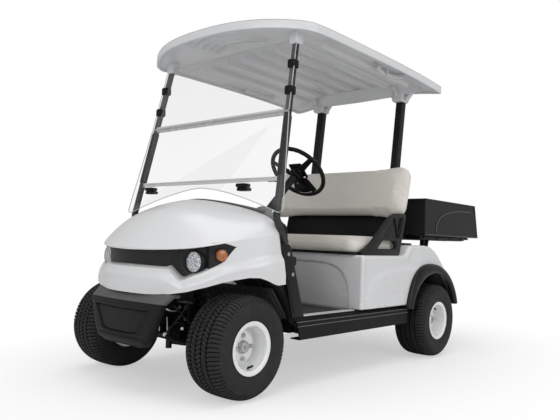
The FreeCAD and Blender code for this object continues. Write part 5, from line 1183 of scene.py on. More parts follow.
@dataclass
class Dashboard:
    """Grey dash cover behind the windshield with dark rounded ends."""

    half: float = 0.436

    def build(self) -> None:
        """Carry the cover's section across the cart; its crown falls with |y|^1.5 as the hood's edge does."""
        y = np.linspace(-self.half, self.half, 61)
        top = crown_level(0.874, y)
        rows = []
        for share, level in ((-0.146, 0.0), (-0.190, 0.004), (-0.260, -0.004), (-0.306, -0.022), (-0.330, -0.060),
                             (-0.334, -0.120)):
            rows.append(np.stack([np.full_like(y, share), y, top + level], axis=1))
        for x, z in ((-0.322, 0.668), (-0.300, 0.645), (-0.215, 0.642), (-0.205, 0.660)):
            rows.append(np.stack([np.full_like(y, x), y, np.full_like(y, z)], axis=1))
        rows.append(np.stack([np.full_like(y, -0.17), y, top - 0.03], axis=1))
        loop = np.stack(rows, axis=1)
        fine = np.stack([through(np.vstack([line, line[:1]]), 48)[:-1] for line in loop])
        surface = Surface().grid(fine, wrap_v=True).cap(fine[0][::-1]).cap(fine[-1])
        surface.fit("dash_cover", Finish.GREY, 50.0, "dashboard", "black_plastic")
        level = crown_level(0.899, y)
        line = np.stack([hood_rear(level) - 0.005, y * 1.06, level - 0.004], axis=1)
        gasket = Surface().sweep(line, ellipse(0.004, 0.0075, 10))
        gasket.fit("cowl_gasket", Finish.TRIM_AND_HIGHLIGHT, 50.0)
        ends = Surface()
        for side in (1, -1):
            outline = rounded([(-0.262, 0.636), (-0.266, 0.720), (-0.254, 0.778), (-0.214, 0.792), (-0.182, 0.780),
                               (-0.182, 0.660), (-0.196, 0.636)], 0.022, 8)
            ends.plate([outline], 0.074, 0.016, upright(0.438 if side > 0 else -0.512))
        ends.fit("dash_ends", Finish.BLACK, 50.0)
        a, b = np.meshgrid(np.linspace(0, 2 * math.pi, 40, endpoint=False), np.linspace(-0.5, 0.5, 24) * math.pi)
        bulge = np.stack([-0.296 + 0.050 * np.cos(b) * np.cos(a), 0.305 + 0.078 * np.cos(b) * np.sin(a),
                          0.790 + 0.082 * np.sin(b)], axis=-1)
        hump = Surface().grid(bulge, wrap_v=True)
        hump.fit("dash_hump", Finish.GREY, 60.0)
        pod = Surface()
        face = [(0.0, 0.0), (0.0, 0.036), (0.010, 0.036), (0.012, 0.033), (0.006, 0.031), (0.006, 0.0)]
        pod.lathe(np.array(face), (-0.330, 0.269, 0.775), (-1.0, 0.0, 0.25), 40, closed=False)
        pod.box((-0.345, 0.05, 0.735), (-0.328, 0.16, 0.79), 0.005)
        for k in range(3):
            pod.box((-0.350, 0.062 + 0.034 * k, 0.748), (-0.340, 0.082 + 0.034 * k, 0.777), 0.003)
        pod.tube([(-0.336, 0.19, 0.75), (-0.352, 0.19, 0.75)], 0.010, 20)
        pod.fit("dash_switches", Finish.BLACK)


# Windshield

@dataclass
class Windshield:
    """Struts, sleeves, rails, clips and the two clear panes."""

    fit: float = 0.0138

    @staticmethod
    def axis(level: Any, side: int) -> Array:
        """Return the strut's middle line at a level above its bend."""
        bend, head = 0.806, 1.702
        share = (np.asarray(level, dtype=float) - bend) / (head - bend)
        return np.stack([-0.130 - 0.177 * share, side * (0.545 - 0.068 * share), np.asarray(level) + 0.0 * share],
                        axis=-1)

    def struts(self) -> None:
        """Build each strut along its foot, bend and head, with ribbed sleeves between the rails."""
        sleeves = Surface()
        for hand, side in HANDS:
            foot = np.array([-0.204, 0.541 * side, 0.6905])
            path = np.vstack([along_line([foot, (-0.141, 0.5444 * side, 0.789)], 6),
                              [(-0.1345, 0.5448 * side, 0.800), (-0.1322, 0.5446 * side, 0.812)],
                              self.axis(np.linspace(0.826, 1.701, 12), side)])
            section = bar(0.0134, 0.0134, 0.005)
            surface = Surface().sweep(path, section, (0.0, 1.0, 0.0))
            surface.fit("strut_bar_" + hand, Finish.STRUT, 40.0, "strut_" + hand, "strut_metal")
            levels = np.linspace(1.008, 1.296, 97)
            wide = bar(0.0162, 0.0162, 0.005)
            size = 0.955 + 0.045 * (np.arange(97) % 4 < 2)
            sleeves.sweep(self.axis(levels, side), wide, (0.0, 1.0, 0.0), size)
        sleeves.fit("strut_sleeves", Finish.STRUT, 30.0)

    def lay(self, p: Array) -> Array:
        """Lean flat points (y, z, depth) against the struts' front faces."""
        x = self.axis(p[:, 1], 1)[:, 0] + self.fit + p[:, 2]
        return np.stack([x, p[:, 0], p[:, 1]], axis=1)

    def sheet(self, name: str, node: str, outline: Array) -> None:
        """Cut a pane to an outline of (distance from the middle, level) and run an opaque grey edge round it, painted
        for the shine of the clear sheet's polished edge.
        """
        surface = Surface().plate([outline], 0.005, 0.0008, self.lay)
        surface.fit(name, Finish.PANE, 30.0, node, "clear_pane")
        rim = np.vstack([outline, outline[:1]])
        flat = along_line(np.column_stack([rim, np.full(len(rim), 0.0025)]), 400)[:-1]
        # Painted shine: the clear sheet's edge is drawn as an opaque grey strip for the light and shade it shows.
        edge = Surface().sweep(self.lay(flat), ellipse(0.0021, 0.0021, 8), (1.0, 0.02, 0.1), closed=True)
        edge.fit(name + "_edge", Finish.EDGE_SHINE, 60.0)

    def panes(self) -> None:
        """Cut the upper pane with round top corners and the lower one with its arched foot."""
        high, low, side = (float(self.axis(level, 1)[1]) + 0.018 for level in (1.690, 1.322, 1.316))
        corners = [(low, 1.322), (high, 1.690), (-high, 1.690), (-low, 1.322)]
        self.sheet("pane_upper", "windshield_upper", rounded(corners, [0.004, 0.034, 0.034, 0.004], 10))
        y = np.linspace(-0.560, 0.560, 61)
        arch = np.column_stack([y, 0.830 + 0.128 * (1 - (np.abs(y) / 0.560) ** 1.5)])[::-1]
        corner = rounded([(side, 1.316), (0.594, 0.826), (0.40, 0.8500)], [0.003, 0.034, 0.003], 10)[10:20]
        right = np.vstack([[(side, 1.316)], corner])
        outline = np.vstack([right, arch[1:-1], right[::-1] * [-1, 1]])
        self.sheet("pane_lower", "windshield_lower", outline[::-1])

    def fittings(self) -> None:
        """Build the two rails, the four pane clips and the two latches under the low rail."""
        rails, clips, joint = Surface(), Surface(), Surface()
        for level, shapes in ((1.319, ((0.011, 0.0075, 0.0075), (0.011, 0.0075, -0.0075), (0.005, 0.011, 0.0))),
                              (0.990, ((0.005, 0.0035, 0.007), (0.005, 0.0035, -0.007), (0.002, 0.008, 0.0)))):
            a, b = self.axis(level, -1), self.axis(level, 1)
            inner = unit(b - a) * 0.0165
            for wide, tall, lift in shapes:
                line = np.stack([a + inner, b - inner]) + [0.002, 0.0, lift]
                line = np.linspace(line[0], line[1], 4)
                section = bar(wide, tall, 0.002, 3)
                (rails if level > 1.0 else joint).sweep(line, section)
        joint.fit("screen_joint", Finish.BODY)
        rails.fit("screen_rails", Finish.RAIL, 35.0, "windshield_fittings", "bright_metal")
        for side, levels in ((1, (1.562, 1.425)), (-1, (1.556, 1.425))):
            for level in levels:
                c = self.axis(level, side)
                clips.box((c[0] - 0.017, c[1] - 0.020, level - 0.022), (c[0] + 0.026, c[1] + 0.021, level + 0.022),
                          0.005)
                clips.box((c[0] - 0.012, c[1] - 0.024, level - 0.010), (c[0] + 0.021, c[1] + 0.025, level + 0.010),
                          0.004)
        for y in (-0.425, 0.305):
            c = self.axis(0.955, 1)
            clips.box((c[0] - 0.014, y - 0.030, 0.936), (c[0] + 0.026, y + 0.036, 0.952), 0.003)
            clips.box((c[0] - 0.014, y - 0.034, 0.954), (c[0] + 0.030, y + 0.028, 0.972), 0.003)
            clips.box((c[0] - 0.010, y - 0.028, 0.944), (c[0] + 0.020, y + 0.026, 0.966), 0.003)
        clips.fit("screen_clips", Finish.BLACK)

    def plates(self) -> None:
        """Build the pillar plates, each with a rib, a bracket and two bolts."""
        bolts = Surface()
        for hand, side in HANDS:
            outline = rounded([(-0.168, 0.690), (-0.237, 0.690), (-0.357, 0.3425), (-0.270, 0.3425)],
                              [0.010, 0.030, 0.004, 0.004], 6)
            surface = Surface().plate([outline], 0.008, 0.0015, upright(0.5377 if side > 0 else -0.5457))
            rib = [(-0.176, 0.5460 * side, 0.676), (-0.283, 0.5460 * side, 0.360)]
            surface.sweep(np.linspace(rib[0], rib[1], 8), bar(0.003, 0.003, 0.002, 3), (0.0, 1.0, 0.0))
            surface.box((-0.297, 0.520 * side, 0.587), (-0.232, 0.5378 * side, 0.628), 0.004)
            surface.fit("pillar_" + hand, Finish.FRAME, 35.0, "pillar_plate_" + hand, "frame_paint")
            for x, z in ((-0.226, 0.640), (-0.262, 0.545)):
                bolt(bolts, (x, 0.5457 * side, z), (0, side, 0), 0.0062, 0.005)
        bolts.fit("pillar_bolts", Finish.BOLT)

    def build(self) -> None:
        """Build the whole windshield."""
        self.struts()
        self.panes()
        self.fittings()
        self.plates()


# Roof

@dataclass
class Roof:
    """Moulded canopy: a crowned top, a deep rim, and ribs, a visor panel and grab pockets underneath."""

    half: float = 0.600
    front: float = -0.085
    rear: float = -1.655
    bow: float = 0.195

    def nose(self, across: Array) -> Array:
        """Return the front edge: it falls back with |across|^2.6 and rounds off at the corners."""
        return self.front - self.bow * np.abs(across) ** 2.6

    def top(self, across: Array, along: Array) -> Array:
        """Return the top skin's points by shares across and along."""
        nose = self.nose(across)
        x = self.rear + (nose - self.rear) * along
        peak = -0.65
        fall = np.where(x < peak, 0.025 * (np.abs(peak - x) / (peak - self.rear)) ** 3,
                        0.026 * (np.abs(x - peak) / (self.front - peak)) ** 4)
        z = 1.755 + 0.045 * (1 - np.abs(across) ** 2.2) - fall
        return np.stack([x, self.half * across, z], axis=-1)

    def under(self, points: Array, across: Array, along: Array) -> Array:
        """Return the underside's lift above the rim's foot: ribs, a visor panel with slots and the pockets at the
        sides.
        """
        x, y = points[..., 0], points[..., 1]
        rib = smooth(0.25, 0.75, 0.5 + 0.5 * np.cos(y * 2 * math.pi / 0.138))
        ribbed = smooth(-1.50, -1.46, x) * (1 - smooth(-0.56, -0.52, x)) * (1 - smooth(0.47, 0.50, np.abs(y)))
        visor = smooth(-0.50, -0.46, x) * (1 - smooth(0.88, 0.93, np.abs(across))) * (1 - smooth(0.945, 0.985, along))
        slot = 0.5 + 0.5 * np.cos((x - 0.05 * np.cos(y * 9.0)) * 2 * math.pi / 0.056)
        slots = smooth(0.60, 0.78, slot) * smooth(-0.42, -0.39, x) * (1 - smooth(-0.16, -0.13, x))
        slots *= 1 - smooth(0.20, 0.24, np.abs(y - 0.02))
        side = smooth(0.49, 0.51, np.abs(y)) * smooth(-1.30, -1.24, x) * (1 - smooth(-0.86, -0.80, x))
        return 0.024 * rib * ribbed + 0.010 * visor - 0.016 * slots - 0.012 * side

    def build(self) -> None:
        """Build the top and the underside on one grid, and stitch them with a rounded rim."""
        a = np.sin(np.linspace(-math.pi / 2, math.pi / 2, 113))
        t = 0.5 - 0.5 * np.cos(np.linspace(0, math.pi, 131))
        across, along = np.meshgrid(a, t)
        corner = 0.055
        over = np.clip((np.abs(across) - (1 - corner / self.half)) / (corner / self.half), 0, 1)
        draw = corner * (1 - np.sqrt(1 - over ** 2 * 0.999))
        top = self.top(across, along)
        top[..., 0] += draw * 0.55 * (1 - along) ** 6 - draw * 0.9 * along ** 6
        inset = 0.022
        low = top.copy()
        middle_x = (self.rear + self.front) / 2
        low[..., 0] = middle_x + (top[..., 0] - middle_x) * (1 - inset / 0.785)
        low[..., 1] = top[..., 1] * (1 - inset / self.half)
        low[..., 2] = top[..., 2] - 0.016 - 0.012 * smooth(0.0, 1.0, np.abs(across))
        low[..., 2] -= self.under(low, across, along)
        surface = Surface().grid(top).grid(low[:, ::-1])
        ring = self.loop(top)
        inner = self.loop(low)
        out = unit(np.column_stack([ring[:, :2] - inner[:, :2], np.zeros(len(ring))]))
        brim = 0.0045
        rows = [ring - out * brim]
        for outward, drop in ((0.0030, 0.0015), (0.0045, 0.005), (0.0045, 0.0405), (0.0025, 0.0425), (-0.008, 0.0425),
                              (-0.0105, 0.040)):
            rows.append(ring + out * (outward - brim) - [0.0, 0.0, drop])
        rows.append(inner)
        surface.grid(np.stack(rows), wrap_v=True)
        surface.grid(np.stack([ring, rows[0]]), wrap_v=True)
        thing = surface.piece("canopy", Paintbox.get(Finish.ROOF), 32.0, weld=1e-4)
        settle(thing, "chassis", ["roof"], "roof_plastic")
        self.brackets()

    @staticmethod
    def loop(grid: Array) -> Array:
        """Return a grid's border as one closed loop of points."""
        return np.vstack([grid[0, :-1], grid[:-1, -1], grid[-1, :0:-1], grid[:0:-1, 0]])

    def brackets(self) -> None:
        """Build the brackets on the posts and struts, the rear valance, the pockets and their hooks."""
        shell, dark = Surface(), Surface()
        for side in (1, -1):
            head = Windshield.axis(1.700, side)
            shell.box((head[0] - 0.026, head[1] - 0.026, 1.668), (head[0] + 0.026, head[1] + 0.026, 1.745), 0.006)
            y = POST_Y * side
            shell.box((-1.632, y - 0.037, 1.650), (-1.530, y + 0.037, 1.768), 0.007)
            for x0, x1 in ((-1.556, -1.470), (-1.632, -1.645)):
                wedge = np.array([(x0, 1.655), (x0, 1.748), (x1, 1.748)])
                shell.plate([rounded(wedge, 0.006, 4)], 0.012, 0.003, upright(y - 0.006))
            for hand in (1, -1):
                edge = y + 0.037 * hand
                wedge = np.array([(edge, 1.655), (edge, 1.748), (edge + 0.080 * hand, 1.748)])
                shell.plate([rounded(wedge, 0.006, 4)], 0.040, 0.004, lambda p: np.stack(
                    [-1.614 + p[:, 2], p[:, 0], p[:, 1]], axis=1))
            path = through([(-0.98, 0.535 * side, 1.722), (-1.02, 0.505 * side, 1.712), (-1.12, 0.495 * side, 1.708),
                            (-1.22, 0.505 * side, 1.712), (-1.26, 0.535 * side, 1.722)], 24)
            shell.sweep(path, bar(0.010, 0.012, 0.005))
            shell.tube([(-1.10, 0.515 * side, 1.735), (-1.10, 0.515 * side, 1.703), (-1.125, 0.515 * side, 1.700)],
                       0.006, 12, 12, (0.0, 1.0, 0.2))
            for z in (1.668, 1.690):
                bolt(dark, (-1.594, y + 0.037 * side, z), (0, side, 0), 0.006, 0.003)
        y = np.linspace(-0.50, 0.50, 41)
        bottom = 1.700 - 0.016 * (1 - (np.abs(y) / 0.5) ** 2)
        rows = np.stack([np.stack([np.full_like(y, -1.545), y, bottom], axis=1),
                         np.stack([np.full_like(y, -1.505), y, np.full_like(y, 1.764)], axis=1),
                         np.stack([np.full_like(y, -1.575), y, np.full_like(y, 1.764)], axis=1),
                         np.stack([np.full_like(y, -1.557), y, bottom], axis=1)])
        shell.grid(rows, wrap_u=True).cap(rows[:, 0]).cap(rows[::-1, -1])
        shell.fit("canopy_brackets", Finish.ROOF)
        dark.fit("canopy_bolts", Finish.BOLT)
        for hand, side in HANDS:
            a, b = np.array([-1.478, POST_Y * side, 0.7025]), np.array([-1.5935, POST_Y * side, 1.667])
            section = bar(0.0248, 0.0248, 0.006, 5)
            post = Surface().sweep(np.linspace(a, b, 12), section, (0.0, 1.0, 0.0))
            post.fit("post_" + hand, Finish.POST, 35.0, "rear_post_" + hand, "frame_paint")


# Seat

@dataclass
class Pad:
    """A stuffed vinyl pad with soft edges, swelled by a cloth run."""

    name: str
    node: str
    body: str
    low: tuple[float, float, float]
    high: tuple[float, float, float]
    lean: float
    pivot: tuple[float, float, float]
    corner: float
    round_edge: float
    swell: float = 0.024
    reach: float = 0.006
    frames: int = 20
    voxel: float = 0.006

    def form(self) -> bpy.types.Object:
        """Build the pad's blank: a rounded outline with soft edges, thin and long to leave room for the run."""
        low, high = np.array(self.low), np.array(self.high)
        thin = int(np.argmin(high - low))
        axes = [k for k in range(3) if k != thin]
        half = (high - low)[axes] / 2
        middle = (low + high) / 2
        inset = 0.010
        rings = []
        for angle in np.linspace(-90, 90, 14):
            turn = math.radians(angle)
            draw = self.round_edge * (1 - math.cos(turn)) - self.reach
            offset = (high - low)[thin] / 2 - inset - self.round_edge
            level = math.copysign(offset, angle) + self.round_edge * math.sin(turn)
            size = half - draw
            ring = bar(size[0], size[1], max(self.corner - draw, 0.01), 10)
            points = np.zeros((len(ring), 3))
            points[:, axes[0]], points[:, axes[1]], points[:, thin] = ring[:, 0], ring[:, 1], level
            rings.append(points + middle)
        grid = np.stack(rings)
        grid = turned(grid.reshape(-1, 3), self.lean, "Y", self.pivot).reshape(grid.shape)
        surface = Surface().grid(grid, wrap_v=True).cap(grid[0][::-1]).cap(grid[-1])
        return surface.piece(self.name, Paintbox.get(Finish.VINYL), 60.0)

    def inflate(self, thing: bpy.types.Object) -> None:
        """Remesh the blank, blow it up as cloth and keep the swelling under its cap."""
        remesh = thing.modifiers.new("remesh", "REMESH")
        remesh.mode, remesh.voxel_size = "VOXEL", self.voxel
        self.apply(thing, "remesh")
        start = read(thing.data.vertices, "co", 3).reshape(-1, 3)
        cloth = thing.modifiers.new("cloth", "CLOTH")
        settings = cloth.settings
        settings.use_pressure, settings.uniform_pressure_force = True, 4.0
        settings.quality, settings.mass = 4, 0.4
        settings.tension_stiffness = settings.compression_stiffness = 18.0
        settings.shear_stiffness, settings.bending_stiffness = 8.0, 1.5
        settings.effector_weights.gravity = 0.0
        cloth.point_cache.frame_start, cloth.point_cache.frame_end = 1, self.frames
        scene = bpy.context.scene
        for number in range(1, self.frames + 1):
            scene.frame_set(number)
        shape = thing.evaluated_get(bpy.context.evaluated_depsgraph_get()).to_mesh()
        move = read(shape.vertices, "co", 3).reshape(-1, 3) - start
        length = np.linalg.norm(move, axis=1, keepdims=True)
        move *= np.minimum(1.0, self.swell / np.maximum(length, 1e-9))
        thing.modifiers.remove(cloth)
        thing.data.vertices.foreach_set("co", (start + move).ravel())
        thing.data.update()
        taut = thing.modifiers.new("taut", "SMOOTH")
        taut.factor, taut.iterations = 0.5, 10
        self.apply(thing, "taut")
        scene.frame_set(1)

    @staticmethod
    def apply(thing: bpy.types.Object, name: str) -> None:
        """Apply one modifier."""
        with bpy.context.temp_override(object=thing, active_object=thing, selected_objects=[thing]):
            bpy.ops.object.modifier_apply(modifier=name)

    def build(self) -> bpy.types.Object:
        thing = self.form()
        self.inflate(thing)
        thing.data.polygons.foreach_set("use_smooth", np.ones(len(thing.data.polygons), dtype=bool))
        return settle(thing, self.body, [self.node], "seat_vinyl")


@dataclass
class Seat:
    """Bench cushion, backrest, their trims and panel, and the hip restraints."""

    def pads(self) -> None:
        """Build the cushion and the backrest."""
        Pad("cushion_pad", "seat_cushion", "seat_lid", (-1.298, -0.500, 0.6425), (-0.828, 0.500, 0.7263), 0.0,
            (0, 0, 0), 0.070, 0.036, 0.020).build()
        Pad("backrest_pad", "seat_back", "chassis", (-1.364, -0.532, 0.880), (-1.278, 0.532, 1.202), -SEAT_LEAN,
            (-1.278, 0.0, 0.880), 0.085, 0.036, 0.018).build()
        trim = Surface()
        outline = rounded([(-0.832, -0.496), (-0.832, 0.496), (-1.294, 0.496), (-1.294, -0.496)], 0.06, 10)
        path = along_line(np.column_stack([np.vstack([outline, outline[:1]]), np.full(len(outline) + 1, 0.6465)]),
                          240)[:-1]
        trim.sweep(path, bar(0.004, 0.008, 0.003), closed=True)
        trim.fit("cushion_trim", Finish.BLACK, body="seat_lid")

    def panel(self) -> None:
        """Build the panel behind and under the backrest."""
        outline = rounded([(-0.450, 0.7025), (0.450, 0.7025), (0.430, 0.760), (0.430, 1.130), (-0.430, 1.130),
                           (-0.430, 0.760)], [0.02, 0.02, 0.05, 0.06, 0.06, 0.05], 8)
        lean = math.tan(math.radians(SEAT_LEAN))
        back = -1.278 - 0.086 * math.cos(math.radians(SEAT_LEAN)) - 0.0003

        def lay(p: Array) -> Array:
            """Lean the panel as the backrest leans."""
            return np.stack([back - 0.016 + p[:, 2] - (p[:, 1] - 0.8607) * lean, p[:, 0], p[:, 1]], axis=1)

        surface = Surface().plate([outline], 0.016, 0.004, lay)
        surface.fit("back_board", Finish.BLACK, 35.0, "seat_back_panel", "black_plastic")

    def restraints(self) -> None:
        """Build each cast hip restraint with its window, web and braces."""
        for hand, side in HANDS:
            outer = rounded([(-0.868, 0.6385), (-0.872, 0.652), (-0.905, 0.676), (-0.960, 0.712), (-1.150, 0.868),
                             (-1.200, 0.888), (-1.322, 0.892), (-1.331, 0.868), (-1.262, 0.6385)],
                            [0.006, 0.008, 0.02, 0.02, 0.05, 0.03, 0.010, 0.01, 0.012], 8)
            window = rounded([(-1.018, 0.676), (-1.072, 0.724), (-1.215, 0.724), (-1.222, 0.690), (-1.210, 0.676)],
                             0.012, 6)
            upper = rounded([(-1.072, 0.744), (-1.178, 0.856), (-1.300, 0.868), (-1.266, 0.752), (-1.246, 0.742)],
                            0.016, 6)
            surface = Surface().plate([outer, window, upper], 0.024, 0.0045, upright(0.514 if side > 0 else -0.538))
            web = rounded([(-1.060, 0.738), (-1.172, 0.866), (-1.306, 0.876), (-1.270, 0.738)], 0.01, 3)
            surface.plate([web], 0.009, 0.001, upright(0.5195 if side > 0 else -0.5285))
            surface.box((-1.478, 0.470 * side, 0.7005), (-1.385, 0.498 * side, 0.7150), 0.004)
            for a, b in (((-1.246, 0.752), (-1.288, 0.862)), ((-1.250, 0.750), (-1.205, 0.862))):
                path = np.linspace((a[0], 0.530 * side, a[1]), (b[0], 0.530 * side, b[1]), 6)
                surface.sweep(path, bar(0.004, 0.006, 0.002, 3), (0.0, 1.0, 0.0))
            surface.fit("hip_casting_" + hand, Finish.CAST, 35.0, "hip_restraint_" + hand, "black_plastic")

    def build(self) -> None:
        """Build the whole seat."""
        self.pads()
        self.panel()
        self.restraints()


# Rear body

@dataclass
class RearBody:
    """Seat base and rear fenders in one skin, with round edges, a sunk front panel and embossed sides."""

    half: float = 0.5495
    edge: float = 0.016
    well: float = 0.309
    arch: float = 0.3125
    flare: float = 0.299

    @staticmethod
    def profile(inset: float, count: int) -> Array:
        """Return the side view's upper line from the front foot to the tail, drawn in by inset."""
        i = inset
        corners = [(-0.850 - i, BODY_FOOT), (-0.850 - i, 0.600)]
        bend = through([(-0.850 - i, 0.600), (-0.8525 - i, 0.628 - i), (-0.866 - i, 0.638 - i)], 6)[1:]
        deck = [(-1.262 - i * 0.5, 0.638 - i), (-1.322 - i, 0.642 - i)]
        shelf = through([(-1.322 - i, 0.642 - i), (-1.352 - i, 0.672 - i), (-1.372 - i, 0.698 - i),
                         (-1.400 - i, 0.702 - i)], 8)
        tail = through([(-1.400 - i, 0.702 - i), (-1.585 + i * 0.2, 0.702 - i), (-1.660 + i * 0.5, 0.686 - i),
                        (-1.745 + i * 0.7, 0.643 - i), (-1.885 + i * 0.9, 0.520 - i * 0.6),
                        (-1.965 + i, 0.430 - i * 0.3), (-2.0405 + i, BODY_FOOT)], 80)
        front, rest = np.vstack([corners, bend]), np.vstack([bend[-1:], deck, shelf[1:], tail[1:]])
        return np.vstack([along_line(front, 60)[:-1], along_line(rest, count - 59)])

    @staticmethod
    def front_relief(y: Array, z: Array) -> Array:
        """Return how deep the front panel is sunk, inside |y/0.457|^6 + |(z-0.30)/0.288|^3.4 = 1."""
        inside = (np.abs(y) / 0.457) ** 6 + (np.abs(z - 0.30) / 0.288) ** 3.4
        return 0.011 * (1 - smooth(0.92, 1.08, inside)) + 0.003 * np.exp(-((inside - 0.99) / 0.07) ** 2)

    @staticmethod
    def side_relief(x: Array, z: Array) -> Array:
        """Return how far the side stands in, outside the soft curve |(x+1.62)/0.7|^4 + |(z-0.30)/0.26|^4 = 1."""
        inside = (np.abs(x + 1.62) / 0.700) ** 4 + (np.abs(z - 0.30) / 0.262) ** 4
        return 0.0065 * smooth(0.82, 1.22, inside) * (1 - smooth(-1.40, -1.52, x))

    def build(self) -> None:
        """Build the crown strip, both side panels and the wheel wells."""
        count = 190
        outer, inner = self.profile(0.0, count), self.profile(self.edge, count)
        surface = Surface()
        turn = np.radians(np.linspace(0, 90, 7))
        y_flat = np.concatenate([np.linspace(0, 0.28, 4), np.linspace(0.30, 0.42, 13),
                                 np.linspace(0.43, self.half - self.edge, 22)])
        strips, widths = [], []
        for y in y_flat:
            strips.append(outer)
            widths.append(y)
        for angle in turn[1:]:
            share = 1 - math.cos(angle)
            strips.append(outer * (1 - share) + inner * share)
            widths.append(self.half - self.edge + self.edge * math.sin(angle))
        strip = np.stack(strips)
        wide = np.asarray(widths)
        for side in (1, -1):
            y = np.broadcast_to(wide[:, None], strip.shape[:2])
            sink = self.front_relief(y, strip[..., 1]) * (strip[..., 0] > -0.87) * (strip[..., 1] < 0.62)
            points = np.stack([strip[..., 0] - sink, y * side, strip[..., 1]], axis=-1)
            points[:, 0, 2] -= 0.0140 * (1 - smooth(0.478, 0.484, wide))
            surface.grid(points)
            self.side_panel(surface, inner, side)
        thing = surface.piece("body_rear_skin", Paintbox.get(Finish.BODY), 32.0, weld=1e-4)
        with editing(thing.data) as work:
            face_up(work, 0.62)
        thicken(thing, 0.004)
        settle(thing, "chassis", ["rear_body"], "body_paint")
        self.wells()
        self.flares()

    def side_panel(self, surface: Surface, top: Array, side: int) -> None:
        """Rule a panel between the profile's line and the foot and wheel arch, and emboss it."""
        angle = np.radians(np.linspace(158.6, 17.6, 150))
        arch = np.column_stack([REAR_X - self.arch * np.cos(angle), WHEEL_Z + self.arch * np.sin(angle)])
        arch = arch[::-1] if arch[0, 0] < arch[-1, 0] else arch
        arch = arch[arch[:, 1] >= BODY_FOOT]
        foot = np.array([[-0.866, BODY_FOOT], [arch[0, 0], BODY_FOOT]])
        line = np.vstack([along_line(foot, 60)[:-1], arch])
        at, up = stations(line), stations(top)
        at, up = at / at[-1], up / up[-1]
        match = np.interp(up, [0.0, 0.165, 0.42, 0.50, 0.62, 1.0], [0.0, 0.16, 0.40, 0.52, 0.64, 1.0])
        low = sample(line, at, match)
        rows = np.linspace(0.0, 1.0, 30)[:, None, None]
        flat = top[None] * (1 - rows) + low[None] * rows
        sink = self.side_relief(flat[..., 0], flat[..., 1]) * smooth(0.0, 0.16, rows[..., 0])
        points = np.stack([flat[..., 0], (self.half - sink) * side, flat[..., 1]], axis=-1)
        points[0, :, 1] = self.half * side
        surface.grid(points)

    def wells(self) -> None:
        """Build the wheel wells as part cylinders with an inner wall."""
        for hand, side in HANDS:
            angle = np.radians(np.linspace(22, 158, 60))
            y = np.linspace(0.376, 0.546, 6)
            a, w = np.meshgrid(angle, y)
            points = np.stack([REAR_X + self.well * np.cos(a), w * side, WHEEL_Z + self.well * np.sin(a)], axis=-1)
            surface = Surface().grid(points)
            rise = np.linspace(0.0, 1.0, 4)[:, None]
            foot = 0.343
            disc = np.stack([REAR_X + self.well * np.cos(angle)[None] + 0.0 * rise, np.full((4, 60), 0.376 * side),
                             foot + (WHEEL_Z + self.well * np.sin(angle)[None] - foot) * rise], axis=-1)
            surface.grid(disc)
            surface.fit("well_" + hand, Finish.BLACK, outward=False, thickness=0.002)

    def flares(self) -> None:
        """Sweep the flares' round section about the axle and end them level at the foot."""
        for hand, side in HANDS:
            angle = np.linspace(15.0, 165.2, 110)
            full = 0.350 + 0.032 * np.exp(-((angle - 55.0) / 26.0) ** 2)
            angle = np.radians(angle)
            section = through([(1.0, 0.0), (0.96, 0.011), (0.72, 0.0215), (0.36, 0.0240), (0.06, 0.0195),
                               (0.0, 0.008), (0.08, -0.020)], 26)
            r = self.flare + (full[:, None] - self.flare) * section[None, :, 0]
            x = REAR_X + np.cos(angle)[:, None] * r
            z = WHEEL_Z + np.sin(angle)[:, None] * r
            foot = 0.3185
            aside = (0.5503 + section[:, 1])[None] * side
            points = np.stack([x, np.broadcast_to(aside, x.shape), np.maximum(z, foot)], axis=-1)
            surface = Surface().grid(points)
            surface.fit("flare_" + hand, Finish.FLARE, 50.0, "fender_flare_" + hand, "black_plastic", outward=False,
                        thickness=0.003)


@dataclass
class Sills:
    """Rockers with their steps and grey lines painted on their edges as highlights, bare sill plates and the ribbed
    floor mat.
    """

    def build(self) -> None:
        """Carry the rocker's section along the door opening and cut its nose on a slant."""
        plates, lines = Surface(), Surface()
        for hand, side in HANDS:
            # Painted highlight: two grey lines laid on the rocker's top edges stand in for the light those edges
            # catch.
            for y0, level, ahead in ((0.5442, 0.3165, -0.306), (0.5465, 0.2960, -0.312)):
                lines.tube([(ahead, y0 * side, level), (-1.360, y0 * side, level)], 0.0022, 8)
            section = np.array([(0.5455, 0.232), (0.5460, 0.300), (0.5440, 0.316), (0.5330, 0.320), (0.5325, 0.326),
                                (0.5180, 0.330), (0.5175, 0.336), (0.5020, 0.3415), (0.4845, 0.3415), (0.4845, 0.335),
                                (0.4990, 0.334), (0.5200, 0.322), (0.5400, 0.298), (0.5395, 0.240), (0.4845, 0.236),
                                (0.4845, 0.2302), (0.5420, 0.2302)])
            nose = -0.300 - 0.034 * (0.342 - section[:, 1]) / 0.112
            tail = np.full(len(section), -1.3622)
            share = np.linspace(0.0, 1.0, 24)[:, None]
            x = nose[None] * (1 - share) + tail[None] * share
            points = np.stack([x, np.broadcast_to(section[:, 0] * side, x.shape),
                               np.broadcast_to(section[:, 1], x.shape)], axis=-1)
            surface = Surface().grid(points, wrap_v=True).cap(points[0]).cap(points[-1][::-1])
            surface.fit("sill_" + hand, Finish.BLACK, 30.0, "rocker_" + hand, "black_plastic")
            plates.box((-0.830, 0.487 * side, 0.3370), (-0.385, 0.5190 * side, 0.3432), 0.0012)
            for k in range(5):
                y = 0.4905 + 0.0045 * k
                plates.sweep(np.linspace((-0.40, y * side, 0.3432), (-0.77, y * side, 0.3432), 3),
                             ellipse(0.0008, 0.0007, 6))
        plates.fit("sill_plates", Finish.SILL, 40.0)
        lines.fit("sill_edge_highlights", Finish.TRIM_AND_HIGHLIGHT, 50.0)
        mat = Surface()
        for k in range(46):
            y = -0.458 + 0.0204 * k
            path = [(-0.846, y, 0.3290), (-0.312, y, 0.3290), (-0.290, y, 0.334), (-0.196, y, 0.4500)]
            line = along_line(path, 16)
            mat.sweep(line, bar(0.0050, 0.0022, 0.0016, 3))
        mat.fit("mat_ribs", Finish.MAT, 40.0)


# Load box

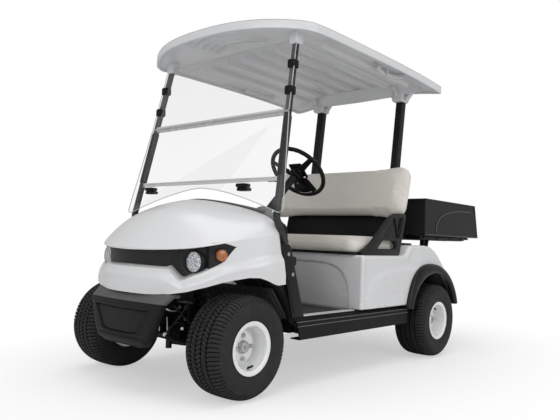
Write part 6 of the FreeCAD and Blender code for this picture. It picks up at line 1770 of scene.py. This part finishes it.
@dataclass
class LoadBox:
    """Dark cargo box with rolled rims and arched panels in its sides, and a drop tailgate."""

    half: float = 0.4995
    low: float = 0.7722
    high: float = 1.0115
    front: float = -1.6505
    hinge: tuple[float, float] = (-2.489, 0.764)
    hinge_y: float = 0.380
    arch_foot: tuple[float, float] = (-2.46, 0.78)
    arch_size: tuple[float, float] = (0.65, 0.180)

    def rear(self, z: Array) -> Array:
        """Return the side wall's rear end by height."""
        return -2.472 + 0.062 * (z - self.low) / 0.24

    def build(self) -> None:
        """Build the walls, rims, slats, hinges and the tailgate."""
        surface, beads = Surface(), Surface()
        (x0, z0), (long, tall) = self.arch_foot, self.arch_size
        for side in (1, -1):
            u, v = np.meshgrid(np.linspace(0, 1, 64), np.linspace(0, 1, 40))
            z = self.low + (self.high - self.low) * v
            x = self.front + (self.rear(z) - self.front) * u
            inside = (np.abs(x - x0) / long) ** 3 + (np.abs(z - z0) / tall) ** 3
            rise = 0.0035 * (1 - smooth(0.92, 1.04, inside))
            outer = np.stack([x, side * (self.half - 0.0045 + np.minimum(rise, 0.0044)), z], axis=-1)
            inner = np.stack([x, side * (self.half - 0.0085) + 0 * x, z], axis=-1)
            self.shell(surface, outer, inner)
            rim = np.stack([self.front + (self.rear(self.high) - self.front) * np.linspace(0, 1, 12),
                            np.full(12, side * (self.half - 0.006)), np.full(12, self.high - 0.004)], axis=1)
            surface.sweep(rim, bar(0.006, 0.0045, 0.003))
            t = np.linspace(0.02, math.pi / 2 - 0.06, 60)
            arch = np.stack([x0 + long * np.cos(t) ** (2 / 3), np.full(60, side * (self.half - 0.0012)),
                             z0 + tall * np.sin(t) ** (2 / 3)], axis=1)
            beads.tube(arch[arch[:, 0] > -2.44], 0.0026, 8, 0, (0.0, 1.0, 0.0))
            beads.tube(rim[[0, -1]] + [0, 0.005 * side, 0.0035], 0.0018, 8)
            beads.tube([(self.front - 0.004, (self.half - 0.001) * side, self.low + 0.004),
                        (-2.440, (self.half - 0.001) * side, self.low + 0.004)], 0.0022, 8)
            foot = rim * [1, 1, 0] + [0, 0, self.low + 0.006]
            foot[:, 0] = np.linspace(self.front, -2.470, 12)
            surface.sweep(foot, bar(0.006, 0.006, 0.003))
            post = np.array([[self.front - 0.006, side * (self.half - 0.006), z0] for z0 in (self.low, self.high)])
            surface.tube(np.linspace(post[0], post[1], 4), 0.0058, 12, 0, (1.0, 0.0, 0.0))
        u, v = np.meshgrid(np.linspace(-1, 1, 60), np.linspace(0, 1, 40))
        y, z = u * (self.half - 0.004), self.low + (self.high - self.low) * v
        bead = 0.003 * smooth(0.0, 0.5, np.cos(u * math.pi * 3)) * smooth(0.1, 0.2, v) * (1 - smooth(0.8, 0.9, v))
        outer = np.stack([self.front - 0.0035 + bead, y, z], axis=-1)
        self.shell(surface, outer, outer - [0.004, 0, 0])
        rim = np.stack([np.full(12, self.front - 0.005), np.linspace(-self.half + 0.004, self.half - 0.004, 12),
                        np.full(12, self.high - 0.004)], axis=1)
        surface.sweep(rim, bar(0.005, 0.0045, 0.003))
        u, v = np.meshgrid(np.linspace(0, 1, 36), np.linspace(-1, 1, 120))
        x, y = self.front - 0.004 + (-2.468 - self.front) * u, v * (self.half - 0.006)
        corrugation = 0.0022 * smooth(-0.3, 0.3, np.cos(y * 2 * math.pi / 0.083)) * smooth(0, 0.02, u * (1 - u))
        top = np.stack([x, y, self.low + 0.0028 + corrugation], axis=-1)
        self.shell(surface, top, np.stack([x, y, np.full_like(x, self.low)], axis=-1))
        beads.fit("box_beads", Finish.TRIM_AND_HIGHLIGHT, 50.0)
        surface.fit("box_tub", Finish.BOX, 32.0, "cargo_box", "black_plastic", weld=1e-6)
        self.fittings()
        self.tailgate()

    @staticmethod
    def shell(surface: Surface, outer: Array, inner: Array) -> None:
        """Close two matching grids into one wall."""
        surface.grid(outer).grid(inner[:, ::-1])
        surface.grid(np.stack([Roof.loop(outer), Roof.loop(inner)]), wrap_v=True)

    def fittings(self) -> None:
        """Build the tubes and pads under the box and the hinge ears with their pins."""
        under = Surface()
        for x in (-1.72, -1.92, -2.12, -2.30):
            under.box((x - 0.014, -0.45, 0.7430), (x + 0.014, 0.45, 0.7705), 0.003)
        for side in (1, -1):
            under.box((-2.36, 0.438 * side - 0.012, 0.746), (-1.68, 0.438 * side + 0.012, 0.7705), 0.003)
            leg = [(-1.872, 0.402 * side, 0.745), (-1.836, 0.402 * side, 0.640)]
            under.sweep(np.linspace(leg[0], leg[1], 4), bar(0.010, 0.010, 0.003, 3), (0, 1, 0))
        under.fit("box_carriers", Finish.FRAME)
        pins, steel = Surface(), Surface()
        x, z = self.hinge
        for side in (1, -1):
            y = self.hinge_y * side
            for hand in (1, -1):
                c = y + (0.0353 + 0.003) * hand
                pins.box((-2.492, c - 0.0028, 0.757), (-2.450, c + 0.0028, 0.7718), 0.001)
                pins.tube([(x, c - 0.0029, z), (x, c + 0.0029, z)], 0.0078, 20)
            steel.tube([(x, y - 0.0405, z), (x, y + 0.0405, z)], 0.0039, 14)
        pins.fit("box_hinge_ears", Finish.FRAME)
        steel.fit("box_hinge_pins", Finish.BOLT)

    def tailgate(self) -> None:
        """Build the gate with an arched bead, its rim, sleeves and two latches."""
        gate = Surface()
        u, v = np.meshgrid(np.linspace(-1, 1, 90), np.linspace(0, 1, 50))
        y, z = u * (self.half - 0.002), self.low + 0.001 + (self.high - self.low - 0.001) * v
        base = self.rear(z) - 0.028
        inside = np.abs(y / 0.43) ** 6 + np.abs((z - 0.80) / 0.165) ** 4
        sink = 0.003 * (1 - smooth(0.85, 1.05, inside)) - 0.002 * np.exp(-((inside - 1.0) / 0.10) ** 2)
        outer = np.stack([base + 0.003 + sink, y, z], axis=-1)
        inner = np.stack([base + 0.0205, y, z], axis=-1)
        self.shell(gate, outer, inner)
        x, z = self.hinge
        for side in (1, -1):
            c = self.hinge_y * side
            gate.tube([(x, c - 0.0348, z), (x, c + 0.0348, z)], 0.0078, 24)
            gate.box((-2.4945, c - 0.034, 0.764), (-2.4835, c + 0.034, 0.776), 0.001)
        gate.fit("gate_panel", Finish.BOX, 32.0, "tailgate", "black_plastic", "tailgate_body", weld=1e-6)
        latch = Surface()
        for side in (1, -1):
            c = 0.462 * side
            latch.box((-2.457, c - 0.014, 0.948), (-2.449, c + 0.014, 0.996), 0.002)
        latch.fit("gate_latches", Finish.BOLT, body="tailgate_body")


# Controls

@dataclass
class Controls:
    """Steering wheel with finger grips and a clip plate, and the column's cover with its stalk."""

    centre: tuple[float, float, float] = (-0.605, 0.269, 1.080)
    tilt: float = 45.6

    def lean(self, points: Array) -> Array:
        """Turn points from the wheel's own plane into place."""
        tipped = turned(points, -self.tilt, "Y", (0, 0, 0))
        return tipped + np.asarray(self.centre)

    def wheel(self) -> None:
        """Build the grip, three flat spokes, the hub and the clip plate."""
        t = np.linspace(0, 2 * math.pi, 180, endpoint=False)
        q = np.linspace(0, 2 * math.pi, 20, endpoint=False)
        bump = 0.0010 * smooth(0.2, 0.8, 0.5 + 0.5 * np.cos(t * 28))
        tube = 0.0114 + bump[:, None] * (0.5 - 0.5 * np.cos(q))[None]
        ring = 0.1575 + tube * np.cos(q)[None]
        points = np.stack([ring * np.cos(t)[:, None], ring * np.sin(t)[:, None], tube * np.sin(q)[None]], axis=-1)
        surface = Surface().grid(self.lean(points.reshape(-1, 3)).reshape(points.shape), wrap_u=True, wrap_v=True)
        axis = self.lean(np.array([[0, 0, 1.0]]))[0] - np.asarray(self.centre)
        for angle in (0, 120, 240):
            turn = math.radians(angle + 180)
            out = np.array([math.cos(turn), math.sin(turn), 0.0])
            path = through([out * 0.018 + [0, 0, -0.024], out * 0.060 + [0, 0, -0.022], out * 0.110 + [0, 0, -0.010],
                            out * 0.152 + [0, 0, 0.0]], 18)
            wide = np.linspace(1.25, 0.8, 18)
            surface.sweep(self.lean(path), ellipse(0.017, 0.0048, 18, 3.0), axis, wide)
        hub = rounded([(-0.040, 0.0), (-0.040, 0.0215), (-0.018, 0.034), (-0.006, 0.034), (0.004, 0.022), (0.004, 0)],
                      0.004, 5)
        surface.lathe(hub, self.centre, axis, 36)
        surface.lathe(np.array([(-0.198, 0.0), (-0.198, 0.0099), (-0.03, 0.0099), (-0.03, 0.0)]), self.centre, axis,
                      24, closed=False)
        surface.fit("steering_grip", Finish.BLACK, 40.0, "steering_wheel", "black_plastic", "steering_wheel_body")
        clip = Surface()

        def lay(p: Array) -> Array:
            """Lay the clip plate on the hub."""
            return self.lean(np.stack([p[:, 0], p[:, 1], 0.006 + p[:, 2]], axis=1))

        clip.plate([bar(0.050, 0.045, 0.012, 6)], 0.004, 0.001, lay)
        clip.plate([rounded([(-0.036, 0.030), (-0.060, 0.026), (-0.060, -0.026), (-0.036, -0.030)], 0.006, 5)],
                   0.010, 0.002, lambda p: lay(p + [0, 0, 0.003]))
        arc = np.radians(np.linspace(148, 212, 24))
        bow = 0.141 * np.column_stack([np.cos(arc), np.sin(arc)])
        moon = np.vstack([bow, [(-0.030, -0.046), (-0.030, 0.046)]])
        clip.plate([moon], 0.008, 0.002, lambda p: lay(p - [0, 0, 0.020]))
        clip.fit("score_clip", Finish.BLACK, body="steering_wheel_body")
        strip = np.stack([0.132 * np.cos(arc), 0.132 * np.sin(arc), np.full(24, -0.0185)], axis=1)[5:-5]
        pale = Surface().sweep(self.lean(strip), ellipse(0.0042, 0.0020, 8), (0.2, 0.1, 1.0))
        for x, y in ((0.020, 0.034), (0.028, -0.030), (-0.024, 0.044), (-0.060, -0.020)):
            pale.tube(self.lean(np.array([(x, y, -0.019), (x + 0.006, y + 0.012, -0.026)])), 0.0045, 10)
        pale.fit("wheel_trim", Finish.RAIL, body="steering_wheel_body")
        spring = Surface()
        arc = np.radians(np.linspace(200, 340, 20))
        path = np.stack([-0.048 + 0.0 * arc, 0.026 * np.cos(arc), 0.017 + 0.004 * np.sin(arc)], axis=1)
        spring.sweep(self.lean(path), ellipse(0.0014, 0.0014, 8), (0.2, 0.1, 1.0))
        spring.fit("clip_spring", Finish.BOLT, body="steering_wheel_body")

    def column(self) -> None:
        """Build the column's cover with a bellows at its foot."""
        axis = unit(np.array([-math.sin(math.radians(self.tilt)), 0.0, math.cos(math.radians(self.tilt))]))
        top = np.asarray(self.centre) - axis * 0.050
        s = np.linspace(0.0, 0.516, 130)
        swell = 0.0205 + 0.0012 * (s < 0.14) - 0.0006
        fold = 0.0022 * np.sin(s * 2 * math.pi / 0.016) * (s > 0.36) * (s < 0.50)
        profile = np.column_stack([-s - 0.002, swell + fold - 0.001])
        closed = np.vstack([[(-0.002, 0.0103)], profile, [(-0.518, 0.0)]])
        surface = Surface().lathe(closed, top, axis, 36, closed=False)
        surface.lathe(np.array([(-0.002, 0.0103), (-0.12, 0.0103), (-0.12, 0.0)]), top, axis, 24, closed=False)
        surface.fit("column_cover", Finish.POST, 40.0, "steering_column", "frame_paint")
        stalk = Surface()
        root = top - axis * 0.045
        stalk.tube([root + [0, -0.018, 0], root + [0.006, -0.070, 0.010], root + [0.010, -0.125, 0.016]], 0.0050, 12,
                   14)
        stalk.lathe(rounded([(0.0, 0.0), (0.0, 0.0085), (0.026, 0.0075), (0.030, 0.0)], 0.003, 4),
                    root + [0.010, -0.123, 0.016], (0.05, -1.0, 0.1), 20)
        stalk.fit("column_stalk", Finish.BLACK)

    def build(self) -> None:
        """Build the wheel and the column."""
        self.wheel()
        self.column()


# Running gear

@dataclass
class RunningGear:
    """Springs, brackets, cables and bolts on the carried-over frame pieces."""

    @staticmethod
    def coil(surface: Surface, a: Sequence[float], b: Sequence[float], radius: float, turns: float,
             wire: float = 0.0055) -> None:
        """Add a coil: the point at share t is a + t(b - a) plus the radius turned by 2 pi turns t."""
        a, b = np.asarray(a, dtype=float), np.asarray(b, dtype=float)
        axis = unit(b - a)
        u = unit(np.cross(axis, [1.0, 0.0, 0.0]))
        w = np.cross(axis, u)
        t = np.linspace(0, 1, int(turns * 22))
        angle = 2 * math.pi * turns * t
        path = a + t[:, None] * (b - a) + radius * (np.cos(angle)[:, None] * u + np.sin(angle)[:, None] * w)
        surface.sweep(path, ellipse(wire, wire, 8), axis)

    def build(self) -> None:
        """Dress the front suspension, the rear axle and the frame."""
        coils, parts, bolts = Surface(), Surface(), Surface()
        for side in (1, -1):
            self.coil(coils, (0.0, 0.243 * side, 0.335), (0.0, 0.165 * side, 0.500), 0.034, 6.0)
            self.coil(coils, (REAR_X + 0.03, 0.300 * side, 0.270), (REAR_X + 0.05, 0.286 * side, 0.520), 0.032, 8.0)
            parts.tube([(REAR_X + 0.03, 0.300 * side, 0.262), (REAR_X + 0.05, 0.286 * side, 0.530)], 0.018, 18)
            parts.box((0.060, 0.200 * side - 0.045, 0.306), (0.108, 0.200 * side + 0.045, 0.400), 0.004)
            parts.box((0.108, 0.150 * side - 0.006, 0.300), (0.190, 0.150 * side + 0.006, 0.420), 0.003)
            parts.tube([(0.190, 0.235 * side, 0.395), (0.130, 0.262 * side, 0.330), (0.060, 0.305 * side, 0.250),
                        (0.020, 0.330 * side, 0.200)], 0.0040, 10, 24)
            parts.tube([(0.020, 0.270 * side, 0.205), (0.100, 0.225 * side, 0.215), (0.170, 0.190 * side, 0.228)],
                       0.0090, 14, 12)
            parts.tube([(0.17, 0.19 * side, 0.20), (0.17, 0.19 * side, 0.30)], 0.014, 16, 0, (1, 0, 0))
            bolts.box((0.180, 0.262 * side - 0.010, 0.428), (0.232, 0.262 * side + 0.010, 0.444), 0.004)
            bolts.tube([(0.237, 0.240 * side, 0.384), (0.215, 0.244 * side, 0.374), (0.180, 0.244 * side, 0.371),
                        (0.166, 0.236 * side, 0.380)], 0.0035, 8, 12)
            bolts.tube([(0.250, 0.214 * side, 0.345), (0.246, 0.214 * side, 0.285)], 0.0035, 8)
            bolts.tube([(0.214, 0.222 * side, 0.345), (0.206, 0.222 * side, 0.272)], 0.0035, 8)
            parts.tube([(0.150, 0.298 * side, 0.422), (0.170, 0.270 * side, 0.360), (0.205, 0.232 * side, 0.290),
                        (0.217, 0.220 * side, 0.261)], 0.0038, 10, 24)
            bolt(bolts, (0.219, 0.222 * side, 0.268), (0.7, 0.7 * side, 0), 0.0065, 0.010)
            bolt(bolts, (0.189, 0.300 * side, 0.301), (0.7, 0.7 * side, 0), 0.0045, 0.005)
            parts.tube([(0.229, 0.240 * side, 0.262), (0.150, 0.262 * side, 0.236), (0.05, 0.290 * side, 0.225)],
                       0.0105, 12, 12)
            for x, y, z in ((0.109, 0.180, 0.330), (0.109, 0.180, 0.380), (0.109, 0.222, 0.330),
                            (0.109, 0.222, 0.380)):
                bolt(bolts, (x, y * side, z), (1, 0, 0), 0.007, 0.006)
            for x in (-0.10, 0.05):
                bolt(bolts, (x, 0.2355 * side, 0.267), (0, side, 0), 0.008, 0.006)
        coils.fit("damper_coils", Finish.POST, 50.0)
        parts.fit("front_brackets", Finish.FRAME, 40.0)
        bolts.fit("gear_bolts", Finish.BOLT)
        dress = {Finish.FRAME: ["main_frame", "front_suspension", "rear_axle", "knuckle_left", "knuckle_right",
                                "tie_rod"],
                 Finish.MAT: ["floor_pan"], Finish.BLACK: ["battery_pack", "pedals"]}
        for finish, names in dress.items():
            for name in names:
                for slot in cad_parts[name].material_slots:
                    slot.material = Paintbox.get(finish)


# Stage

@dataclass
class Stage:
    """Pale floor, soft studio light and the camera."""

    eye: tuple[float, float, float] = (1.917, 2.351, 0.706)
    yaw: float = 221.10
    pitch: float = 2.84
    roll: float = 2.15
    focal: float = 599.19
    image_width: float = 560.0
    sensor: float = 36.0

    def camera(self) -> None:
        """Place the camera: forward from yaw and pitch, turned by roll about the view."""
        yaw, pitch, roll = (math.radians(v) for v in (self.yaw, self.pitch, self.roll))
        ahead = Vector((math.cos(yaw) * math.cos(pitch), math.sin(yaw) * math.cos(pitch), math.sin(pitch)))
        right = ahead.cross(Vector((0, 0, 1))).normalized()
        up = right.cross(ahead)
        turned_right = math.cos(roll) * right + math.sin(roll) * up
        turned_up = -math.sin(roll) * right + math.cos(roll) * up
        data = bpy.data.cameras.new("camera")
        data.sensor_width, data.lens = self.sensor, self.focal / self.image_width * self.sensor
        data.clip_start, data.clip_end = 0.05, 100.0
        camera = bpy.data.objects.new("camera", data)
        rows = [(turned_right[k], turned_up[k], -ahead[k]) for k in range(3)]
        camera.matrix_world = Matrix.Translation((self.eye[0] + AXLE_X, self.eye[1], self.eye[2])) @ Matrix(
            rows).to_4x4()
        bpy.context.scene.collection.objects.link(camera)
        bpy.context.scene.camera = camera

    def floor(self) -> None:
        """Lay a pale floor that fades to white away from the cart for the camera and through the panes."""
        grid = np.stack(np.meshgrid(np.linspace(-30, 30, 3), np.linspace(-30, 30, 3)), axis=-1)
        points = np.concatenate([grid, np.zeros((3, 3, 1))], axis=-1) - [AXLE_X, 0.0, 0.0005]
        g = Graph("studio_floor")
        path = g.node("ShaderNodeLightPath")
        camera = Value(g, path.outputs["Is Camera Ray"])
        g.set(Base_Color=g.mix(camera, (0.80, 0.80, 0.80), (0.90, 0.90, 0.90)), Roughness=0.9, Specular_IOR_Level=0.0)
        white = g.node("ShaderNodeEmission", None, {"Color": (1, 1, 1, 1), "Strength": 1.0})
        x, y = g.axis("X") * 0.62, g.axis("Y")
        far = (x * x + y * y).math("SQRT").step(0.75, 1.75) * 0.50 + 0.50
        seen = camera.math("MAXIMUM", Value(g, path.outputs["Is Transmission Ray"]))
        g.blend(far * seen, g.shader, white)
        thing = Surface().grid(points).piece("studio_floor", g.material, outward=False)

    def light(self) -> None:
        """Light the cart from a bright sky, a wide overhead box and two soft side boxes."""
        world = bpy.data.worlds.new("studio")
        bpy.context.scene.world = world
        world.use_nodes = True
        tree = world.node_tree
        tree.nodes.clear()
        out = tree.nodes.new("ShaderNodeOutputWorld")
        path = tree.nodes.new("ShaderNodeLightPath")
        dim, white = tree.nodes.new("ShaderNodeBackground"), tree.nodes.new("ShaderNodeBackground")
        dim.inputs["Strength"].default_value, white.inputs["Strength"].default_value = 0.50, 1.0
        dim.inputs["Color"].default_value = white.inputs["Color"].default_value = (1.0, 1.0, 1.0, 1.0)
        most = tree.nodes.new("ShaderNodeMath")
        most.operation = "MAXIMUM"
        mixed = tree.nodes.new("ShaderNodeMixShader")
        tree.links.new(path.outputs["Is Camera Ray"], most.inputs[0])
        tree.links.new(path.outputs["Is Transmission Ray"], most.inputs[1])
        tree.links.new(most.outputs[0], mixed.inputs[0])
        tree.links.new(dim.outputs[0], mixed.inputs[1])
        tree.links.new(white.outputs[0], mixed.inputs[2])
        tree.links.new(mixed.outputs[0], out.inputs["Surface"])
        for name, place, target, size, power in (
                ("top_box", (0.3, 0.3, 4.2), (0.1, 0.0, 0.0), 4.2, 96.0),
                ("front_box", (4.6, 1.4, 2.4), (0.9, 0.0, 0.6), 2.6, 49.0),
                ("side_box", (0.2, 4.4, 2.0), (0.0, 0.0, 0.6), 2.6, 42.0),
                ("back_box", (-3.8, -2.6, 2.6), (-0.6, 0.0, 0.8), 2.4, 30.0)):
            data = bpy.data.lights.new(name, "AREA")
            data.shape, data.size, data.energy = "SQUARE", size, power
            lamp = bpy.data.objects.new(name, data)
            lamp.location = place
            lamp.rotation_euler = (Vector(target) - Vector(place)).to_track_quat("-Z", "Y").to_euler()
            lamp.visible_camera = False
            bpy.context.scene.collection.objects.link(lamp)

    def build(self) -> None:
        """Set up the stage."""
        self.camera()
        self.floor()
        self.light()
        bpy.context.scene.view_settings.view_transform = "Standard"


def main() -> None:
    """Build the cart from the ground up, then the stage."""
    logging.basicConfig(level=logging.INFO, format="%(name)s: %(message)s", stream=sys.stdout)
    Stage().build()
    for end, x, y, valve in (("front", 0.0, 0.4525, -97.0), ("rear", REAR_X, 0.4975, 70.0)):
        for hand, side in HANDS:
            Wheel("{}_{}".format(end, hand), "wheel_{}_{}".format(end, hand), x, y * side, side, valve=valve).build()
    for part in (Cowl(), Bumper(), Liner(), Dashboard(), Windshield(), Roof(), Seat(), RearBody(), Sills(), LoadBox(),
                 Controls(), RunningGear()):
        part.build()
        LOG.info("%s is done", type(part).__name__)


if __name__ == "__main__":
    main()
